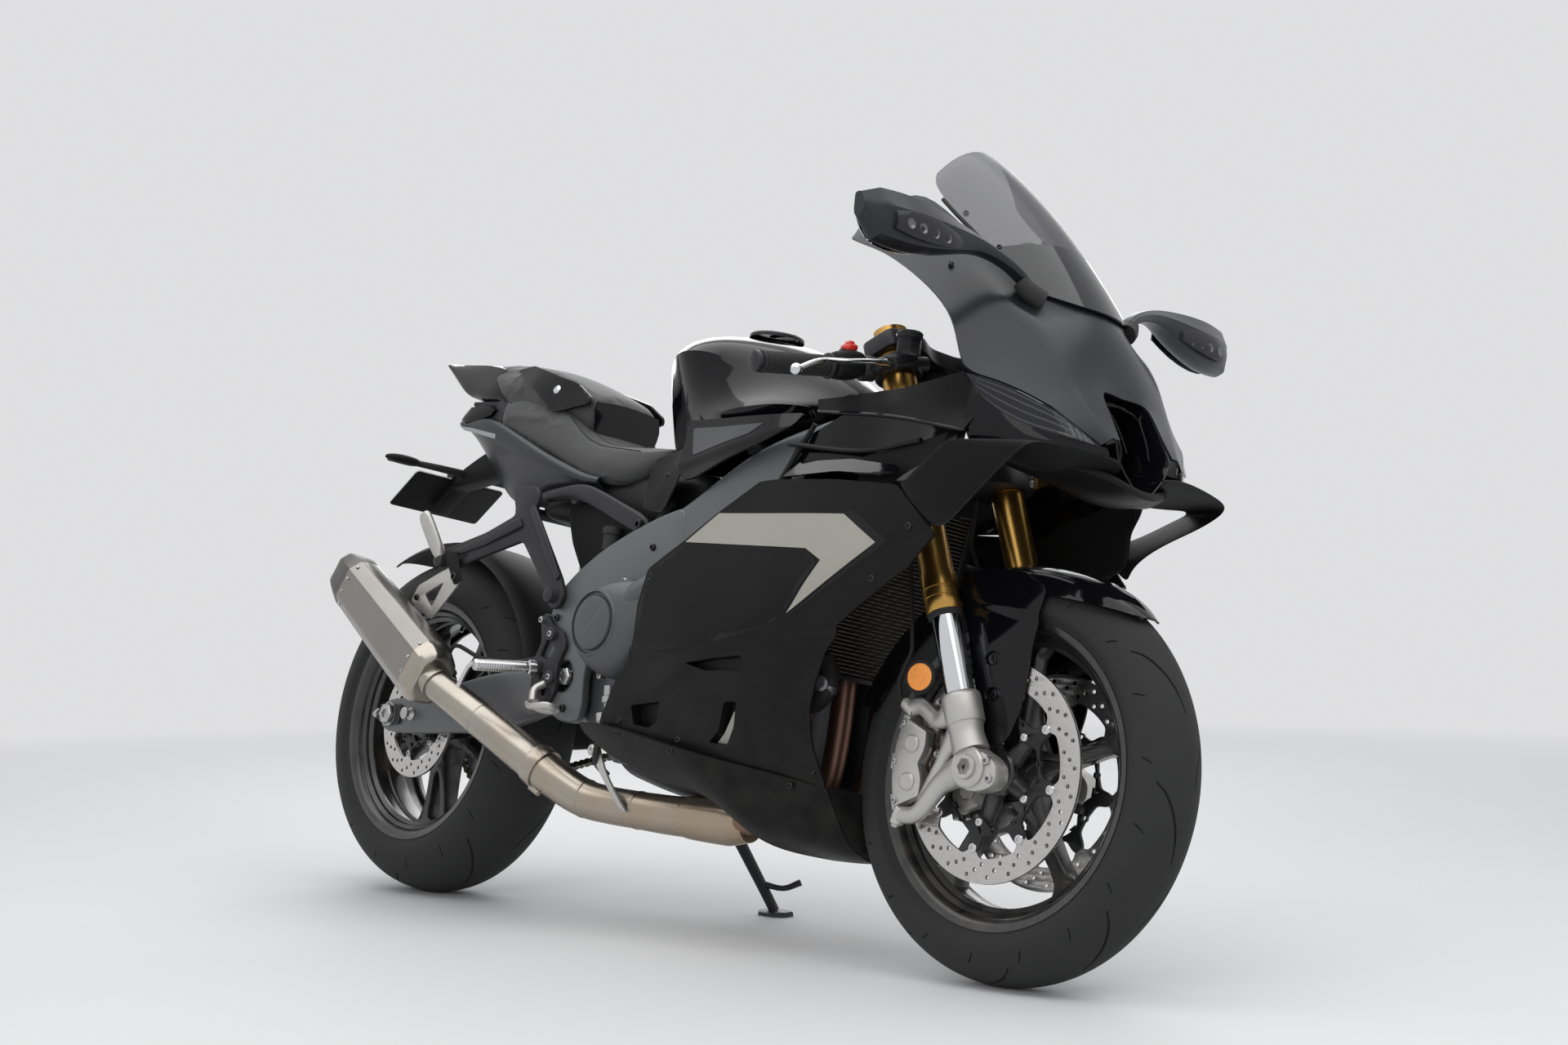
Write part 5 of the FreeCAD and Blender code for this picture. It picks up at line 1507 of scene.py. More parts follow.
@dataclass
class Fork:
    """Upside-down fork with cast axle clamps and radial calipers."""

    spread: float = FORK_SPREAD
    tube_radius: float = 27.0
    leg_radius: float = 21.5
    disc_y: float = 65.4

    def line(self, draft: Draft, profile: Flat, side: int, ahead: float = 0.0,
             y: float | None = None) -> Draft:
        """Turned shape along a fork tube; the profile is (along, radius).

        Args:
            draft: The draft it joins.
            profile: Distance along the tube and radius, in order.
            side: 1 for the left tube, -1 for the right.
            ahead: Distance in front of the tube.
            y: Its place across, if not the tube's own.

        Returns:
            The draft.
        """
        place = side * self.spread if y is None else y
        axis = fork(1, 0, 0) - fork(0, 0, 0)
        return draft.turn(profile, fork(0, ahead, place), axis, steps=40)

    def tubes(self) -> None:
        """Gold outer tubes, their seals and the bright inner tubes."""
        gold, seal, bright, caps = Draft(), Draft(), Draft(), Draft()
        r = self.tube_radius
        for side in (-1, 1):
            self.line(gold, [(240, 22), (240, r - 1.2), (241.5, r), (258, r), (259, r - 1.5),
                             (262, r - 1.5), (263, r), (272, r), (273, r - 1.5),
                             (276, r - 1.5), (277, r), (300, r), (303, r - 1.6), (478, r - 1.6),
                             (478, r - 0.4), (715, r - 0.4), (716, 19)], side)
            self.line(seal, [(232, 21.6), (232, r - 3.5), (233.5, r - 1.5), (240, r - 1.5),
                             (240, 22)], side)
            self.line(bright, [(100, self.leg_radius), (240, self.leg_radius)], side)
            self.line(caps, [(712, 21), (717, 21), (719, 18), (719, 8), (722, 8), (722, 0.1)],
                      side)
        piece("fork_outer_tubes", gold, GOLD, ["fork_tubes"], body=Body.STEERING, angle=40)
        piece("fork_seals", seal, RUBBER, body=Body.STEERING)
        piece("fork_inner_tubes", bright, CHROME, ["fork_legs"], body=Body.STEERING)
        piece("fork_caps", caps, GOLD, body=Body.STEERING)

    def clamp(self) -> None:
        """Axle clamp castings with their caliper lugs and pinch bolts."""
        cast = Draft()
        self.line(cast, [(66, 18), (66, 27), (70, 28.5), (104, 29), (110, 28), (112, 25.5),
                         (112, 21.6)], -1)
        y = -self.spread
        cast.tube([fork(84, 0, y), fork(52, -2, y), fork(24, 0, y)], (27.5, 25, 27), 24)
        cast.turn([(-19, 12), (-19, 27), (-16, 30), (17, 30), (20, 27), (20, 16), (12, 14)],
                  (FRONT_X, y, FRONT_RADIUS), (0, -1, 0), 48)
        lobe = rounded([(FRONT_X - 8, 330), (FRONT_X + 30, 322), (FRONT_X + 52, 304),
                        (FRONT_X + 50, 276), (FRONT_X + 20, 266), (FRONT_X - 10, 268)], 14, 5)
        cast.add(plate(lobe, y + 17, y - 14, bevel=3))
        high = radial(FRONT_X, FRONT_RADIUS, 170, 151, -self.disc_y - 27)
        low = radial(FRONT_X, FRONT_RADIUS, 166, 207, -self.disc_y - 27)
        cast.tube([fork(98, -16, y + 2), fork(92, -52, y + 6), high + Vector((26, -2, 2)), high],
                  (17, 10, 10, 10), 16, flat=1.25)
        cast.tube([fork(8, -18, y + 3), fork(2, -70, y + 6), low + Vector((40, -3, 6)), low],
                  (21, 14, 11, 10), 16, flat=1.2)
        cast.tube([fork(66, -20, y + 4), fork(34, -62, y + 6), low + Vector((46, -3, 22))],
                  (12, 6.5, 7), 12, flat=1.5)
        for lug, reach in ((high, (-30, 18)), (low, (-10, -31))):
            away = Vector((reach[0], 0, reach[1])).normalized()
            cast.turn([(-12, 2), (-12, 9.5), (-10, 10.5), (12, 10.5), (14, 8.5), (14, 4)],
                      lug, away, 24)
        piece("fork_axle_clamps", cast.both(), CAST, body=Body.STEERING, angle=42)
        bolts = Draft()
        for x, z in ((FRONT_X + 33, 311), (FRONT_X + 41, 286)):
            bolt(bolts, (x, y - 13.5, z), (0, -1, 0), 6.5, 5)
        for lug, reach in ((high, (-30, 18)), (low, (-10, -31))):
            away = Vector((reach[0], 0, reach[1])).normalized()
            bolt(bolts, lug + away * 13, away, 7, 6)
        bolts.turn([(-3, 14), (2, 14), (2, 10.5), (-8, 10)], (FRONT_X, y - 14, FRONT_RADIUS),
                   (0, -1, 0), 6)
        piece("fork_clamp_bolts", bolts.both(), ZINC, body=Body.STEERING, angle=30)

    def caliper(self) -> None:
        """Radial calipers: two scalloped halves, their bridges, pads and bolts."""
        cast, pads, bolts = Draft(), Draft(), Draft()
        y = -self.disc_y

        def arc(radius: float, low: float, high: float, count: int) -> list[tuple[float, float]]:
            """Arc about the axle in the side view.

            Args:
                radius: Distance from the axle.
                low: First angle, in degrees.
                high: Last angle, in degrees.
                count: Number of points.

            Returns:
                The points, in order.
            """
            return [(p.x, p.z) for p in (radial(FRONT_X, FRONT_RADIUS, radius,
                                                low + (high - low) * k / (count - 1), 0)
                                         for k in range(count))]

        inner = []
        for k in range(25):
            turn = 156 + 46 * k / 24
            inner += arc(122 - 7.5 * abs(math.sin(math.radians((turn - 156) * 180 / 23))),
                         turn, turn, 2)[:1]
        outline = arc(173, 202, 156, 14) + inner
        for near, far in ((y - 29, y - 9), (y + 9, y + 26)):
            cast.add(plate(rounded(outline, 2, 1), near, far, bevel=4.5))
        for low, high in ((155, 163), (175, 183), (195, 203)):
            bridge = arc(178, high, low, 4) + arc(163, low, high, 4)
            cast.add(plate(bridge, y - 27, y + 24, bevel=3.5))
        for turn in (167.5, 190.5):
            for side, reach in ((-1, 30.5), (1, 27.5)):
                at = radial(FRONT_X, FRONT_RADIUS, 140, turn, y)
                cast.turn([(9, 14), (reach, 14), (reach + 2.5, 11), (reach + 2.5, 0.1)], at,
                          (0, side, 0), 28)
        for side in (-1, 1):
            pad = arc(158, 197, 161, 9) + arc(124, 161, 197, 9)
            low, high = sorted((y + side * 3.6, y + side * 8.8))
            pads.add(plate(pad, low, high, bevel=0.6))
        for turn in (159, 179, 199):
            bolt(bolts, radial(FRONT_X, FRONT_RADIUS, 168, turn, y - 28), (0, -1, 0), 5, 4)
        piece("front_caliper_bodies", cast.both(), CAST, ["front_calipers"], body=Body.STEERING,
              angle=38)
        piece("front_brake_pads", pads.both(), BRONZE, body=Body.STEERING)
        piece("front_caliper_bolts", bolts.both(), ZINC, body=Body.STEERING)

    def axle(self) -> None:
        """Hollow axle end with its hexagon and the spacers."""
        rod = Draft()
        for side in (-1, 1):
            end = self.spread + 20
            socket(rod, (FRONT_X, 0, FRONT_RADIUS),
                   (Vector((0, side, 0)), Vector((1, 0, 0)), Vector((0, 0, 1))),
                   ((62.8, 17.5, 0), (82, 17.5, 0), (82, 12.4, 0), (end - 8, 13, 0),
                    (end + 1, 18, 0), (end + 4, 17, 0), (end + 4, 12.8, 1),
                    (end - 14, 12.8, 1), (end - 14, 0.1, 1)))
        piece("front_axle_ends", rod, CAST, ["front_axle"], body=Body.STEERING, angle=30)

    def yokes(self) -> None:
        """Lower and upper fork clamps with their pinch bolts and stem nut."""
        axis = (fork(1, 0, 0) - fork(0, 0, 0)).normalized()
        ahead = (fork(0, 1, 0) - fork(0, 0, 0)).normalized()
        clamps, bolts = Draft(), Draft()
        edge = self.spread + self.tube_radius + 10
        outline = rounded([(-35, -edge), (33, -edge), (37, -72), (17, -32), (17, 32), (37, 72),
                           (33, edge), (-35, edge), (-38, 62), (-62, 34), (-62, -34),
                           (-38, -62)], 16, 5)
        for low, high in ((478, 522), (672, 700)):
            holes = [circle(0, side * self.spread, self.tube_radius + 0.2, 36)
                     for side in (-1, 1)]
            middle = (low + high) / 2
            matrix = Matrix((ahead, Vector((0, 1, 0)), axis)).transposed().to_4x4()
            matrix.translation = fork(middle, 0, 0)
            mesh = flat_fill(outline, holes, (high - low) / 2, 3.0)
            clamps.add(drafted(mesh, matrix))
            for side in (-1, 1):
                for step in (-1, 1) if high - low > 30 else (0,):
                    at = fork(middle + step * 11, 33, side * (self.spread + 22))
                    bolt(bolts, at, ahead, 6, 6)
        clamps.turn([(520, 17), (672, 17)], fork(0, -STEM_BEHIND, 0), axis, 32)
        bolts.turn([(700, 26), (708, 26), (709, 22), (709, 15), (704, 14), (704, 9), (701, 9)],
                   fork(0, -STEM_BEHIND, 0), axis, 12)
        piece("fork_yokes", clamps, BLACK_ALLOY, ["yokes"], body=Body.STEERING)
        piece("yoke_bolts", bolts, ZINC, body=Body.STEERING)

    def build(self) -> None:
        """Make the whole fork."""
        self.tubes()
        self.clamp()
        self.caliper()
        self.axle()
        self.yokes()


@dataclass
class Fender:
    """Front mudguard with its side guards, and the reflectors beside it."""

    top: float = FRONT_RADIUS + 12.0

    def crown(self) -> Draft:
        """Channel over the tyre, pointed ahead and lipped behind.

        Returns:
            The channel.
        """
        rows = []
        for turn, wide, drop, rise in ((49, 20, 0, -3), (53, 44, 5, -1), (60, 59, 18, 0),
                                       (70, 66, 30, 0), (85, 68, 36, 0), (100, 69, 40, 0),
                                       (120, 69, 44, 0), (140, 69, 46, 0), (158, 69, 46, 0),
                                       (163, 64, 40, 1)):
            row = []
            for share in (-1.0, -0.97, -0.8, -0.45, 0.0, 0.45, 0.8, 0.97, 1.0):
                y = wide * share
                fall = drop * max(0.0, (abs(share) - 0.8) / 0.2) ** 1.2 \
                    + 15 * min(abs(share) / 0.8, 1.0) ** 2.4 * wide / 69
                row.append(radial(FRONT_X, FRONT_RADIUS, self.top + 1.5 + rise - fall, turn, y))
            rows.append(row)
        return Draft().grid(rows, crease_rows=(0, 9), crease_cols=(0, 8, 2, 6), crease=0.5)

    def guard(self) -> tuple[Draft, Draft]:
        """Guard beside each fork leg, with its two sunk bolts.

        Returns:
            The guards, and their bolts.
        """
        front = [(1484, 566), (1477, 520), (1471, 460), (1467, 400), (1452, 352), (1436, 336),
                 (1414, 338), (1398, 366), (1376, 430), (1352, 500), (1330, 548), (1322, 566),
                 (1330, 582), (1380, 596), (1440, 590)]
        relief = Relief([(1484, 566, 66), (1467, 400, 76), (1436, 336, 80), (1398, 366, 80),
                         (1352, 500, 80), (1322, 566, 76), (1400, 470, 81), (1440, 480, 79),
                         (1380, 596, 72), (1440, 590, 69)],
                        [step_across((1322, 548), (1484, 520), -5.0, 16.0)])
        holes = []
        for x, z in ((1405, 462), (1412, 410)):
            holes.append([(x + 15 * math.cos(a), z + 10.5 * math.sin(a))
                          for a in (k * math.pi / 10 for k in range(20))])
        panel = shell(rounded(front, 10, 3), relief, holes, 4)
        cups, bolts = Draft(), Draft()
        for x, z in ((1405, 462), (1412, 410)):
            out = relief.at(x, z)
            rows = []
            for size, deep in ((1.08, -0.6), (1.0, 0), (0.93, 4), (0.0, 4.5)):
                rows.append([Vector((x + 15 * size * math.cos(k * math.pi / 10), -out + deep,
                                     z + 10.5 * size * math.sin(k * math.pi / 10)))
                             for k in range(20)])
            cups.grid(rows, around=True)
            bolt(bolts, (x, -out + 4.5, z), (0, -1, 0), 5.5, 3.5)
        return panel.add(cups), bolts

    def build(self) -> None:
        """Make the mudguard, its bolts and the side reflectors."""
        piece("fender_crown", self.crown(), GLOSS, ["front_fender"], body=Body.STEERING, smooth=2,
              thick=3)
        panel, bolts = self.guard()
        piece("fender_guards", panel.both(), GLOSS, body=Body.STEERING, thick=3)
        piece("fender_bolts", bolts.both(), BLACK_BOLT, body=Body.STEERING)
        braces = Draft()
        for along in (150, 205):
            middle = fork(along, 0, 0)
            braces.tube([(middle.x, -74, middle.z), (middle.x, -85, middle.z)], 9, 16)
        piece("fender_braces", braces.both(), MATTE, body=Body.STEERING)
        self.reflectors()

    def reflectors(self) -> None:
        """Round reflectors on their brackets behind the fork legs."""
        ring, glass = Draft(), Draft()
        at = Vector((1318, -128, 424))
        ring.turn([(-6, 0.1), (-6, 21), (-2, 24.5), (5, 24.5), (6.5, 23), (6.5, 20.5), (3, 20.5)],
                  at, (0.25, -1, 0), 48)
        look = Vector((0.25, -1, 0)).normalized()
        flat, rise = Vector((-look.y, look.x, 0)), Vector((0, 0, 1))
        glass.grid([[at + look * high + (flat * math.cos(k * math.pi / 12)
                                         + rise * math.sin(k * math.pi / 12)) * radius
                     for k, high in enumerate(heights * 12)]
                    for radius, heights in ((20.4, (3.0, 3.0)), (20.0, (5.4, 5.4)),
                                            (11.0, (8.0, 5.6)), (0.2, (7.4, 7.4)))],
                   around=True)
        ring.tube([at + Vector((0, 4, 10)), fork(150, -23, -FORK_SPREAD)], (6, 6), 12, flat=0.5)
        piece("side_reflector_rings", ring.both(), MATTE, body=Body.STEERING)
        piece("side_reflectors", glass.both(), ORANGE, body=Body.STEERING)


def half_rows(stations: Stations
              ) -> list[list[tuple[float, float, float]]]:
    """Rows of points on the right side from stations of x and (out, up) pairs."""
    return [[(x, -out, z) for out, z in corners] for x, corners in stations]


@dataclass
class NoseCowl:
    """Cowl round the screen's foot with its two beaks, lamps, intake and chin."""

    cowl: Stations = (
        (1112, ((158, 1130), (162, 1122), (167, 1112), (173, 1102), (179, 1094))),
        (1150, ((142, 1158), (150, 1144), (160, 1126), (173, 1102), (184, 1078))),
        (1200, ((124, 1180), (136, 1160), (154, 1132), (174, 1096), (190, 1060))),
        (1300, ((124, 1100), (140, 1086), (162, 1062), (188, 1033), (207, 1003))),
        (1373, ((119, 1044), (133, 1022), (161, 1008), (192, 970), (216, 947))),
        (1404, ((114, 1016), (125, 996), (156, 988), (188, 938), (226, 893))),
        (1424, ((110, 997), (115, 976), (148, 970), (184, 903), (229, 849))),
        (1455, ((76, 991), (88, 960), (136, 950), (168, 888), (208, 843))),
        (1487, ((0, 983), (56, 960), (128, 912), (154, 864), (186, 831))),
        (1508, ((0, 930), (56, 912), (122, 876), (144, 844), (169, 820))),
        (1527, ((0, 852), (58, 862), (110, 846), (132, 826), (153, 809))))
    beak: Sequence[Sequence[Point]] = (
        ((1527, -58, 862), (1527, -110, 846), (1527, -132, 826), (1527, -153, 809)),
        ((1553, -56, 820), (1553, -95, 811), (1553, -112, 797), (1553, -126, 786)),
        ((1581, -61, 777), (1580, -76, 777), (1578, -85, 770), (1575, -94, 764)))
    light_top: Sequence[Point] = ((1427, -227, 847), (1460, -204, 840), (1489, -183, 829),
                                  (1527, -152, 808), (1555, -123, 784), (1572, -97, 765))
    light_low: Sequence[Point] = ((1437, -217, 829), (1456, -200, 804), (1498, -170, 780),
                                  (1546, -144, 768), (1567, -119, 764), (1578, -92, 761))

    def skin(self) -> Draft:
        """Cowl's outer skin with its ridges.

        Returns:
            The skin.
        """
        last = len(self.cowl) - 1
        draft = Draft().grid(half_rows(self.cowl), crease_rows=(0, last), crease_cols=(4,))
        for row in range(5, last):
            draft.creases[(row * 5 + 2, (row + 1) * 5 + 2)] = 0.85
        draft.grid(self.beak, crease_rows=(2,), crease_cols=(0, 1, 3))
        return draft.both()

    def light_patch(self, low: float, high: float, start: float, end: float, deep: float,
                    count: int = 9) -> Draft:
        """Patch of the running light, by share of its height and length.

        Args:
            low: Lower edge as a share of the height.
            high: Upper edge.
            start: Rear end as a share of the length.
            end: Front end.
            deep: Distance behind the lens.
            count: Points along it.

        Returns:
            The patch's draft.
        """
        top, foot = curve_through(self.light_top, 8), curve_through(self.light_low, 8)
        rows = []
        for k in range(count):
            place = (start + (end - start) * k / (count - 1)) * (len(top) - 1)
            i = min(int(place), len(top) - 2)
            upper = top[i].lerp(top[i + 1], place - i)
            lower = foot[i].lerp(foot[i + 1], place - i)
            rows.append([lower.lerp(upper, low + (high - low) * s / 3)
                         + Vector((-0.62, 0.76, -0.2)) * deep for s in range(4)])
        return Draft().grid(rows)

    def lights(self) -> None:
        """Running lights: a smoked lens over ribbed strips and a bright segment; the pale grey of strips and
        segment is partly a painted highlight.
        """
        piece("running_light_lens", self.light_patch(0.0, 1.0, 0.0, 1.0, 0.0).both(), SMOKED_LENS,
              ["front_lights"], smooth=1, thick=2)
        piece("running_light_bed", self.light_patch(-0.02, 1.02, 0.0, 0.99, 6).both(), DUCT,
              smooth=1, thick=2)
        strips, leds = Draft(), Draft()
        for low, high in ((0.12, 0.17), (0.40, 0.45), (0.66, 0.71), (0.86, 0.90)):
            strips.add(self.light_patch(low, high, 0.06, 0.70, 3))
        for start in (0.70, 0.76, 0.82, 0.88):
            leds.add(self.light_patch(0.16, 0.84, start, start + 0.03, 4, 4))
        piece("running_light_strips", strips.both(), STRIP, thick=2)
        piece("running_light_segment", leds.both(), STRIP, thick=3)

    def intake(self) -> None:
        """Dark intake between the beaks with its projector lamp and inner blades."""
        rows = []
        for x, half, top_half, low, high in ((1440, 66, 60, 762, 850), (1490, 66, 74, 744, 852),
                                             (1530, 58, 62, 734, 836)):
            rows.append([(x, -half, low), (x, -half - 8, (low + high) / 2), (x, -top_half, high),
                         (x - 8, 0, high + 12), (x, top_half, high),
                         (x, half + 8, (low + high) / 2), (x, half, low), (x, 0, low - 6)])
        tunnel = Draft().grid(rows, around=True)
        tunnel.grid([[(1442, y, z) for z in (755, 800, 862)] for y in (-70, 0, 70)])
        piece("intake_tunnel", tunnel, DUCT, ["intake_duct"], smooth=1, thick=3)
        lamp, glass = Draft(), Draft()
        axis, at = (1, 0, -0.1), (1484, 0, 778)
        lamp.turn([(-6, 0.1), (-6, 28), (30, 30), (32, 29), (32, 26), (20, 23), (10, 22)], at,
                  axis, 48)
        glass.turn([(16, 23), (26, 20), (33, 14), (37, 7), (38, 0.1)], at, axis, 48)
        piece("headlamp_barrel", lamp, BLACK_ALLOY, slot="matte_black")
        piece("headlamp_glass", glass, LENS)
        cup = Draft().turn([(8, 22), (4, 13), (2, 0.1)], at, axis, 32)
        piece("headlamp_reflector", cup, REFLECTOR_CUP)
        walls = Draft().grid((((1526, 0, 853), (1484, 0, 842), (1446, 0, 836)),
                              ((1526, -57, 863), (1484, -48, 842), (1446, -46, 836)),
                              ((1552, -55, 820), (1512, -44, 806), (1452, -46, 800)),
                              ((1580, -60, 777), (1530, -44, 770), (1460, -48, 764)),
                              ((1577, -62, 753), (1528, -46, 748), (1466, -50, 742)),
                              ((1584, -20, 716), (1524, -16, 716), (1470, -16, 716))),
                             crease_cols=(0,))
        piece("intake_walls", walls.both(), GLOSS, slot="matte_black", smooth=1, thick=3)
        edges = Draft().tube([(1529, -48, 842), (1536, -36, 829), (1556, -30, 796),
                              (1568, -26, 768)], 1.6, 8)
        edges.tube([(1500, -40, 850), (1520, -20, 846), (1524, 0, 844)], 1.6, 8)
        piece("intake_edges", edges.both(), SATIN)

    def chin(self) -> None:
        """Chin under the intake and the cheek panels under the running lights."""
        rows = []
        spans = ((-216, 1420, 1446, 752, 770), (-150, 1452, 1510, 724, 744),
                 (-84, 1478, 1566, 714, 738), (-40, 1486, 1588, 702, 722),
                 (0, 1492, 1592, 698, 714))
        for y, back, front, low, high in spans + tuple((-s[0], *s[1:]) for s in spans[-2::-1]):
            rows.append([(back, y, low), ((back + front) / 2, y, low - 4), (front, y, high - 12),
                         (front - 3, y, high), ((back + front) / 2, y, high + 4),
                         (back, y, low + 10)])
        piece("nose_chin_panel", Draft().grid(rows, around=True, ends=True, crease_cols=(2, 3),
                                              crease=0.6), SATIN, ["nose_chin"], smooth=2)
        cheek = Draft().grid(
            (((1434, -219, 832), (1456, -200, 803), (1498, -170, 779), (1546, -144, 767),
              (1582, -88, 761)),
             ((1428, -222, 776), (1478, -190, 762), (1522, -164, 756), (1560, -126, 753),
              (1585, -84, 752)),
             ((1436, -208, 746), (1484, -180, 738), (1528, -150, 736), (1560, -114, 740),
              (1580, -82, 744))),
            crease_rows=(0, 1), crease_cols=(0, 4), crease=0.8)
        piece("nose_cheeks", cheek.both(), GLOSS, slot="satin_black", smooth=2, thick=3)
        inner = Relief([(1400, 745, 207), (1400, 650, 212), (1290, 570, 196), (1180, 640, 180),
                        (1200, 740, 184), (1310, 660, 190)])
        arch = ((1426, 772), (1418, 730), (1404, 700), (1401, 648), (1340, 606), (1270, 562),
                (1200, 566), (1184, 640), (1200, 744))
        piece("wheel_arch_panels", shell(rounded(arch, 8, 3), inner, (), 14).both(), MATTE,
              thick=4)

    def winglets(self) -> None:
        """Open winglets: a blade and a strut that meet at the tip."""
        loop = Draft()

        def section(back: Point, front: Point, thick: float, up: Point) -> list[Vector]:
            """Rounded section from its rear to its front edge.

            Args:
                back: Rear edge.
                front: Front edge.
                thick: Half of its thickness.
                up: Direction of its thickness.

            Returns:
                Its corners, in order.
            """
            a, b, lift = Vector(back), Vector(front), Vector(up).normalized() * thick
            return [a, a.lerp(b, 0.3) + lift, a.lerp(b, 0.85) + lift * 0.8, b,
                    a.lerp(b, 0.85) - lift * 0.8, a.lerp(b, 0.3) - lift]

        blade = [section((1492, -30, 708), (1588, -30, 742), 7, (0, 0, 1)),
                 section((1494, -90, 717), (1590, -84, 752), 9, (0, 0, 1)),
                 section((1488, -180, 728), (1576, -176, 748), 6, (0, 0, 1)),
                 section((1474, -248, 742), (1566, -224, 744), 5, (0, -0.4, 1)),
                 section((1456, -276, 741), (1556, -236, 732), 4.5, (0.3, -1, 0.7)),
                 section((1434, -273, 732), (1516, -229, 707), 4.5, (0.4, -1, 0)),
                 section((1399, -264, 712), (1480, -216, 688), 4.5, (0.4, -1, 0)),
                 section((1363, -253, 694), (1440, -206, 664), 4.5, (0.4, -1, 0)),
                 section((1340, -240, 690), (1412, -205, 638), 4.5, (0.2, -1, 0)),
                 section((1322, -229, 688), (1399, -222, 617), 4, (0, -1, 0))]
        loop.grid(blade, around=True, ends=True, crease_cols=(0, 3), crease=0.8)
        piece("winglet_loops", loop.both(), MATTE, ["winglets"], slot="satin_black", smooth=2)

    def build(self) -> None:
        """Make the whole nose."""
        piece("upper_cowl_skin", self.skin(), COWL, ["upper_cowl"], smooth=2, thick=4)
        self.lights()
        self.intake()
        self.chin()
        self.winglets()
        bolts = Draft()
        for at, facing in (((1326, -178, 1032), (0, -1, 0.6)), ((1440, -214, 820), (0.5, -1, 0))):
            bolt(bolts, at, facing, 4.5, 2.5)
        piece("cowl_bolts", bolts.both(), BLACK_BOLT)


@dataclass
class Screen:
    """Smoked screen with a raised middle and a dark edge."""

    rows: Sequence[tuple[float, float, float, float, float]] = (
        (1485, 982.4, 1432, 112, 996.6), (1445, 1038, 1394, 120, 1032),
        (1402, 1092, 1352, 123, 1068), (1358, 1142, 1314, 123, 1100),
        (1312, 1188, 1276, 122, 1130), (1266, 1229, 1240, 119, 1160),
        (1222, 1264, 1208, 112, 1190), (1206, 1272, 1196, 96, 1212))
    band_slope: float = 0.48
    band_top: float = 419.0

    def build(self) -> None:
        """Make the screen, its edge trim and its fixings."""
        sheet = []
        for x_mid, z_mid, x_edge, half, z_edge in self.rows:
            row = []
            for share in (-1, -0.86, -0.62, -0.33, 0, 0.33, 0.62, 0.86, 1):
                drop = abs(share) ** 2.2
                lift = 5 * math.exp(-(abs(share) / 0.3) ** 2)
                row.append((x_mid + (x_edge - x_mid) * drop + lift * 0.5, share * half,
                            z_mid + (z_edge - z_mid) * drop + lift * 0.5))
            sheet.append(row)
        made = piece("screen_sheet", Draft().grid(sheet), SCREEN, ["windscreen"], smooth=1,
                     thick=3)
        made.data.materials.append(SCREEN_BAND.material())
        home = PLACE.inverted()
        for face in made.data.polygons:
            middle = home @ face.center
            if middle.z - self.band_slope * middle.x < self.band_top:
                face.material_index = 1
        back = Draft().grid([[(x - 9, share * half * 0.97, z - 10) for x, half, z, share in
                              ((r[0] + (r[2] - r[0]) * abs(k) ** 2.2, r[3],
                                r[1] + (r[4] - r[1]) * abs(k) ** 2.2, k)
                               for k in (-1, -0.6, 0, 0.6, 1))] for r in self.rows[:3]])
        piece("screen_foot_panel", back, DUCT, smooth=1, thick=3)
        trim = Draft()
        for side in (1, -1):
            trim.tube([(r[2] - 2, side * (r[3] + 0.5), r[4] - 1) for r in self.rows[:6]],
                      3.2, 8, 3)
        piece("screen_edge_trim", trim, DUCT)
        bolts = Draft()
        for k in (0, 2, 4):
            r = self.rows[k]
            bolt(bolts, (r[2] + 8, -r[3] + 8, r[4] + 3), (0.5, -1, 0.5), 4.5, 2.5)
        piece("screen_bolts", bolts.both(), BLACK_BOLT)


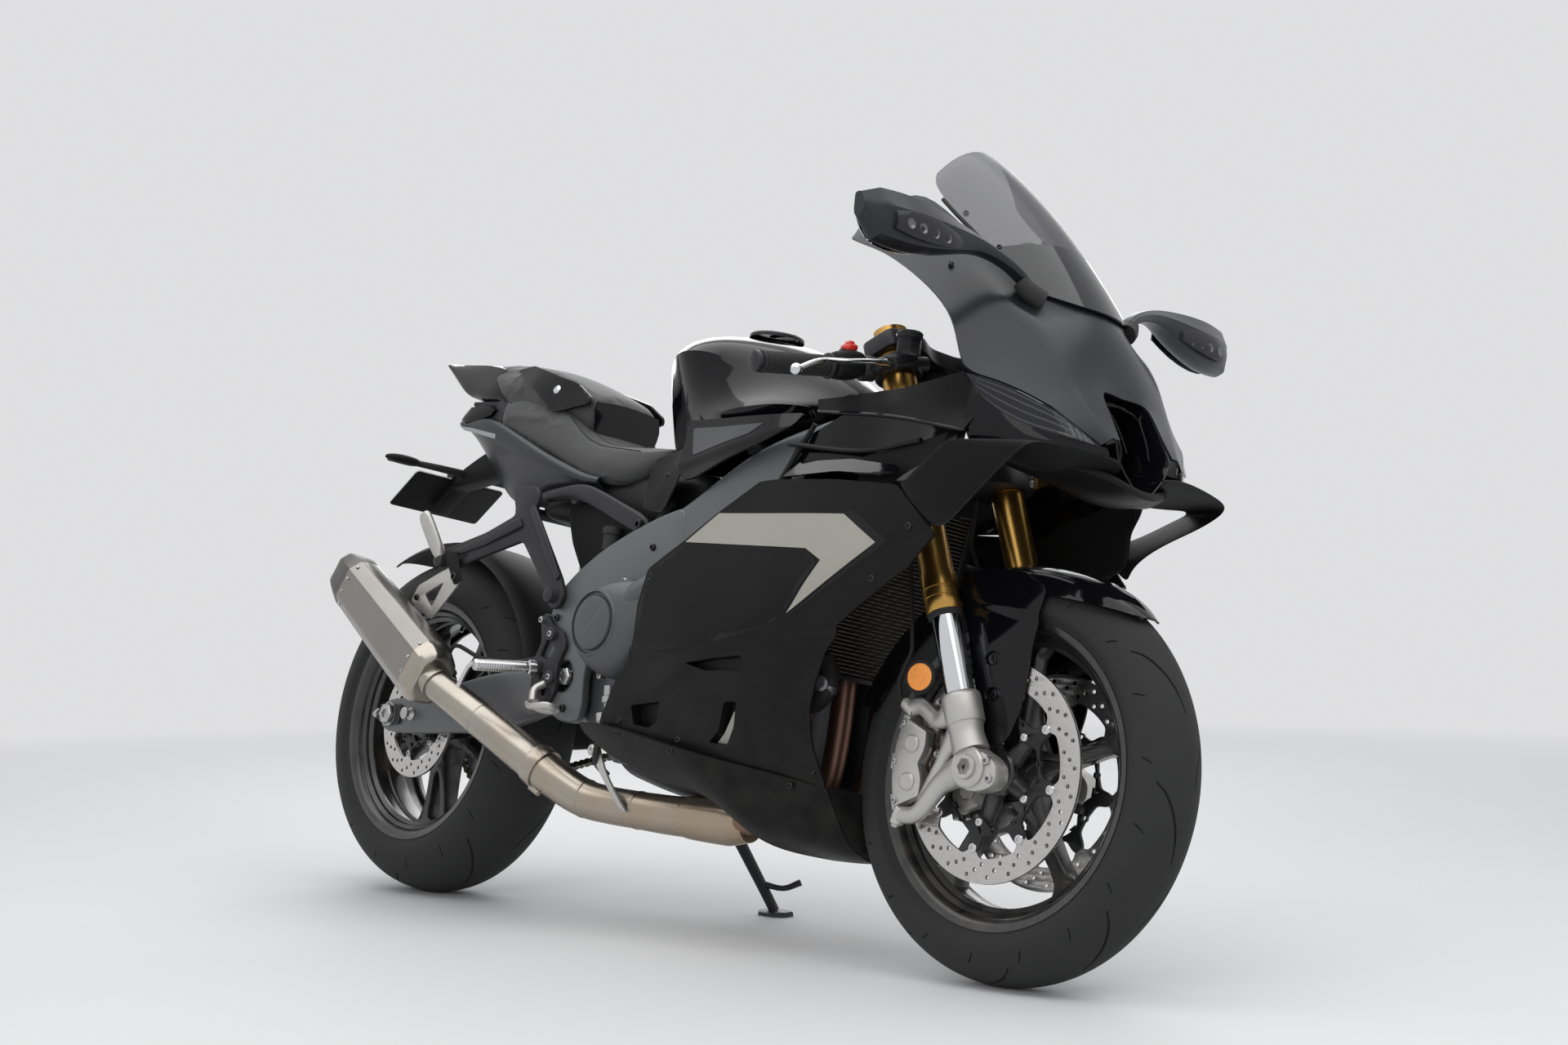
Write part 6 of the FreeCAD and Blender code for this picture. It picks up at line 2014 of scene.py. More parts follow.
@dataclass
class Mirrors:
    """Mirrors on sculpted arms, each with an indicator under a smoked lens in its front."""

    rows: Sequence[tuple[float, float, float, float, float]] = (
        (112, 1416, 1440, 986, 1006), (126, 1412, 1438, 1004, 1022), (160, 1402, 1428, 1022, 1040),
        (205, 1388, 1420, 1030, 1056), (245, 1374, 1420, 1018, 1066), (300, 1369, 1424, 998, 1074),
        (360, 1368, 1420, 988, 1078), (405, 1368, 1406, 994, 1074), (428, 1368, 1388, 1024, 1062))

    def housing(self) -> Draft:
        """Arm and housing as one closed shape.

        Returns:
            The shape.
        """
        hoops = []
        for out, back, front, low, high in self.rows:
            tall = high - low
            hoops.append([(back, -out, low + tall * 0.08), ((back + front) / 2, -out, low),
                          (front - 3, -out, low + tall * 0.12), (front, -out, low + tall * 0.32),
                          (front - 2, -out, low + tall * 0.66),
                          (back + (front - back) * 0.62, -out, high - tall * 0.04),
                          (back + 3, -out, high), (back, -out, high - tall * 0.1)])
        return Draft().grid(hoops, around=True, ends=True, crease_rows=(7, 8),
                            crease_cols=(2, 4, 5, 7), crease=1.0)

    def build(self) -> None:
        """Make the housings, glasses and indicators."""
        piece("mirror_housings", self.housing().both(), COWL, ["mirrors"], smooth=2, angle=24)
        glass = Draft().grid([[(1367.6, -y, z) for z in zs] for y, zs in
                              ((255, (1022, 1040, 1058)), (300, (1004, 1036, 1068)),
                               (360, (994, 1036, 1072)), (405, (1000, 1036, 1066)),
                               (420, (1024, 1042, 1056)))])
        piece("mirror_glasses", glass.both(), MIRROR_GLASS, smooth=1, thick=1.5)
        lens, bed, leds = Draft(), Draft(), Draft()
        rows = ((262, 1421, 1020, 1036), (290, 1425, 1012, 1044), (330, 1426, 1008, 1047),
                (365, 1421, 1008, 1046), (388, 1414, 1014, 1040))
        lens.grid([[(x + 2.5, -y, low), (x + 6, -y, (low + high) / 2), (x - 1, -y, high)]
                   for y, x, low, high in rows])
        bed.grid([[(x - 3, -y, low + 2), (x - 5, -y, (low + high) / 2), (x - 7, -y, high - 2)]
                  for y, x, low, high in rows])
        for y in (290, 315, 340, 365):
            leds.turn([(-6, 7), (-2, 7.4), (-3, 5), (-5, 3), (-5, 0.1)], (1424, -y, 1027),
                      (1, -0.1, 0.1), 20)
        piece("mirror_indicator_lenses", lens.both(), SMOKED_LENS, smooth=1, thick=1.5)
        piece("mirror_indicator_beds", bed.both(), DUCT, smooth=1, thick=1.5)
        piece("mirror_indicator_cups", leds.both(), REFLECTOR_CUP)
        boots = Draft().tube([(1440, -100, 984), (1432, -118, 994), (1424, -132, 1008)],
                             (17, 15, 12), 16)
        piece("mirror_boots", boots.both(), RUBBER)


@dataclass
class SidePanels:
    """Large side fairings with their slots, decal bands, front strips and wedges."""

    outline: Flat = ((1023, 704), (1060, 706), (1200, 700), (1319, 689), (1362, 652), (1399, 616),
                     (1350, 568), (1301, 535), (1230, 487), (1190, 447), (1166, 404), (1148, 364),
                     (1142, 310), (1142, 253), (972, 277), (840, 299), (701, 320), (693, 322),
                     (721, 379), (769, 447), (771, 513), (789, 569), (870, 613), (945, 660))
    band: Flat = ((944, 656), (1226, 647), (1295, 604), (1128, 499), (1192, 578), (1158, 596),
                  (875, 611))
    matt: Flat = ((872, 606), (1157, 591), (1185, 575), (1120, 498), (1089, 479), (968, 453),
                  (800, 430), (776, 450), (778, 512), (795, 566))
    slot: Flat = ((902, 421), (960, 430), (1025, 436), (1035, 424), (1020, 413), (946, 411))
    port: Flat = ((770, 352), (839, 361), (832, 330), (812, 318), (773, 322))
    vent: Flat = ((990, 366), (1016, 367), (1004, 330), (984, 301), (948, 303), (972, 322))

    def relief(self) -> Relief:
        """The panel's distance out over its side view.

        Returns:
            The relief.
        """
        points = [(1023, 704, 222), (1150, 706, 229), (1319, 690, 227), (1399, 616, 223),
                  (1301, 535, 225), (1230, 487, 224), (1190, 447, 215), (1148, 364, 192),
                  (1142, 310, 170), (1142, 253, 132), (1060, 262, 158), (972, 277, 190),
                  (840, 299, 207), (701, 320, 213), (721, 379, 219), (769, 447, 220),
                  (771, 513, 222), (789, 569, 225), (870, 613, 227), (1000, 560, 235),
                  (1150, 590, 236), (1100, 480, 234), (960, 470, 234), (1000, 390, 225),
                  (860, 380, 224), (1080, 350, 206), (900, 520, 235)]
        return Relief(points, [step_across((740, 428), (1005, 455), -10.0, 12.0),
                               step_across((1005, 455), (1150, 525), -3.5, 24.0)])

    def decal(self, name: str, outline: Flat, relief: Relief, finish: Finish,
              lift: float) -> None:
        """Thin decal that follows the panel."""
        sheet = shell(outline, relief, (), 14, lift)
        piece(name, sheet.both(), finish, slot="satin_black", thick=0.5)

    def build(self) -> None:
        """Make the panels and everything fixed to them."""
        relief = self.relief()
        holes = [rounded(h, 5, 3) for h in (self.slot, self.port, self.vent)]
        panel = shell(rounded(self.outline, 6, 2), relief, holes, 12)
        piece("side_fairing_panels", panel.both(), SATIN, ["side_fairings"], thick=4)
        self.decal("side_matt_fields", rounded(self.matt, 5, 2), relief, MATTE, 2.2)
        edge = ((1226, 647), (1240, 654), (1318, 606), (1120, 486), (1295, 604))
        self.decal("side_dark_chevrons", edge, relief, GLOSS, 2.3)
        self.decal("side_decal_bands", self.band, relief, BAND, 2.6)
        self.openings(relief)
        self.wedge()
        bolts = Draft()
        for x, z in ((1352, 628), (795, 548), (1128, 275), (880, 303), (740, 327), (1290, 552)):
            out = relief.at(x, z)
            bolt(bolts, (x, -out - 1.5, z), (0, -1, 0), 5.5, 2.0)
        piece("side_panel_bolts", bolts.both(), BLACK_BOLT)

    def openings(self, relief: Relief) -> None:
        """Inner walls behind the panel's openings.

        Args:
            relief: The panel's relief.
        """
        walls = Draft()
        for outline, deep in ((self.slot, 16), (self.port, 20), (self.vent, 18)):
            rim = rounded(outline, 5, 3)
            rows = [[(x, -relief.at(x, z) + d, z) for x, z in rim] for d in (1.0, deep)]
            walls.grid(rows, around=True)
            walls.add(shell(rim, lambda x, z, d=deep: relief.at(x, z) - d, (), 20))
        piece("side_opening_walls", walls.both(), DUCT, angle=50)
        lip = ((1000, 352), (1012, 354), (984, 303), (958, 304), (974, 318))
        wall = shell(lip, lambda x, z: relief.at(x, z) - 8, (), 12)
        piece("side_vent_lips", wall.both(), BAND, thick=1.0)

    def wedge(self) -> None:
        """Wedges under the bars with the dark ducts behind them."""
        outline = ((1133, 826), (1200, 827), (1300, 833), (1380, 841), (1424, 849), (1448, 806),
                   (1436, 764), (1421, 768), (1298, 792), (1141, 808))
        relief = Relief([(1133, 826, 226), (1300, 833, 222), (1424, 849, 228), (1448, 806, 204),
                         (1436, 764, 226), (1298, 792, 230), (1141, 808, 229), (1290, 812, 228)])
        piece("bar_wedges", shell(rounded(outline, 3, 2), relief, (), 12).both(), SATIN,
              ["upper_side_fairings"], thick=4)
        edge = Draft().tube([(1141, -231, 806), (1298, -232, 790), (1421, -231, 766),
                             (1440, -229, 762)], (3.0, 3.4, 3.2, 2.0), 8)
        piece("bar_wedge_edges", edge.both(), GLOSS)
        duct = ((1030, 700), (1322, 690), (1424, 764), (1424, 800), (1300, 812), (1150, 812),
                (1052, 776))
        hollow = Relief([(1030, 700, 196), (1322, 690, 205), (1424, 764, 215), (1300, 812, 190),
                         (1150, 812, 185), (1052, 776, 180), (1200, 745, 168), (1320, 750, 185)])
        piece("side_duct_panels", shell(rounded(duct, 8, 3), hollow, (), 14).both(), GLOSS,
              thick=3)
        glaze = ((1060, 712), (1180, 716), (1300, 706), (1296, 722), (1190, 738), (1080, 738))
        bulge = Relief([(1060, 712, 212), (1300, 706, 216), (1190, 738, 196), (1080, 738, 196),
                        (1180, 716, 214)])
        piece("side_duct_lips", shell(rounded(glaze, 5, 3), bulge, (), 40).both(), GLOSS, thick=3)
        ribs = Draft()
        ribs.tube([(1040, -200, 704), (1060, -192, 748), (1090, -186, 800)], (5, 5, 4), 8)
        ribs.tube([(1050, -198, 768), (1200, -190, 752), (1330, -200, 760)], (4, 4, 4), 8)
        piece("side_duct_ribs", ribs.both(), DUCT)


@dataclass
class BellyPan:
    """Lower fairing, open under the exhaust and closed ahead."""

    rows: Stations = (
        (645, ((206, 318), (202, 313), (198, 309), (194, 305))),
        (700, ((214, 319.5), (206, 303), (196, 287), (184, 272))),
        (760, ((213, 311), (205, 292), (194, 272), (178, 257))),
        (817, ((212.6, 302), (203, 281), (190, 260), (170, 245))),
        (870, ((211, 294), (201, 273), (187, 252), (166, 236))),
        (913, ((208, 287.5), (198, 264), (182, 243), (160, 227))),
        (957, ((193, 280), (185, 250), (170, 224), (148, 205))),
        (985, ((181, 275.8), (171, 236), (150, 198), (118, 175))),
        (1010, ((172, 272.5), (160, 224), (128, 176), (70, 154))),
        (1060, ((152, 265.6), (140, 214), (104, 167), (0, 150))),
        (1110, ((132, 258), (114, 206), (82, 165), (0, 150))),
        (1143, ((118, 253.5), (84, 204), (52, 166), (0, 152))))

    def build(self) -> None:
        """Make the pan, its closed nose and its bolts."""
        draft = Draft().grid(half_rows(self.rows), crease_rows=(0, 11), crease_cols=(0, 3))
        piece("belly_pan_skin", draft.both(), SATIN, ["belly_pan"], smooth=2, thick=4)
        nose = Draft().grid((((1143, -118, 253.5), (1150, -60, 252), (1152, 0, 251)),
                             ((1143, -84, 204), (1158, -46, 200), (1162, 0, 198)),
                             ((1143, -52, 166), (1154, -30, 160), (1158, 0, 158)),
                             ((1143, 0, 152), (1146, 0, 152), (1148, 0, 152))))
        piece("belly_pan_nose", nose.both(), SATIN, smooth=1, thick=4)
        bolts = Draft()
        for x, out, z in ((1090, 141, 250), (880, 206, 285), (750, 210, 306)):
            bolt(bolts, (x, -out - 2.5, z), (0, -1, -0.1), 5.5, 2)
        piece("belly_pan_bolts", bolts.both(), BLACK_BOLT)


@dataclass
class Tank:
    """Tank cover with knee recesses, its flush cap and its side covers."""

    rows: Stations = (
        (1012, ((50, 806), (84, 820), (120, 847), (100, 857), (70, 872), (40, 895), (0, 902))),
        (985, ((58, 800), (108, 815), (143, 848), (120, 863), (88, 884), (54, 914), (0, 926))),
        (940, ((64, 796), (128, 812), (153, 850), (132, 870), (100, 898), (68, 938), (0, 956))),
        (880, ((70, 788), (134, 806), (155, 848), (132, 874), (108, 918), (82, 964), (0, 986))),
        (820, ((70, 778), (128, 800), (150, 844), (130, 882), (118, 934), (94, 978), (0, 1001))),
        (760, ((66, 772), (104, 798), (124, 840), (133, 892), (146, 955), (106, 990), (0, 1010))),
        (712, ((64, 770), (88, 798), (104, 840), (132, 894), (157, 954), (110, 994), (0, 1012))),
        (675, ((60, 772), (80, 800), (92, 842), (114, 892), (138, 952), (102, 992), (0, 1008))),
        (632, ((50, 778), (66, 805), (76, 842), (90, 890), (104, 950), (88, 988), (0, 999))),
        (604, ((44, 784), (56, 806), (66, 842), (78, 886), (86, 938), (64, 974), (0, 984))))

    def cover(self) -> Draft:
        """The tank cover's skin.

        Returns:
            The skin.
        """
        rows = half_rows(self.rows)
        draft = Draft().grid(rows, crease_cols=(2, 4), crease=0.6)
        for k in (0, len(rows) - 1):
            x, corners = self.rows[k]
            push = 6 if k == 0 else -5
            inner = [(x + push, -y * 0.5, z * 0.5 + 440) for y, z in corners]
            draft.grid([rows[k], inner, [(x + push, 0, 870)] * 7])
        for a, b in ((6, 7), (7, 8)):
            draft.creases[(a * 7 + 4, b * 7 + 4)] = 0.9
        draft.grid([[(x, -corners[0][0], corners[0][1]) for x, corners in self.rows],
                    [(x, 0, corners[0][1] - 4) for x, corners in self.rows]])
        return draft.both()

    def cap(self) -> None:
        """Flush filler cap with its ring and screws."""
        at, axis = (772, 0, 1008), (0.02, 0, 1)
        ring, lid, screws = Draft(), Draft(), Draft()
        ring.turn([(-4, 47), (1, 47), (3.2, 45), (3.2, 37), (1.5, 36)], at, axis, 56)
        lid.turn([(1.5, 36), (3.4, 34), (4.4, 20), (4.6, 0.1)], at, axis, 56)
        for k in range(6):
            a = math.radians(60 * k)
            bolt(screws, (at[0] + 41 * math.cos(a), 41 * math.sin(a), at[2] + 3), axis, 3.2, 1.8)
        lid.tube([(758, 0, 1012.5), (786, 0, 1012)], 5.5, 16, 1, 0.35)
        piece("filler_cap_ring", ring, BLACK_ALLOY, slot="gloss_black")
        piece("filler_cap_lid", lid, GLOSS)
        piece("filler_cap_screws", screws, ZINC)

    def sides(self) -> None:
        """Covers below the tank, with their glossy insets."""
        outline = ((764, 829), (860, 827), (960, 826), (1040, 825), (1024, 806), (966, 784),
                   (866, 752), (800, 730), (770, 727), (756, 748))
        relief = Relief([(764, 829, 152), (1040, 825, 158), (966, 784, 172), (800, 730, 166),
                         (756, 748, 160), (870, 800, 164), (870, 770, 170)],
                        [step_across((1040, 800), (770, 750), 5.0, 16.0)])
        piece("tank_side_covers_skin", shell(rounded(outline, 8, 3), relief, (), 10).both(), GLOSS,
              ["tank_side_covers"], thick=4)
        inset = ((778, 815), (860, 812), (960, 812), (930, 796), (860, 782), (792, 768))
        sheet = shell(rounded(inset, 6, 3), relief, (), 10, 2.6)
        piece("tank_side_insets", sheet.both(), SCREEN_FACE, thick=0.8)
        filler = ((700, 800), (764, 829), (756, 748), (700, 680), (640, 690), (604, 740),
                  (604, 785))
        relief = Relief([(700, 800, 104), (764, 829, 150), (756, 748, 156), (700, 680, 140),
                         (640, 690, 130), (604, 785, 88), (604, 740, 100), (690, 745, 128)])
        piece("knee_covers", shell(rounded(filler, 8, 3), relief, (), 12).both(), MATTE, thick=3)
        bolts = Draft()
        bolt(bolts, (690, -129, 745), (0, -1, 0.1), 5.5, 2)
        piece("knee_cover_bolts", bolts.both(), BLACK_BOLT)

    def build(self) -> None:
        """Make the tank unit."""
        piece("tank_cover", self.cover(), GLOSS, ["fuel_tank"], smooth=2)
        self.cap()
        self.sides()


@dataclass
class Seats:
    """Rider's seat and the raised rear seat, both padded."""

    rider: Stations = (
        (602, ((0, 790), (48, 790), (60, 800), (52, 818), (0, 826))),
        (564, ((0, 738), (98, 740), (110, 764), (86, 806), (0, 818))),
        (500, ((0, 746), (110, 748), (120, 776), (102, 810), (0, 818))),
        (446, ((0, 752), (114, 755), (122, 782), (104, 816), (0, 822))),
        (385, ((0, 776), (112, 778), (119, 808), (100, 848), (0, 852))),
        (330, ((0, 798), (108, 800), (114, 836), (90, 888), (0, 890))),
        (270, ((0, 820), (104, 820), (110, 854), (87, 904), (0, 904))),
        (210, ((0, 842), (99, 844), (104, 876), (85, 922), (0, 922))),
        (140, ((0, 864), (94, 866), (97, 896), (84, 934), (0, 934))))
    rear: Stations = (
        (397, ((0, 846), (70, 846), (80, 880), (72, 906), (0, 914))),
        (380, ((0, 850), (76, 850), (84, 884), (76, 916), (0, 927))),
        (330, ((0, 862), (82, 862), (88, 896), (76, 938), (0, 951))),
        (270, ((0, 874), (86, 876), (90, 916), (75, 960), (0, 974))),
        (200, ((0, 892), (87, 894), (89, 938), (74, 980), (0, 991))),
        (127, ((0, 906), (90, 908), (90, 950), (68, 989), (0, 999))),
        (96, ((0, 930), (88, 932), (86, 958), (66, 994), (0, 1004))),
        (62, ((0, 975), (72, 976), (72, 984), (58, 1000), (0, 1006))))

    edges: tuple[int, ...] = (1, 3, 5, 7)
    voxel: float = 0.006
    cap: float = 0.004

    def pad(self, name: str, rows: Stations,
            finish: Finish, nodes: Sequence[str], fill: float) -> bpy.types.Object:
        """Padded seat: a cage swelled with cloth, then smoothed.

        Args:
            name: The seat's name.
            rows: Its cage.
            finish: Its cover.
            nodes: CAD nodes that it stands for.
            fill: How full it is; not used.

        Returns:
            The seat.
        """
        hoops = []
        for x, corners in rows:
            right = [(x, -out, z) for out, z in corners[1:]]
            left = [(x, out, z) for out, z in reversed(corners[1:-1])]
            hoops.append([(x, 0, corners[0][1])] + right + left)
        draft = Draft().grid(hoops, around=True, ends=True, crease_rows=(0, len(rows) - 1),
                             crease_cols=self.edges, crease=0.6)
        seat = piece(name, draft, finish, nodes, slot="seat_cover", smooth=3)
        self.swell(seat)
        return seat

    def swell(self, seat: bpy.types.Object) -> None:
        """Swell a seat under its cover with a short cloth run, and keep the result.

        Args:
            seat: The seat, in its place.
        """
        trial = loose("trial", seat.data.copy())
        net = trial.modifiers.new("net", "REMESH")
        net.mode = "VOXEL"
        net.voxel_size = self.voxel
        trial = loose("trial", baked(trial))
        before = [v.co.copy() for v in trial.data.vertices]
        cloth = trial.modifiers.new("cloth", "CLOTH")
        settings = cloth.settings
        settings.quality = 5
        settings.mass = 0.35
        settings.tension_stiffness = settings.compression_stiffness = 22
        settings.use_pressure = True
        settings.uniform_pressure_force = 4.0
        settings.effector_weights.gravity = 0.0
        cloth.point_cache.frame_start, cloth.point_cache.frame_end = 1, 20
        for frame in range(1, 21):
            bpy.context.scene.frame_set(frame)
        mesh = baked(trial)
        bpy.context.scene.frame_set(1)
        for vert, start in zip(mesh.vertices, before):
            move = vert.co - start
            if move.length > self.cap:
                vert.co = start + move.normalized() * self.cap
        smooth = loose("smooth", mesh)
        change = smooth.modifiers.new("smooth", "SUBSURF")
        change.levels = change.render_levels = 1
        mesh = baked(smooth)
        mesh.materials.clear()
        mesh.materials.append(seat.data.materials[0])
        mesh.shade_smooth()
        seat.data = mesh
        LOG.info("%s swollen: %d faces", seat.name, len(mesh.polygons))

    def build(self) -> None:
        """Make both seats, their seams and the hump's inset."""
        rider = self.pad("rider_seat_pad", self.rider, SEAT, ["rider_seat"], 0.7)
        self.pad("rear_seat_pad", self.rear, SEAT, ["passenger_seat"], 0.75)
        seams = Draft()
        for path, radius in ((((552, -90, 820), (500, -98, 822), (446, -100, 828), (392, -98, 856),
                               (350, -92, 880)), 1.5),
                             (((548, -58, 826), (500, -66, 828), (446, -70, 832), (404, -68, 850)),
                              1.3)):
            line = [PLACE @ Vector(p) for p in curve_through(path, 5)]
            seams.tube([PLACE.inverted() @ rider.closest_point_on_mesh(p)[1] for p in line],
                       radius, 8)
        piece("seat_seams", seams.both(), RUBBER, slot="seat_cover")
        plate_at = ((156, 976), (209, 981), (354, 937), (397, 909), (396, 897), (336, 887),
                    (304, 885), (229, 938))
        relief = Relief([(156, 976, 76), (209, 979, 78), (354, 935, 82), (397, 904, 83),
                         (336, 887, 92), (304, 885, 94), (229, 938, 93), (300, 925, 91)])
        inset = shell(rounded(plate_at, 8, 3), relief, (), 10, 3)
        piece("hump_insets", inset.both(), GLOSS, thick=5, bevel=0.0012)
        front = Draft().grid((((398, -70, 850), (400, 0, 848), (398, 70, 850)),
                              ((399, -80, 880), (402, 0, 880), (399, 80, 880)),
                              ((397, -72, 904), (399, 0, 912), (397, 72, 904))))
        piece("hump_front", front, GLOSS, smooth=1, thick=3)
        stud = Draft()
        at = (303, -92, 927)
        stud.turn([(-3, 9), (3, 9), (5, 7.5), (6, 4), (6, 0.1)], at, (0, -1, 0.35), 28)
        piece("hump_studs", stud.both(), CHROME)


@dataclass
class TailUnit:
    """Tail cowl with its lamp, plate hanger, indicators and blank plate."""

    rows: Stations = (
        (486, ((92, 734), (108, 738), (117, 745), (116, 750), (110, 754))),
        (440, ((88, 728), (110, 736), (120, 750), (119, 757), (112, 762))),
        (370, ((84, 732), (106, 745), (121, 768), (120, 781), (112, 786))),
        (300, ((80, 738), (104, 758), (119, 792), (116, 808), (108, 812))),
        (232, ((72, 728), (92, 756), (113, 812), (110, 834), (102, 839))),
        (190, ((66, 722), (86, 762), (108, 830), (105, 852), (96, 856))),
        (130, ((64, 768), (84, 806), (103, 854), (99, 874), (90, 880))),
        (70, ((62, 826), (78, 846), (97, 870), (93, 890), (84, 896))),
        (6, ((56, 874), (70, 878), (88, 880), (84, 888), (70, 894))))
    upper: Stations = (
        (158, ((84, 902), (80, 930), (60, 960), (0, 970))),
        (124, ((94, 911), (92, 940), (72, 978), (0, 990))),
        (80, ((92, 916), (88, 948), (66, 992), (0, 1001))),
        (28, ((86, 921), (80, 958), (62, 1001), (0, 1008))),
        (-40, ((72, 967), (68, 984), (56, 1006), (0, 1012))),
        (-112, ((56, 1011), (54, 1013), (44, 1016), (0, 1018))))

    def build(self) -> None:
        """Make the tail, its lights and the plate hanger."""
        rows = half_rows(self.rows)
        draft = Draft().grid(rows, crease_rows=(0, 8), crease_cols=(0, 2, 4), crease=0.7)
        piece("tail_side_panels", draft.both(), COWL, ["tail_cowl"], slot="gloss_black", smooth=2,
              thick=4)
        top = Draft().grid(half_rows(self.upper), crease_rows=(0, 5), crease_cols=(0, 2),
                           crease=0.8)
        top.grid([[(x, -corners[0][0], corners[0][1]), (x + 4, 0, corners[0][1] + 3)]
                  for x, corners in self.upper])
        piece("tail_top", top.both(), GLOSS, smooth=2, thick=3)
        lip = Draft()
        rows = []
        for y, out in ((-50, 0.0), (-80, 0.0), (-92, 0.5), (-97, 1.0)):
            rows.append([(-4 + 26 * out, y, 887 + 3 * out), (40, y, 916 - 6 * out),
                         (118, y, 916 - 4 * out), (128, y, 888), (10 + 20 * out, y, 880)])
        lip.grid(rows, around=True, ends=True, crease_cols=(0, 1, 4), crease=0.8)
        piece("tail_shelves", lip.both(), GLOSS, smooth=1)
        core = Draft().grid((((22, 0, 884), (22, -80, 886), (34, -82, 922), (34, 0, 924)),
                             ((170, 0, 868), (170, -88, 868), (160, -88, 915), (160, 0, 930))))
        piece("tail_core", core.both(), MATTE, thick=3)
        tray = [[(x, -corners[0][0] * 0.98, corners[0][1] + 3), (x, 0, corners[0][1] + 10)]
                for x, corners in self.rows[1:8]]
        piece("tail_under_tray", Draft().grid(tray).both(), MATTE, smooth=1, thick=3)
        self.lights()
        self.hanger()

    def lights(self) -> None:
        """Tail lamp and indicators."""
        lens = Draft().grid((((10, -44, 884), (9, 0, 882), (10, 44, 884)),
                             ((18, -46, 900), (14, 0, 898), (18, 46, 900)),
                             ((30, -44, 918), (26, 0, 916), (30, 44, 918))))
        piece("tail_lamp_lens", lens, RED_LENS, ["rear_lights"], smooth=1, thick=16)
        # The side strips' pale grey is partly a painted highlight.
        strips = Draft()
        strips.grid((((4, -87.5, 878), (60, -97, 868), (149, -104.5, 850)),
                     ((22, -86, 868), (66, -96, 859), (149, -105, 841))))
        piece("tail_side_strips", strips.both(), STRIP, thick=3)
        stalks, pods, glass = Draft(), Draft(), Draft()
        stalks.tube([(-62, -18, 800), (-70, -70, 801), (-78, -118, 801)], (8, 7, 6), 12)
        hoops = []
        for y, size in ((108, 0.35), (122, 0.9), (150, 1.0), (176, 0.8), (190, 0.3)):
            hoops.append([(-78 + dx * size, -y, 801 + dz * size) for dx, dz in
                          ((-20, -3), (-8, -9), (12, -10), (22, -1), (14, 10), (-8, 10))])
        pods.grid(hoops, around=True, ends=True)
        glass.grid([[(-78 - 15 * s, -y, 802 + 6 * s), (-78 - 22 * s, -y, 799),
                     (-78 - 13 * s, -y, 795)] for y, s in ((124, 0.8), (150, 1.0), (176, 0.75))])
        piece("rear_indicator_stalks", stalks.both(), RUBBER)
        piece("rear_indicator_pods", pods.both(), MATTE, smooth=2)
        piece("rear_indicator_lenses", glass.both(), GLAZE, smooth=1, thick=1.5)

    def hanger(self) -> None:
        """Plate hanger, the blank plate and its backing."""
        side = ((60, 852), (88, 835), (112, 812), (20, 788), (-40, 778), (-88, 772), (-150, 724),
                (-158, 732), (-96, 788), (-60, 812), (-20, 830), (20, 846))
        draft = plate(rounded(side, 8, 3), -20, 20, bevel=4)
        draft.tube([(-96, -24, 800), (-96, 24, 800)], 12, 16)
        piece("plate_hanger_arm", draft, MATTE, ["plate_hanger"])
        top, foot = Vector((-90, 0, 789)), Vector((-173, 0, 726))
        along = (foot - top).normalized()
        out = Vector((along.z, 0, -along.x))
        out = out if out.x < 0 else -out
        matrix = Matrix((Vector((0, 1, 0)), -along, out)).transposed().to_4x4()
        matrix.translation = (top + foot) / 2 + out * 3
        length = (foot - top).length / 2
        corners = rounded(((-105, -length), (105, -length), (105, length), (-105, length)), 9, 4)
        holes = [circle(x, 0, 3, 12) for x in (-70, 70)]
        blank = drafted(flat_fill(corners, holes, 1.5, 0.5), matrix)
        piece("blank_plate", blank, WHITE, ["number_plate"])
        matrix.translation = (top + foot) / 2 + out * 0.6
        corners = rounded(((-104, -length + 1), (104, -length + 1), (104, length - 1),
                           (-104, length - 1)), 7, 3)
        backing = drafted(flat_fill(corners, (), 0.8, 0.3), matrix)
        piece("plate_backing", backing, MATTE)


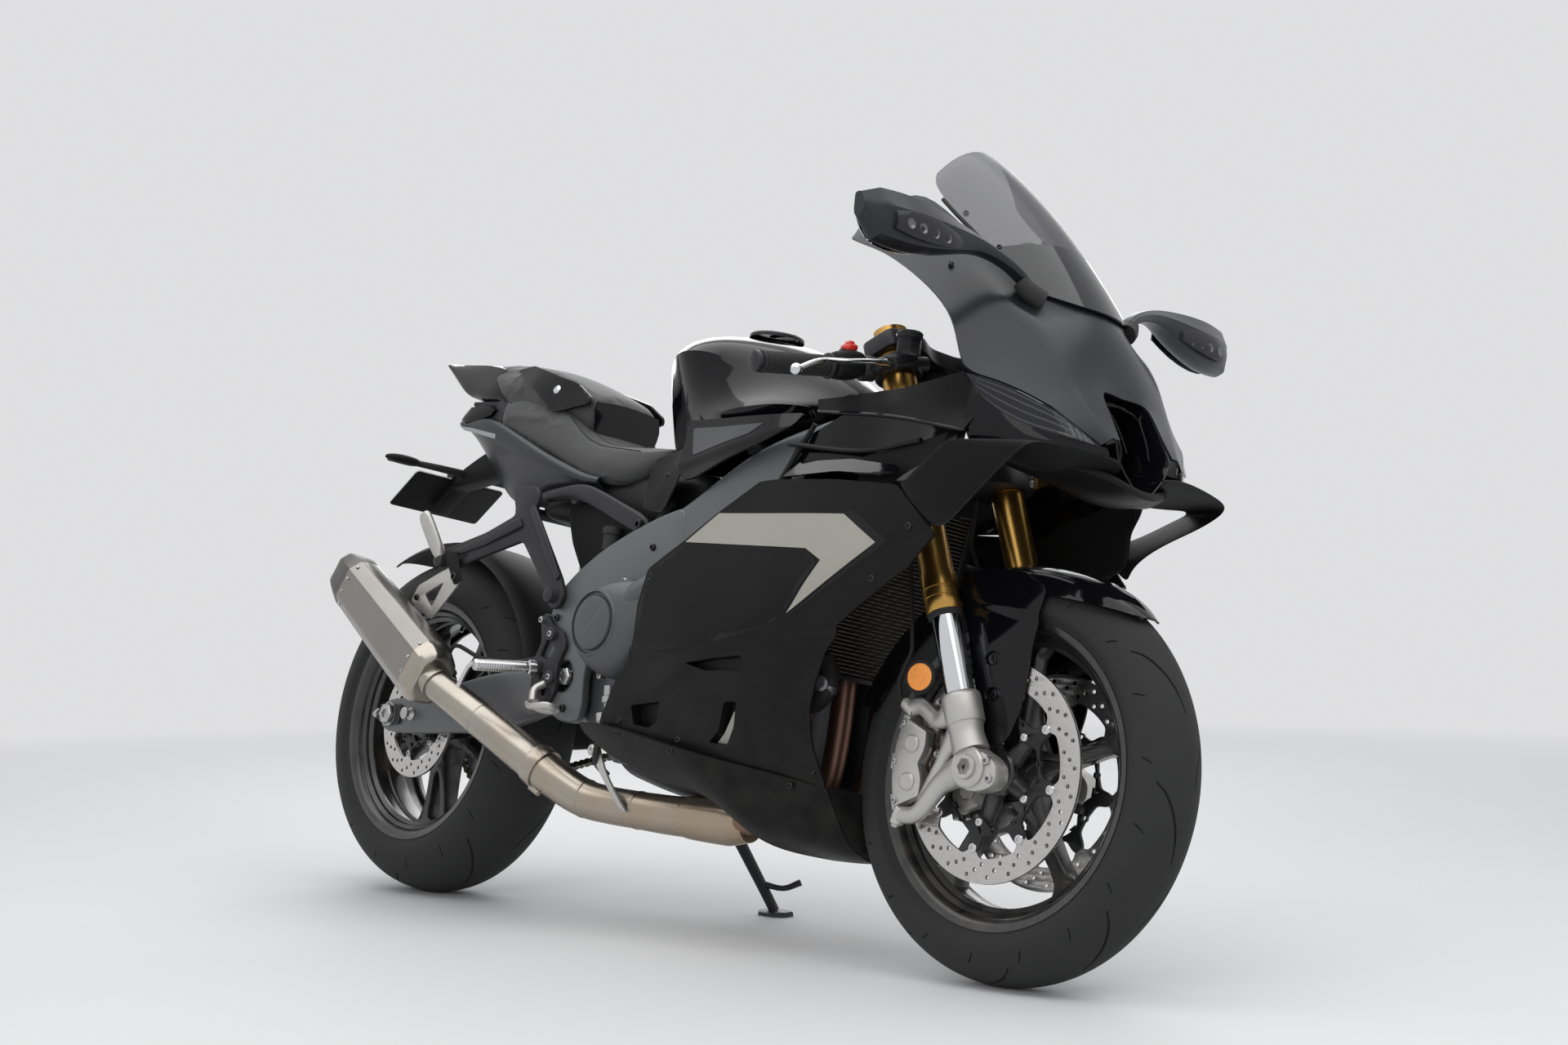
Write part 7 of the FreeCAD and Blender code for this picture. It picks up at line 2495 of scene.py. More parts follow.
@dataclass
class Exhaust:
    """Collector, mid pipe and silencer."""

    front: tuple[float, float] = (222.0, 374.0)
    rear: tuple[float, float] = (-112.0, 573.0)
    y: float = -212.0

    def can(self) -> None:
        """Faceted can with its caps and rivets."""
        start = Vector((self.front[0], self.y, self.front[1]))
        along = Vector((self.rear[0], self.y, self.rear[1])) - start
        length = along.length
        along.normalize()
        up = Vector((0, 1, 0)).cross(along)
        up = up if up.z > 0 else -up
        corners = ((-40, 0), (-42, -30), (-22, -56), (0, -58), (22, -56), (42, -30), (44, 0),
                   (40, 34), (20, 56), (0, 58), (-20, 56), (-40, 34))

        def rows(table: Sequence[tuple[float, float]]) -> list[list[Vector]]:
            """Hoops at shares of the length, each with a scale."""
            return [[start + along * (length * share) + Vector((0, 1, 0)) * (a * size)
                     + up * (b * size) for a, b in corners] for share, size in table]

        edges = (0, 1, 2, 4, 5, 6, 7, 8, 10, 11)
        body = Draft().grid(rows(((0.085, 1.0), (0.5, 0.95), (0.875, 0.87))),
                            around=True, crease_rows=(0, 2), crease_cols=edges, crease=0.72)
        piece("silencer_can", body, CAN, ["silencer"], smooth=2, thick=1.2)
        nose = Draft().grid(rows(((0.0, 0.5), (0.0, 0.8), (0.012, 0.9), (0.05, 1.0),
                                  (0.098, 1.025), (0.1, 0.99))), around=True,
                            crease_rows=(1, 4), crease_cols=edges, crease=0.66)
        tail = Draft().grid(rows(((0.86, 0.86), (0.862, 0.89), (0.9, 0.885), (0.97, 0.80),
                                  (1.0, 0.66), (1.0, 0.5), (0.93, 0.46))), around=True,
                            crease_rows=(1, 2, 4, 5), crease_cols=edges, crease=0.66)
        piece("silencer_nose", nose, BARE_STEEL, smooth=2)
        piece("silencer_end_cap", tail, DARK_CAN, smooth=2)
        inner = Draft().turn([(0, 0.1), (0, 22), (26, 22), (26, 20), (2, 20)],
                             start + along * (length * 0.93), along, 32)
        piece("silencer_outlet", inner, DUCT)
        rivets = Draft()
        for share in (0.115, 0.835):
            for a, b in ((-41, -14), (-32, -44), (-41, 16), (41, -14), (-31, 46), (32, 44)):
                tight = 1.0 if share < 0.5 else 0.9
                at = start + along * (length * share) + (Vector((0, 1, 0)) * a + up * b) * tight
                facing = Vector((0, 1, 0)) * a + up * (b * 0.7)
                rivets.turn([(-1, 3.4), (0.6, 3.2), (1.6, 1.8), (1.8, 0.1)], at, facing, 12)
        piece("silencer_rivets", rivets, ZINC)

    def pipes(self) -> None:
        """Mid pipe with its clamp, welds and strap."""
        pipe = Draft().tube([(812, -82, 188), (760, -90, 188), (700, -100, 190),
                             (630, -109, 193), (575, -120, 200), (520, -136, 222),
                             (460, -152, 252), (340, -184, 314), (229, -212, 369)],
                            (33, 32, 31, 31, 32, 33, 34, 31, 27), 28, 5)
        pipe.tube([(214, -213, 378), (235, -210, 366)], 31, 28)
        piece("mid_pipe_tube", pipe, BARE_STEEL, ["mid_pipe"])
        clamp = Draft()
        at = Vector((478, -147, 243))
        axis = Vector((-229, -60, 118)).normalized()
        clamp.turn([(-13, 33), (-13, 37), (-10, 38), (10, 38), (13, 37), (13, 33)], at, axis, 36)
        lug = at + Vector((10, -12, -40))
        clamp.tube([lug - axis * 11, lug + axis * 11], 5.5, 14)
        bolt_at = at + Vector((6, -8, -34))
        clamp.tube([bolt_at - axis * 8, bolt_at + axis * 8], 9, 14)
        weld = Draft()
        for place, way, size in (((340, -184, 314), (-111, -28, 55), 31.4),
                                 ((700, -100, 190), (-1, -0.14, 0.02), 31.4),
                                 ((580, -119, 199), (-1, -0.2, 0.16), 32.4)):
            weld.turn([(-3, size - 1.2), (-1.5, size + 0.5), (1.5, size + 0.5), (3, size - 1.2)],
                      place, way, 36)
        piece("mid_pipe_clamp", clamp, BARE_STEEL, slot="dark_steel")
        piece("mid_pipe_welds", weld, BARE_STEEL)
        strap = Draft().grid((((634, -149, 284), (610, -149, 288)),
                              ((656, -152, 250), (633, -153, 256)),
                              ((684, -146, 215), (664, -147, 222)),
                              ((707, -134, 184), (689, -135, 190))))
        bolt(strap, (622, -152, 279), (0, -1, 0), 8, 6)
        piece("mid_pipe_strap", strap, CAST, smooth=1, thick=4)

    def headers(self) -> None:
        """Three headers that bend down into the collector."""
        tubes = Draft()
        for y in (-88, 0, 88):
            tubes.tube([(1004, y, 541), (1022, y, 532), (1034, y, 500), (1036, y, 420),
                        (1035, y, 330), (1026, y * 0.95 - 2, 262), (1000, y * 0.82 - 10, 215),
                        (950, y * 0.55 - 30, 192), (880, -62 + y * 0.2, 188)], 19, 20, 5)
            tubes.turn([(-3, 19), (-3, 30), (5, 30), (5, 19)], (1008, y, 539), (1, 0, -0.55), 6)
        piece("header_tubes", tubes, HEADER, ["header_pipes"])
        shell_ = Draft().tube([(930, -64, 189), (890, -69, 188), (850, -76, 188), (812, -82, 188),
                               (800, -84, 188)], (30, 38, 37, 35, 33), 28, 4)
        piece("collector", shell_, BARE_STEEL)

    def build(self) -> None:
        """Make the exhaust."""
        self.can()
        self.pipes()
        self.headers()
        outline = rounded(((44, 524), (60, 554), (166, 594), (188, 576), (184, 554), (116, 490)),
                          8, 3)
        hole = rounded(((84, 538), (140, 560), (112, 513)), 7, 3)
        lug = plate(rounded(((124, 612), (168, 618), (196, 568), (178, 552), (152, 588)), 8, 3),
                    -169, -164, bevel=1.5)
        piece("silencer_hanger_lug", lug, MATTE)
        bracket = plate(outline, -165, -160.5, [hole])
        piece("silencer_bracket_plate", bracket, CAST, ["silencer_bracket"])
        bolts = Draft()
        bolt(bolts, (176, -168, 570), (0, -1, 0), 8, 5)
        bolt(bolts, (62, -165, 532), (0, -1, 0), 6, 4)
        piece("silencer_bracket_bolts", bolts, BLACK_BOLT)


def hoop(x: float, inner: float, outer: float, low: float, high: float,
         side: int = -1) -> list[Vector]:
    """Eight-cornered hoop round a bar that runs along the machine.

    Args:
        x: Its place along the machine.
        inner: Side nearer the middle plane.
        outer: Side farther from it.
        low: Its lowest height.
        high: Its greatest height.
        side: 1 for the left, -1 for the right.

    Returns:
        Its corners, in order.
    """
    cut = min(abs(outer - inner), high - low) * 0.22
    return [Vector((x, side * y, z)) for y, z in (
        (inner, low + cut), (inner + cut, low), (outer - cut, low), (outer, low + cut),
        (outer, high - cut), (outer - cut, high), (inner + cut, high), (inner, high - cut))]


@dataclass
class MainFrame:
    """Twin-beam frame with its plates, rails, and the covers fixed to it."""

    beams: Sequence[tuple[float, float, float, float, float]] = (
        (1172, 10, 46, 787, 870), (1130, 40, 72, 762, 860), (1075, 66, 94, 735, 842),
        (985, 98, 124, 696, 812), (900, 121, 145, 655, 772), (820, 127, 147, 618, 722),
        (735, 128, 146, 580, 674), (690, 128, 146, 545, 668))
    band: Flat = ((770, 690), (700, 672), (625, 645), (560, 616), (500, 578), (462, 545),
                  (446, 505), (444, 440), (452, 380), (476, 338), (510, 322), (556, 322),
                  (566, 350), (560, 400), (566, 440), (590, 492), (640, 536), (700, 566),
                  (770, 590))

    def build(self) -> None:
        """Make the frame."""
        beam = Draft()
        beam.grid([hoop(*row) for row in self.beams], around=True, ends=True)
        piece("frame_beams", beam.both(), ALLOY, ["main_frame"], smooth=2)
        plates = plate(rounded(self.band, 26, 5), -148, -128, [circle(*PIVOT, 27, 40)], 5)
        piece("frame_plates", plates.both(), ALLOY, angle=50)
        tubes = Draft()
        axis = fork(1, 0, 0) - fork(0, 0, 0)
        tubes.turn([(524, 19), (524, 34), (530, 36), (560, 32), (640, 32), (664, 36), (670, 34),
                    (670, 19)], fork(0, -STEM_BEHIND, 0), axis, 40)
        for x, z, half, radius in ((560, 600, 130, 18), (516, 352, 130, 10), (900, 780, 140, 9),
                                   (430, 717, 118, 10), (240, 707, 95, 10)):
            tubes.turn([(-half, 0.1), (-half, radius), (half, radius), (half, 0.1)], (x, 0, z),
                       (0, 1, 0), 28)
        piece("frame_cross_tubes", tubes, BLACK_ALLOY)
        rails = Draft()
        rails.grid([hoop(*row) for row in (
            (664, 120, 136, 650, 666), (650, 120, 138, 642, 676), (628, 119, 138, 648, 686),
            (560, 117, 134, 674, 710), (480, 112, 130, 706, 740), (430, 108, 124, 716, 744),
            (360, 102, 116, 716, 738), (300, 98, 110, 708, 728), (236, 92, 102, 704, 716))],
            around=True, ends=True)
        piece("seat_rails", rails.both(), BLACK_ALLOY, smooth=2)
        bolts = Draft()
        for x, y, z, size in ((644, -139, 662, 9), (463, -160, 536, 8), (700, -149, 620, 6),
                              (470, -149, 500, 6), (520, -149, 345, 7)):
            bolt(bolts, (x, y, z), (0, -1, 0), size, size * 0.7)
        piece("frame_bolts", bolts.both(), BLACK_BOLT)
        nut = Draft().turn([(0, 11), (0, 17), (5, 17), (7, 15), (7, 9), (3, 8), (3, 0.1)],
                           (505, -141, 400), (0, -1, 0), 6)
        nut.turn([(-3, 26.8), (-1, 26.8), (-1, 18), (-3, 18)], (505, -138, 400), (0, -1, 0), 40,
                 closed=True)
        piece("pivot_nuts", nut.both(), ZINC)
        self.filling()

    def filling(self) -> None:
        """Dark boxes and small parts that fill the frame under the seat."""
        box = Draft().grid([
            [(x, y, z) for y, z in ((-wide, low), (-wide - 6, (low + high) / 2), (-wide + 4, high),
                                    (0, high + 4), (wide - 4, high), (wide + 6, (low + high) / 2),
                                    (wide, low), (0, low - 6))]
            for x, wide, low, high in ((250, 60, 700, 724), (330, 84, 690, 742),
                                       (430, 92, 668, 758), (520, 96, 640, 768),
                                       (640, 98, 622, 768), (760, 100, 640, 760))],
            around=True, ends=True)
        piece("under_seat_box", box, DUCT, smooth=2)
        cover = shell(rounded(((640, 640), (650, 664), (560, 694), (440, 724), (392, 700),
                               (424, 640), (474, 580), (510, 570), (560, 596)), 10, 3),
                      Relief([(640, 640, 112), (560, 694, 108), (440, 724, 100), (392, 700, 96),
                              (474, 580, 108), (560, 600, 112)]), (), 14)
        piece("frame_side_covers", cover.both(), MATTE, thick=4)
        guard = Draft()
        for radius, side in ((338, 1), (342, -1)):
            rows = []
            for k in range(20):
                angle = 12.5 + k * 5.5
                rows.append([radial(8, 315, radius + drop, angle, y) for y, drop in
                             ((-86, -14), (-74, 0), (-40, 5), (0, 6), (40, 5), (74, 0),
                              (86, -14))])
            if side > 0:
                guard.grid(rows)
        guard.tube([(318, -80, 430), (322, -96, 410), (326, -112, 372)], 6, 12)
        piece("rear_mudguard", guard, MATTE, smooth=1, thick=3)
        parts = Draft()
        parts.turn([(0, 0.1), (0, 15), (26, 15), (27, 18), (38, 18), (40, 14), (40, 0.1)],
                   (556, -122, 622), (0, 0, 1), 14)
        parts.tube([(556, -122, 622), (540, -120, 590), (500, -112, 560), (478, -108, 520)], 5,
                   10)
        parts.tube([(700, -120, 700), (640, -112, 650), (600, -110, 600), (585, -118, 540)], 7,
                   10)
        parts.tube([(660, -132, 590), (610, -128, 560), (560, -122, 545), (520, -124, 520)], 4,
                   10)
        piece("frame_hoses", parts, RUBBER)


@dataclass
class Engine:
    """Crankcase, cylinders and the covers on both sides."""

    hub: tuple[float, float] = (672.0, 476.0)
    reach: Sequence[float] = (76, 84, 98, 92, 86, 82, 84, 84, 84, 84, 88, 84, 76, 72, 70, 72)

    def cover_rows(self) -> list[list[Vector]]:
        """Rows of the clutch cover from its flange to its round cap.

        Returns:
            The rows.
        """
        x, z = self.hub
        count = 48
        rows = []
        for y, share in ((-150, 0.0), (-160, 0.0), (-164, 0.04), (-178, 0.10), (-192, 0.34),
                         (-202, 0.72), (-206, 0.94), (-207, 1.0)):
            row = []
            for k in range(count):
                turn = 2 * math.pi * k / count
                place = k / count * len(self.reach)
                low = int(place)
                radius = (self.reach[low] * (1 - place + low)
                          + self.reach[(low + 1) % len(self.reach)] * (place - low))
                far = Vector((x + radius * math.cos(turn), y, z + radius * math.sin(turn)))
                near = Vector((642 + 54 * math.cos(turn), y, 484 + 56 * math.sin(turn)))
                row.append(far.lerp(near, share))
            rows.append(row)
        return rows

    def build(self) -> None:
        """Make the engine."""
        cover = Draft().grid(self.cover_rows(), around=True, crease_rows=(1, 7), crease=0.7)
        cover.tube([(676, -176, 500), (712, -172, 534), (742, -164, 560)], (30, 26, 20), 20)
        cap = Draft().turn([(0, 56), (2, 55), (3, 52.5), (-2, 51), (-2, 46.5), (4, 44.5), (5, 42),
                            (5.5, 20), (5.5, 0.1)], (642, -206, 484), (0, -1, 0), 56)
        piece("clutch_cover", cover, ENGINE, ["engine_covers"], smooth=1, angle=40)
        piece("clutch_cover_cap", cap, ENGINE)
        left = plate(rounded(((528, 330), (640, 322), (650, 400), (632, 450), (560, 452),
                              (524, 400)), 24, 5), 118, 138, bevel=4)
        left.add(plate(rounded(((690, 292), (820, 290), (870, 340), (880, 440), (820, 500),
                                (720, 500), (680, 420)), 40, 6), 150, 178, bevel=7))
        left.turn([(0, 62), (3, 60), (4, 30), (4, 0.1)], (778, 178, 396), (0, 1, 0), 48)
        piece("left_engine_covers", left, ENGINE, angle=45)
        bolts = Draft()
        for k, radius in enumerate(self.reach[::2]):
            turn = math.pi * k / 4 + 0.2
            bolt(bolts, (self.hub[0] + (radius + 1) * math.cos(turn), -159,
                         self.hub[1] + (radius + 1) * math.sin(turn)), (0, -1, 0), 6, 6)
        for x, z in ((746, 566), (756, 548), (752, 524)):
            bolt(bolts, (x, -163, z), (0, -1, 0), 7, 9)
        piece("clutch_cover_bolts", bolts, ZINC)
        case = Draft()
        case.add(plate(rounded(((648, 262), (985, 255), (998, 520), (760, 540), (640, 500)), 26,
                               5), -150, 150, bevel=9))
        case.add(plate(rounded(((536, 330), (655, 285), (655, 500), (536, 480)), 20, 4), -120,
                       92, bevel=8))
        case.turn([(-0.5, 0.1), (-0.5, 33), (31, 33), (31, 0.1)], (590, 81, 385), (0, 1, 0), 32)
        ribs = Draft()
        for k in range(7):
            ribs.add(plate(((762, 524 + k * 22), (996, 524 + k * 22), (996, 530 + k * 22),
                            (766, 530 + k * 22)), -108, 108, bevel=1.5))
        case.add(plate(rounded(((760, 500), (998, 500), (985, 676), (850, 676), (780, 600)), 16,
                               4), -102, 102, bevel=6))
        case.add(ribs)
        piece("crankcase", case, ENGINE, ["engine_block"], angle=45)
        pan = Draft().grid([
            [(x, y, z) for y, z in ((-120, top), (-96, low + 10), (-40, low), (40, low),
                                    (96, low + 10), (120, top))]
            for x, low, top in ((655, 238, 268), (760, 214, 264), (860, 214, 264),
                                (960, 236, 262))])
        piece("oil_pan", pan, ENGINE, smooth=2, thick=4)
        fittings = Draft()
        fittings.turn([(0, 0.1), (0, 9), (16, 9), (18, 12), (28, 12), (30, 8), (52, 7), (52, 0.1)],
                      (640, -152, 386), (0.15, 0, -1), 14)
        fittings.turn([(0, 0.1), (0, 8), (14, 8), (16, 5), (34, 5), (34, 0.1)], (624, -150, 340),
                      (0.3, 0, -1), 12)
        piece("oil_line_fittings", fittings, ZINC)
        pipe = Draft().tube([(644, -156, 340), (640, -158, 300), (632, -152, 262),
                             (640, -130, 240)], 6, 12)
        piece("oil_line", pipe, RUBBER)


@dataclass
class Radiator:
    """Radiator core with real fins, its tanks and its hoses."""

    low: tuple[float, float] = (1074.0, 430.0)
    high: tuple[float, float] = (1130.0, 715.0)
    half: float = 150.0

    def build(self) -> None:
        """Make the radiator."""
        foot, head = Vector((self.low[0], 0, self.low[1])), Vector((self.high[0], 0, self.high[1]))
        up = (head - foot).normalized()
        ahead = Vector((up.z, 0, -up.x))
        length = (head - foot).length
        core, fins, tanks = Draft(), Draft(), Draft()
        core.grid([[foot + up * a + ahead * b + Vector((0, y, 0)) for a, b in
                    ((4, -9), (4, 8), (length - 4, 8), (length - 4, -9))]
                   for y in (-132, 132)], around=True, ends=True)
        count = 46
        for k in range(count):
            a = 8 + (length - 16) * k / (count - 1)
            fins.grid([[foot + up * (a + da) + ahead * b + Vector((0, y, 0)) for da, b in
                        ((-0.9, 7), (-0.7, 12), (0.7, 12), (0.9, 7))] for y in (-131, 131)],
                      around=True, ends=True)
        for side in (-1, 1):
            tanks.grid([[foot + up * a + ahead * b + Vector((0, side * y, 0)) for b, y in
                         ((-13, 131), (-13, 149), (0, 151), (13, 149), (13, 131))]
                        for a in (0, 6, length * 0.5, length - 6, length)], around=True,
                       ends=True)
            tanks.tube([(989, side * 90, 640), (1108, side * 90, 640)], 7, 12)
            tanks.tube([(1112, side * 148, 640), (1112, side * 205, 640)], 6, 12)
        tanks.grid([[foot + up * a + ahead * b + Vector((0, y, 0)) for a, b in
                     ((-4, -13), (-4, 13), (4, 13), (4, -13))] for y in (-149, 149)],
                   around=True, ends=True)
        piece("radiator_core", core, DUCT, ["radiator"], slot="black_alloy", bevel=1)
        piece("radiator_fins", fins, FINS)
        piece("radiator_tanks", tanks, BLACK_ALLOY, bevel=1.5)
        hose = Draft().tube([(1092, -104, 446), (1108, -108, 420), (1104, -112, 396),
                             (1064, -100, 380), (1010, -96, 390)], 17, 18)
        hose.tube([(1120, -120, 640), (1090, -132, 670), (1030, -120, 690), (990, -100, 680)],
                  15, 18)
        piece("radiator_hoses", hose, RUBBER)
        rings = Draft()
        rings.turn([(-6, 17.2), (-6, 19), (6, 19), (6, 17.2)], (1107, -110, 405),
                   (-0.3, 0, -1), 28)
        rings.turn([(0, 0.1), (0, 12), (10, 12), (12, 8), (20, 8), (20, 0.1)], (1112, -126, 408),
                   (0.6, -1, 0), 18)
        piece("hose_clips", rings, STEEL)


@dataclass
class Swingarm:
    """Swingarm with its axle blocks, the axle, rear brake, shock and chain."""

    stations: Sequence[tuple[float, float, float, float, float]] = (
        (-40, 121, 141, 292, 338), (-8, 121, 141, 283, 345), (40, 120, 140, 282, 350),
        (110, 116, 136, 286, 364), (170, 106, 128, 290, 380), (250, 101, 128, 294, 400),
        (340, 99, 127, 306, 412), (420, 97, 126, 328, 420), (500, 94, 124, 366, 430),
        (528, 92, 122, 376, 424))

    def arms(self) -> None:
        """The two arms and the body between them."""
        right, left = Draft(), Draft()
        right.grid([hoop(*s) for s in self.stations], around=True, ends=True)
        left.grid([hoop(s[0], max(s[1], 119), max(s[2], 126), s[3], s[4], 1)
                   for s in self.stations], around=True, ends=True)
        body = Draft()
        body.grid([[(x, y, z) for x, z in ((520, 378), (508, 424), (440, 432), (372, 420),
                                           (350, 398), (350, 336), (420, 334), (490, 356))]
                   for y in (-100, -60, 0, 60, 92)], around=True, ends=True)
        body.turn([(-126, 12.2), (-126, 27), (94, 27), (94, 12.2)], (505, 0, 400), (0, 1, 0), 36)
        right.add(left).add(body)
        piece("swingarm_arms", right, ALLOY, ["swingarm"], smooth=2)
        blocks, nuts, black = Draft(), Draft(), Draft()
        for side in (-1, 1):
            corners = rounded(((-34, 300), (34, 297), (34, 335), (-34, 333)), 6, 3)
            low, high = sorted((side * 140.5, side * 145))
            blocks.add(plate(corners, low, high, bevel=1.5))
            nuts.turn([(0, 0.1), (0, 22), (2.5, 22), (2.5, 20)], (0, side * 145, REAR_RADIUS),
                      (0, side, 0), 36)
            nuts.turn([(2, 19), (11, 19), (13, 16.5), (13, 9), (9, 8), (9, 0.1)],
                      (0, side * 143.5, REAR_RADIUS), (0, side, 0), 6)
            nuts.tube([(-34, side * 133, 316), (-66, side * 133, 314)], 5, 10)
            nuts.turn([(0, 0.1), (0, 10), (8, 10), (8, 0.1)], (-48, side * 133, REAR_RADIUS),
                      (-1, 0, 0), 6)
            nuts.turn([(-1, 4.2), (-1, 11), (3, 12), (9, 6.5), (14, 6.5), (18, 11), (20, 8),
                       (20, 0.1)], (62, side * 138, 318), (0, side, 0), 24)
        nuts.turn([(-145, 12.4), (145, 12.4)], (0, 0, 315), (0, 1, 0), 28)
        black.turn([(-119, 19), (-82, 19)], (0, 0, 315), (0, 1, 0), 28)
        black.turn([(112, 19), (121.5, 19)], (0, 0, 315), (0, 1, 0), 28)
        piece("axle_blocks", blocks.add(black), BLACK_ALLOY)
        piece("rear_axle_nuts", nuts, ZINC, ["rear_axle"])

    def brake(self) -> None:
        """Rear caliper on its bracket."""
        body, face = Draft(), Draft()
        for low, high in ((-97, -82.6), (-73.4, -62)):
            rows = [[radial(0, REAR_RADIUS, r, a, y) for r, y in
                     ((76, low + 2), (74, (low + high) / 2), (76, high), (112, high),
                      (124, (low + high) / 2 + (2 if low < -90 else -2)), (112, low))]
                    for a in (40, 44, 52, 62, 72, 80, 84)]
            body.grid(rows, around=True, ends=True)
        body.grid([[radial(0, REAR_RADIUS, r, a, y) for y, r in
                    ((-97, 114), (-80, 118), (-62, 114), (-62, 126), (-80, 128), (-97, 126))]
                   for a in (44, 54, 62, 70, 80)], around=True, ends=True)
        face.turn([(0, 14), (3, 13), (3, 0.1)], radial(0, REAR_RADIUS, 92, 55, -96),
                  (0, -1, 0), 28)
        face.turn([(0, 6), (8, 6), (8, 0.1)], radial(0, REAR_RADIUS, 118, 46, -90), (0, -1, 0), 6)
        piece("rear_caliper_body", body, BLACK_ALLOY, ["rear_caliper"], smooth=2)
        bracket = plate(rounded(((-24, 292), (24, 292), (42, 336), (98, 388), (72, 424),
                                 (20, 424), (-26, 350)), 10, 4), -104, -94,
                        [circle(0, REAR_RADIUS, 19.4, 28), circle(42, 372, 9, 18)], 2)
        piece("rear_caliper_bracket", bracket, BLACK_ALLOY)
        piece("rear_caliper_details", face, ZINC)
        hose = Draft().tube([radial(0, REAR_RADIUS, 122, 52, -88), (120, -106, 452),
                             (220, -116, 430), (330, -120, 424), (430, -118, 440)], 4, 10)
        piece("rear_brake_line", hose, RUBBER)

    def shock(self) -> None:
        """Spring and damper in the middle."""
        foot, head = Vector((466, 0, 430.6)), Vector((547, 0, 580))
        axis = (head - foot).normalized()
        length = (head - foot).length
        damper, spring = Draft(), Draft()
        damper.turn([(-4, 0.1), (-4, 11), (14, 12), (14, 30), (22, 30), (22, 16), (100, 16),
                     (length * 0.84, 16), (length * 0.84, 31), (length * 0.9, 31),
                     (length * 0.9, 14), (length, 14), (length, 0.1)], foot, axis, 32)
        side = axis.cross(Vector((0, 1, 0))).normalized()
        coil = []
        for k in range(97):
            turn = 2 * math.pi * k / 16
            coil.append(foot + axis * (26 + (length * 0.84 - 32) * k / 96)
                        + side * (24 * math.cos(turn)) + Vector((0, 24 * math.sin(turn), 0)))
        spring.tube(coil, 5.5, 10, 1)
        piece("shock_damper", damper, BLACK_ALLOY, ["shock_absorber"], slot="dark_steel")
        piece("shock_spring", spring, STEEL)

    def chain(self) -> None:
        """Chain links round both sprockets."""
        rear, front = Vector((0, 0, 315)), Vector((590, 0, 385))
        big, small = 108.6, 40.7
        line = front - rear
        slope = math.atan2(line.z, line.x)
        lean = math.acos((big - small) / line.length)
        route: list[Vector] = []

        def arc(centre: Vector, radius: float, start: float, end: float) -> None:
            """Add points round one sprocket.

            Args:
                centre: The sprocket's middle.
                radius: Its radius.
                start: First angle, in radians.
                end: Last angle, in radians.
            """
            steps = 60
            for k in range(steps + 1):
                a = start + (end - start) * k / steps
                route.append(centre + Vector((radius * math.cos(a), 0, radius * math.sin(a))))

        arc(front, small, slope + lean, slope - lean)
        arc(rear, big, slope - lean + 2 * math.pi, slope + lean)
        route.append(route[0])
        gaps = [(b - a).length for a, b in zip(route, route[1:])]
        count = 2 * round(sum(gaps) / 31.75)
        pitch = sum(gaps) / count
        pins, run, k = [], 0.0, 0
        for n in range(count):
            while run + gaps[k] < n * pitch:
                run += gaps[k]
                k += 1
            pins.append(route[k].lerp(route[k + 1], (n * pitch - run) / gaps[k]))
        links = Draft()
        for n, a in enumerate(pins):
            b = pins[(n + 1) % count]
            way = (b - a).normalized()
            over = Vector((-way.z, 0, way.x))
            gap = 7.6 if n % 2 else 5.6
            shape = [a - way * 6, a - way * 4 + over * 5, a + over * 6, (a + b) / 2 + over * 4,
                     b + over * 6, b + way * 4 + over * 5, b + way * 6, b + way * 4 - over * 5,
                     b - over * 6, (a + b) / 2 - over * 4, a - over * 6, a - way * 4 - over * 5]
            for side in (-1, 1):
                rows = [[p + Vector((0, 107 + side * (gap + t), 0)) for p in shape]
                        for t in (-0.8, 0.8)]
                links.grid(rows, around=True, ends=True)
            links.turn([(-8.6, 0.1), (-8.6, 2.6), (8.6, 2.6), (8.6, 0.1)],
                       a + Vector((0, 107, 0)), (0, 1, 0), 8)
            links.turn([(-4.6, 4.9), (4.6, 4.9)], a + Vector((0, 107, 0)), (0, 1, 0), 8)
        piece("drive_chain_links", links, CHAIN_STEEL, ["chain"])

    def build(self) -> None:
        """Make everything behind the engine."""
        self.arms()
        self.brake()
        self.shock()
        self.chain()


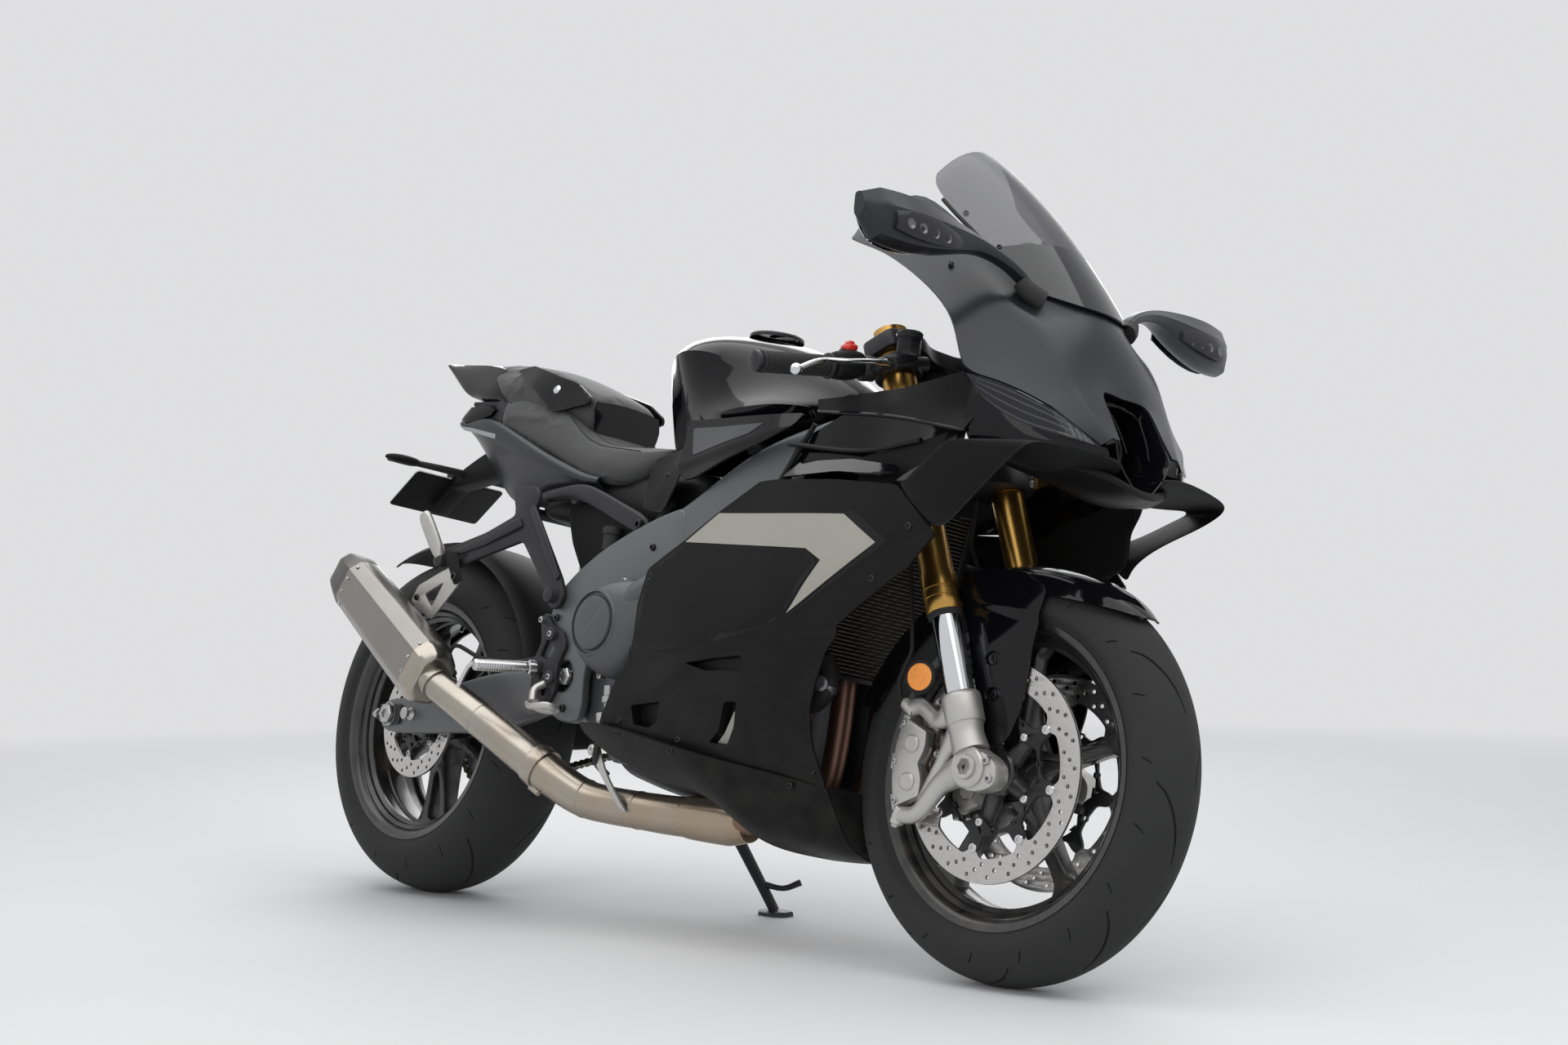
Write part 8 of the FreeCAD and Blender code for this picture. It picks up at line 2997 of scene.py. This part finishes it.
@dataclass
class Footrests:
    """Rider's footrests, pedals and the hangers of the rear footrests."""

    hanger: Flat = ((430, 372), (448, 350), (484, 350), (500, 372), (498, 420), (514, 452),
                    (500, 474), (470, 486), (448, 508), (432, 500), (444, 456), (428, 424))
    stay: Flat = ((300, 738), (374, 732), (384, 712), (376, 690), (430, 624), (478, 566),
                  (492, 536), (478, 514), (458, 514), (438, 540), (400, 586), (352, 634),
                  (250, 610), (150, 584), (104, 586), (100, 612), (124, 624), (240, 652),
                  (322, 682))

    def rider(self) -> None:
        """Rider's side: hanger plate, knurled peg and pedal."""
        plates, pegs, pedals, bolts = Draft(), Draft(), Draft(), Draft()
        holes = [rounded(((446, 432), (470, 426), (484, 446), (462, 466)), 6, 3),
                 circle(470, 372, 8, 20), circle(456, 398, 6, 18)]
        plates.add(plate(rounded(self.hanger, 9, 3), -156, -147, holes, 2))
        for x, z in ((442, 412), (474, 470), (486, 396)):
            plates.turn([(0, 0.1), (0, 12), (8, 11), (9, 8), (9, 0.1)], (x, -155, z),
                        (0, -1, 0), 24)
        start, tip = Vector((441, -158, 411)), Vector((404, -262, 400))
        axis = (tip - start).normalized()
        ribs = ribbed(18, 104, 4.2, ((0, 10.5), (1.6, 10.5), (2.2, 8.8), (3.6, 8.8)))
        profile = [(0, 0.1), (0, 13), (12, 13), (14, 9.5), *ribs, (106, 10.5), (110, 9),
                   (110, 0.1)]
        pegs.turn(profile, start, axis, 20)
        pegs.tube([(408, -250, 400), (382, -251, 402), (368, -252, 384), (356, -252, 362)],
                  (4, 4, 4, 5), 10)
        pedals.tube([(470, -156, 384), (466, -172, 372), (472, -178, 352)], 7, 12)
        loop = [(466, -166, 356), (470, -168, 342), (500, -176, 336), (540, -188, 334),
                (560, -194, 338), (560, -214, 342), (535, -218, 340), (500, -206, 340),
                (476, -192, 346)]
        pedals.tube(loop, (6, 6, 6, 6, 7, 7, 6, 6, 5), 12, 4, 0.7)
        for x, z in ((442, 412), (474, 470), (486, 396), (444, 494)):
            bolt(bolts, (x, -160.5, z), (0, -1, 0), 6, 5)
        piece("rider_footrest_plates", plates.both(), BLACK_ALLOY, ["footrests"])
        piece("rider_pegs", pegs.both(), POLISHED)
        piece("foot_pedals", pedals.both(), CAST)
        piece("footrest_bolts", bolts.both(), ZINC)

    def passenger(self) -> None:
        """Hangers of the rear footrests with their folded pegs."""
        body = plate(rounded(self.stay, 12, 4), -160, -150,
                     [rounded(((150, 600), (196, 610), (180, 620), (150, 614)), 5, 3)], 3)
        body.add(plate(rounded(((376, 700), (432, 632), (478, 570), (470, 562), (420, 620),
                                (366, 690)), 4, 2), -165, -158, bevel=2.5))
        body.add(plate(rounded(((340, 676), (240, 642), (130, 614), (134, 604), (244, 626),
                                (350, 660)), 4, 2), -165, -158, bevel=2.5))
        body.turn([(0, 0.1), (0, 13), (14, 12), (15, 9), (15, 0.1)], (463, -158, 536),
                  (0, -1, 0), 28)
        body.turn([(-40, 0.1), (-40, 9), (2, 9), (2, 0.1)], (340, -152, 712), (0, -1, 0), 20)
        piece("rear_footrest_hangers", body.both(), BLACK_ALLOY, ["passenger_footrests"])
        pegs = Draft()
        foot, head = Vector((124, -166, 602)), Vector((86, -196, 688))
        way = (head - foot).normalized()
        side = Vector((0, 1, 0)).cross(way).normalized()
        out = way.cross(side)
        rows = []
        for t, wide, deep in ((0, 9, 9), (14, 11, 10), (20, 15, 8), (60, 16, 8), (88, 15, 8),
                              (97, 9, 5)):
            middle = foot + way * t
            rows.append([middle + side * (wide * a) + out * (deep * b) for a, b in
                         ((-1, -0.6), (-0.6, -1), (0.6, -1), (1, -0.6), (1, 0.6), (0.6, 1),
                          (-0.6, 1), (-1, 0.6))])
        pegs.grid(rows, around=True, ends=True)
        piece("rear_pegs", pegs.both(), CAST, smooth=2)
        joint = Draft().turn([(-16, 0.1), (-16, 12), (10, 12), (12, 8), (12, 0.1)],
                             (122, -164, 600), (0, -1, 0), 24)
        piece("rear_peg_joints", joint.both(), BLACK_ALLOY)

    def build(self) -> None:
        """Make all footrests."""
        self.rider()
        self.passenger()


@dataclass
class Controls:
    """Clip-on bars with grips, switches, levers and the master cylinder."""

    clamp_at: float = 648.0
    end: tuple[float, float, float] = (1124.0, 365.0, 853.0)

    def at(self, distance: float, side: int, ahead: float = 0.0, up: float = 0.0) -> Vector:
        """Point along a bar from its clamp, moved forward or up.

        Args:
            distance: Distance from the clamp.
            side: 1 for the left bar, -1 for the right.
            ahead: Move forward.
            up: Move up.

        Returns:
            The point.
        """
        clamp = fork(self.clamp_at, 0, side * FORK_SPREAD)
        end = Vector((self.end[0], side * self.end[1], self.end[2]))
        return clamp + (end - clamp).normalized() * distance + Vector((ahead, 0, up))

    def bars(self) -> None:
        """Clamps, bars, grips and bar ends."""
        bars, grips = Draft(), Draft()
        stem = fork(1, 0, 0) - fork(0, 0, 0)
        for side in (-1, 1):
            axis = self.at(1, side) - self.at(0, side)
            bars.turn([(634, 27.3), (634, 35), (637, 37), (659, 37), (662, 35), (662, 27.3)],
                      fork(0, 0, side * FORK_SPREAD), stem, 40)
            lug = fork(648, 30, side * 92)
            bars.tube([lug - axis * 16, lug + axis * 20], 12, 14)
            bars.turn([(30, 0.1), (30, 12.5), (44, 12), (48, 11), (252, 11), (252, 15),
                       (255, 16), (261, 16), (262.5, 13), (262.5, 0.1)], self.at(0, side), axis,
                      28)
            ribs = ribbed(136, 246, 5, ((0, 16.6), (2.4, 16.6), (3, 15.6), (4.4, 15.6)))
            profile = [(126, 11.2), (126, 19), (129, 20), (132, 19), (133, 15.6), *ribs,
                       (248, 17.5), (251, 17), (252, 11.2)]
            grips.turn(profile, self.at(0, side), axis, 36)
        piece("clip_on_bars", bars, BLACK_ALLOY, ["handlebars"], body=Body.STEERING)
        piece("ribbed_grips", grips, RUBBER, ["grips"], body=Body.STEERING)

    def block(self, side: int, spans: Sequence[tuple[float, float, float]],
              lift: float) -> Draft:
        """Rounded block round a bar; spans are (distance, half height, half depth).

        Args:
            side: 1 for the left bar, -1 for the right.
            spans: Distance, half height and half depth of each section.
            lift: Move up.

        Returns:
            The block.
        """
        rows = []
        for distance, tall, deep in spans:
            rows.append([self.at(distance, side, a * deep, lift + b * tall) for a, b in
                         ((-1, -0.6), (-0.6, -1), (0.6, -1), (1, -0.6), (1, 0.6), (0.6, 1),
                          (-0.6, 1), (-1, 0.6))])
        return Draft().grid(rows, around=True, ends=True)

    def switches(self) -> None:
        """Switch blocks with their buttons."""
        blocks, red, keys = Draft(), Draft(), Draft()
        for side in (-1, 1):
            blocks.add(self.block(side, ((74, 16, 16), (78, 22, 21), (98, 25, 23), (118, 22, 21),
                                         (124, 16, 17)), 3))
            for distance in (88, 106):
                keys.add(self.block(side, ((distance - 6, 6, 5), (distance, 8, 6),
                                           (distance + 6, 6, 5)), 22))
        red.add(self.block(-1, ((84, 4, 8), (88, 7, 10), (102, 7, 10), (106, 4, 8)), 30))
        red.add(self.block(-1, ((88, 5, 5), (92, 8, 6), (98, 8, 6), (102, 5, 5)), 34))
        piece("switch_blocks", blocks, MATTE, ["switch_housings"], body=Body.STEERING, smooth=2)
        piece("switch_keys", keys, DUCT, body=Body.STEERING, smooth=1)
        piece("stop_switch", red, RED, body=Body.STEERING, smooth=1)

    def levers(self) -> None:
        """Levers with ball ends on their perches."""
        perches, blades = Draft(), Draft()
        for side in (-1, 1):
            axis = self.at(1, side) - self.at(0, side)
            perches.turn([(46, 11.2), (46, 18), (49, 20), (69, 20), (72, 18), (72, 11.2)],
                         self.at(0, side), axis, 28)
            perches.tube([self.at(56, side, 12, 0), self.at(62, side, 36, 3),
                          self.at(66, side, 50, 4)], (11, 12, 10), 14)
            perches.tube([self.at(44, side, 26, 10), self.at(60, side, 30, 9)], 7, 12)
            tip = Vector((1231, side * 370, 831))
            path = [self.at(60, side, 46, 4), self.at(82, side, 58, 4), self.at(112, side, 66, 3),
                    self.at(150, side, 66, 1), self.at(200, side, 66, -1), tip]
            blades.tube(path, (9, 8, 7, 6.5, 6.5, 6), 14, 5, 0.62)
            blades.turn([(-9, 0.1), (-8, 4.5), (-4, 8.2), (0, 9.2), (4, 8.2), (8, 4.5),
                         (9, 0.1)], tip, axis, 24)
            blades.turn([(-6, 0.1), (-6, 8), (6, 8), (6, 0.1)], self.at(64, side, 46, 4),
                        (0, 0, 1), 20)
        piece("lever_perches", perches, BLACK_ALLOY, body=Body.STEERING)
        piece("lever_blades", blades, POLISHED, ["hand_levers"], body=Body.STEERING, angle=50)

    def hydraulics(self) -> None:
        """Front master cylinder, its reservoir and the steering stem nut."""
        start, end = self.at(18, -1, 54, 12), self.at(56, -1, 53.1, 5.2)
        body = Draft().tube([start, start.lerp(end, 0.3), end], (9, 11, 10), 16)
        foot = (start + end) / 2 + Vector((6, 0, 8))
        pot = Draft().turn([(0, 0.1), (0, 16), (3, 18.5), (26, 18.5), (27, 19.5), (35, 19.5),
                            (36.5, 17), (36.5, 0.1)], foot, (0, 0, 1), 36)
        piece("master_cylinder_body", body, BLACK_ALLOY, ["master_cylinder"], body=Body.STEERING)
        piece("brake_reservoir", pot, SMOKED_LENS, body=Body.STEERING)
        lid = Draft().turn([(26.5, 19.6), (26.5, 20.5), (34, 20.5), (37, 18), (37, 0.1)], foot,
                           (0, 0, 1), 12)
        piece("brake_reservoir_lid", lid, MATTE, body=Body.STEERING)
        nut = Draft().turn([(704, 0.1), (704, 15), (716, 15), (719, 12), (719, 0.1)],
                           fork(0, -STEM_BEHIND, 0), fork(1, 0, 0) - fork(0, 0, 0), 6)
        piece("steering_stem_nut", nut, ZINC, body=Body.STEERING)

    def build(self) -> None:
        """Make the controls."""
        self.bars()
        self.switches()
        self.levers()
        self.hydraulics()


@dataclass
class Dash:
    """Instrument panel behind the screen."""

    low: tuple[float, float] = (1228.0, 1008.0)
    high: tuple[float, float] = (1252.0, 1090.0)

    def build(self) -> None:
        """Make the case and its face."""
        foot, head = Vector((self.low[0], 0, self.low[1])), Vector((self.high[0], 0, self.high[1]))
        up = (head - foot).normalized()
        ahead = Vector((up.z, 0, -up.x))
        rows = []
        for y, cut in ((-76, 10), (-72, 3), (-40, 0), (0, 0), (40, 0), (72, 3), (76, 10)):
            a, b = cut, (head - foot).length - cut
            rows.append([foot + up * t + ahead * d + Vector((0, y, 0)) for t, d in
                         ((a, 4), (a - 1, 14), (a + 6, 22), (b - 6, 22), (b + 1, 14), (b, 4),
                          (b - 5, 1), (a + 5, 1))])
        case = Draft().grid(rows, around=True, ends=True)
        piece("instrument_case", case, MATTE, ["instrument"], smooth=2)
        face = Draft().grid([[foot + up * t + ahead * 0.2 + Vector((0, y, 0))
                              for t in (9, 45, 77)] for y in (-66, 0, 66)])
        piece("instrument_face", face, SCREEN_FACE, slot="lamp_lens", thick=1)


@dataclass
class SideStand:
    """Side stand with its foot and the tang that a boot pushes."""

    pivot: tuple[float, float, float] = (620.0, 122.0, 248.0)
    lean: float = math.radians(10.33)
    rest: tuple[float, float] = (681.0, 250.0)
    folded: tuple[float, float, float] = (-0.98, 0.08, -0.15)

    def build(self) -> None:
        """Make the stand."""
        pivot = Vector(self.pivot)
        target = Vector((self.rest[0], self.rest[1], self.rest[1] * math.tan(self.lean)))
        axis = (target - pivot).cross(Vector(self.folded)).normalized()
        back = PLACE.inverted()
        ground = PLACE @ target

        def over(dx: float, dy: float, z: float) -> Vector:
            """Point over the ground near the foot, upright."""
            return back @ Vector((ground.x + dx / 1000, ground.y + dy / 1000, z / 1000))

        leg = Draft()
        leg.turn([(-8, 6.2), (-8, 15), (-7, 16), (7, 16), (8, 15), (8, 6.2)], pivot, axis, 28,
                 closed=True)
        ankle = over(0, 0, 9)
        way = (ankle - pivot).normalized()
        leg.tube([pivot + way * 14, pivot.lerp(ankle, 0.3), pivot.lerp(ankle, 0.75),
                  over(0, 0, 8)], (11, 10.8, 9.5, 9), 18)
        rows = []
        for dx, wide in ((-26, 14), (-20, 20), (0, 22), (24, 20), (36, 11)):
            rows.append([over(dx, a * wide, z) for a, z in
                         ((-1, 0.2), (1, 0.2), (1, 6), (0.8, 8.6), (-0.8, 8.6), (-1, 6))])
        leg.grid(rows, around=True, ends=True)
        leg.tube([pivot.lerp(ankle, 0.78), pivot.lerp(ankle, 0.78) + Vector((34, 22, -4)),
                  pivot.lerp(ankle, 0.78) + Vector((58, 40, 10))], (5.5, 5, 6), 12)
        piece("side_stand_leg", leg, BLACK_ALLOY, ["side_stand"], body=Body.STAND, angle=40)
        spring = Draft()
        start, end = Vector((606, 108, 270)), pivot.lerp(ankle, 0.02) + Vector((0, 0, 20))
        coil = []
        for k in range(81):
            turn = 2 * math.pi * k / 8
            middle = start.lerp(end, k / 80)
            coil.append(middle + Vector((4.5 * math.cos(turn), 0, 4.5 * math.sin(turn))))
        spring.tube(coil, 1.3, 6, 1)
        piece("side_stand_spring", spring, STEEL)


def dress_frame() -> None:
    """Give every CAD node that stays in view its finish."""
    finishes = {"tyre_rubber": TYRE, "black_wheel": WHEEL, "disc_steel": DISC,
                "black_alloy": BLACK_ALLOY, "gold_anodised": GOLD, "cast_alloy": CAST,
                "dark_steel": STEEL, "engine_metal": ENGINE, "bronze_steel": HEADER,
                "brushed_steel": BARE_STEEL, "gloss_black": GLOSS, "satin_black": SATIN,
                "matte_black": MATTE, "seat_cover": SEAT, "soft_rubber": RUBBER,
                "smoked_screen": SCREEN, "lamp_lens": SMOKED_LENS, "blank_plate": WHITE}
    for part in FRAME["record"]["subparts"]:
        node = FRAME["nodes"][part["node"]]
        if node.hide_render:
            continue
        node.data.materials.clear()
        node.data.materials.append(finishes[part["material_slot"]].material())
        node.data.shade_smooth()
        node.data.set_sharp_from_angle(angle=math.radians(30))


BACKDROP = (0.74, 0.74, 0.75)


@dataclass
class Studio:
    """Pale floor and backdrop, soft lamps and the camera."""

    camera_at: tuple[float, float, float] = (2.8744, -2.6524, 0.583)
    yaw: float = 136.52
    pitch: float = 1.45
    roll: float = -0.25
    lens: float = 52.19
    floor_near: float = 1.6
    floor_far: float = 5.5

    def floor(self) -> None:
        """Floor that turns up softly into the backdrop's colour."""
        made = Draft().grid([[(x, y, 0) for x in range(-24000, 24001, 4000)]
                              for y in range(-24000, 24001, 4000)])
        mesh = made.mesh("studio_floor")
        mesh.transform(Matrix.Scale(0.001, 4))
        ground = loose("studio_floor", mesh)
        finish = bpy.data.materials.new("pale_floor")
        finish.use_nodes = True
        net = Net(finish.node_tree)
        shader = net.tree.nodes["Principled BSDF"]
        net.put(shader.inputs["Roughness"], 0.7)
        noise = net.node("TexNoise", {"Scale": 1.5, "Vector": net.place()}).outputs[0]
        net.put(shader.inputs["Base Color"],
                net.mix(noise, (0.66, 0.66, 0.66), (0.69, 0.69, 0.69)))
        far = net.node("VectorMath", {0: net.place()}, operation="LENGTH").outputs["Value"]
        span = net.node("MapRange", {"From Min": self.floor_near, "From Max": self.floor_far,
                                     "Value": far}).outputs[0]
        glow = net.node("Emission", {"Color": (*BACKDROP, 1)}).outputs[0]
        mix = net.node("MixShader", {"Fac": span, 1: shader.outputs[0], 2: glow}).outputs[0]
        net.put(net.tree.nodes["Material Output"].inputs["Surface"], mix)
        mesh.materials.append(finish)

    def world(self) -> None:
        """Even pale surroundings, brighter where the camera sees them."""
        world = bpy.data.worlds.new("pale_world")
        bpy.context.scene.world = world
        world.use_nodes = True
        net = Net(world.node_tree)
        back = net.tree.nodes["Background"].inputs
        path = net.node("LightPath").outputs
        seen = net.math("MAXIMUM", path["Is Camera Ray"], path["Is Transmission Ray"])
        seen = net.math("MAXIMUM", seen, path["Is Glossy Ray"])
        net.put(back["Color"], net.mix(seen, (0.30, 0.31, 0.33), BACKDROP))
        net.put(back["Strength"], 1.0)

    def lamp(self, name: str, at: Point, towards: Point, size: tuple[float, float],
             power: float, mirrored: bool = True) -> None:
        """Soft rectangular lamp.

        Args:
            name: Its name.
            at: Where it hangs.
            towards: Point that it faces.
            size: Its width and height.
            power: Its power in watts.
            mirrored: Whether shiny surfaces show it.
        """
        light = bpy.data.lights.new(name, "AREA")
        light.shape = "RECTANGLE"
        light.size, light.size_y = size
        light.energy = power
        made = bpy.data.objects.new(name, light)
        bpy.context.scene.collection.objects.link(made)
        made.location = at
        made.visible_glossy = mirrored
        made.visible_transmission = False
        made.rotation_euler = (Vector(towards) - Vector(at)).to_track_quat("-Z", "Y").to_euler()

    def camera(self) -> None:
        """Camera at its place and angle."""
        data = bpy.data.cameras.new("camera")
        data.sensor_width = 36.0
        data.lens = self.lens
        made = bpy.data.objects.new("camera", data)
        bpy.context.scene.collection.objects.link(made)
        yaw, pitch, roll = (math.radians(a) for a in (self.yaw, self.pitch, self.roll))
        ahead = Vector((math.cos(pitch) * math.cos(yaw), math.cos(pitch) * math.sin(yaw),
                        math.sin(pitch)))
        right = ahead.cross(Vector((0, 0, 1))).normalized()
        up = right.cross(ahead)
        right, up = (right * math.cos(roll) + up * math.sin(roll),
                     up * math.cos(roll) - right * math.sin(roll))
        turn = Matrix((right, up, -ahead)).transposed().to_4x4()
        turn.translation = self.camera_at
        made.matrix_world = turn
        bpy.context.scene.camera = made

    def build(self) -> None:
        """Set the whole studio."""
        self.camera()
        self.floor()
        self.world()
        self.lamp("over_lamp", (0.2, -0.4, 3.6), (0.1, 0, 0.4), (6.4, 4.6), 120)
        self.lamp("side_lamp", (1.6, -4.2, 2.0), (0.1, 0, 0.55), (3.0, 1.8), 60, False)
        self.lamp("front_lamp", (3.6, -0.4, 3.0), (0.4, 0, 0.7), (1.4, 1.8), 45, False)
        self.lamp("back_lamp", (-2.8, 2.6, 2.3), (-0.2, 0, 0.6), (3.6, 2.4), 60)
        view = bpy.context.scene.view_settings
        view.view_transform = "Standard"


def main() -> None:
    """Build the studio and every sub-assembly in order."""
    logging.basicConfig(level=logging.INFO, format="%(name)s %(message)s")
    Studio().build()
    parts = [
        FrontWheel("front", Body.FRONT_WHEEL, FRONT_X, FRONT_RADIUS, 60, 60, 240, 50.5, 62.6, 34,
                   ((46, 19), (70, 13), (100, 11), (150, 11), (176, 14), (190, 25)), (), 9, 90),
        RearWheel("rear", Body.REAR_WHEEL, 0.0, REAR_RADIUS, 89, 75, 240, 80, 75, 40,
                  ((52, 24), (80, 22), (120, 27), (160, 34), (190, 44)),
                  ((92, 1), (100, 7), (130, 12), (160, 16), (178, 14), (186, 3)), 8, 54),
        Fork(), Fender(), NoseCowl(), Screen(), Mirrors(), SidePanels(), BellyPan(), Tank(),
        Seats(), TailUnit(), Exhaust(), MainFrame(), Engine(), Radiator(), Swingarm(),
        Footrests(), Controls(), Dash(), SideStand(),
    ]
    for part in parts:
        part.build()
    dress_frame()
    LOG.info("all pieces made")


if __name__ == "__main__":
    main()
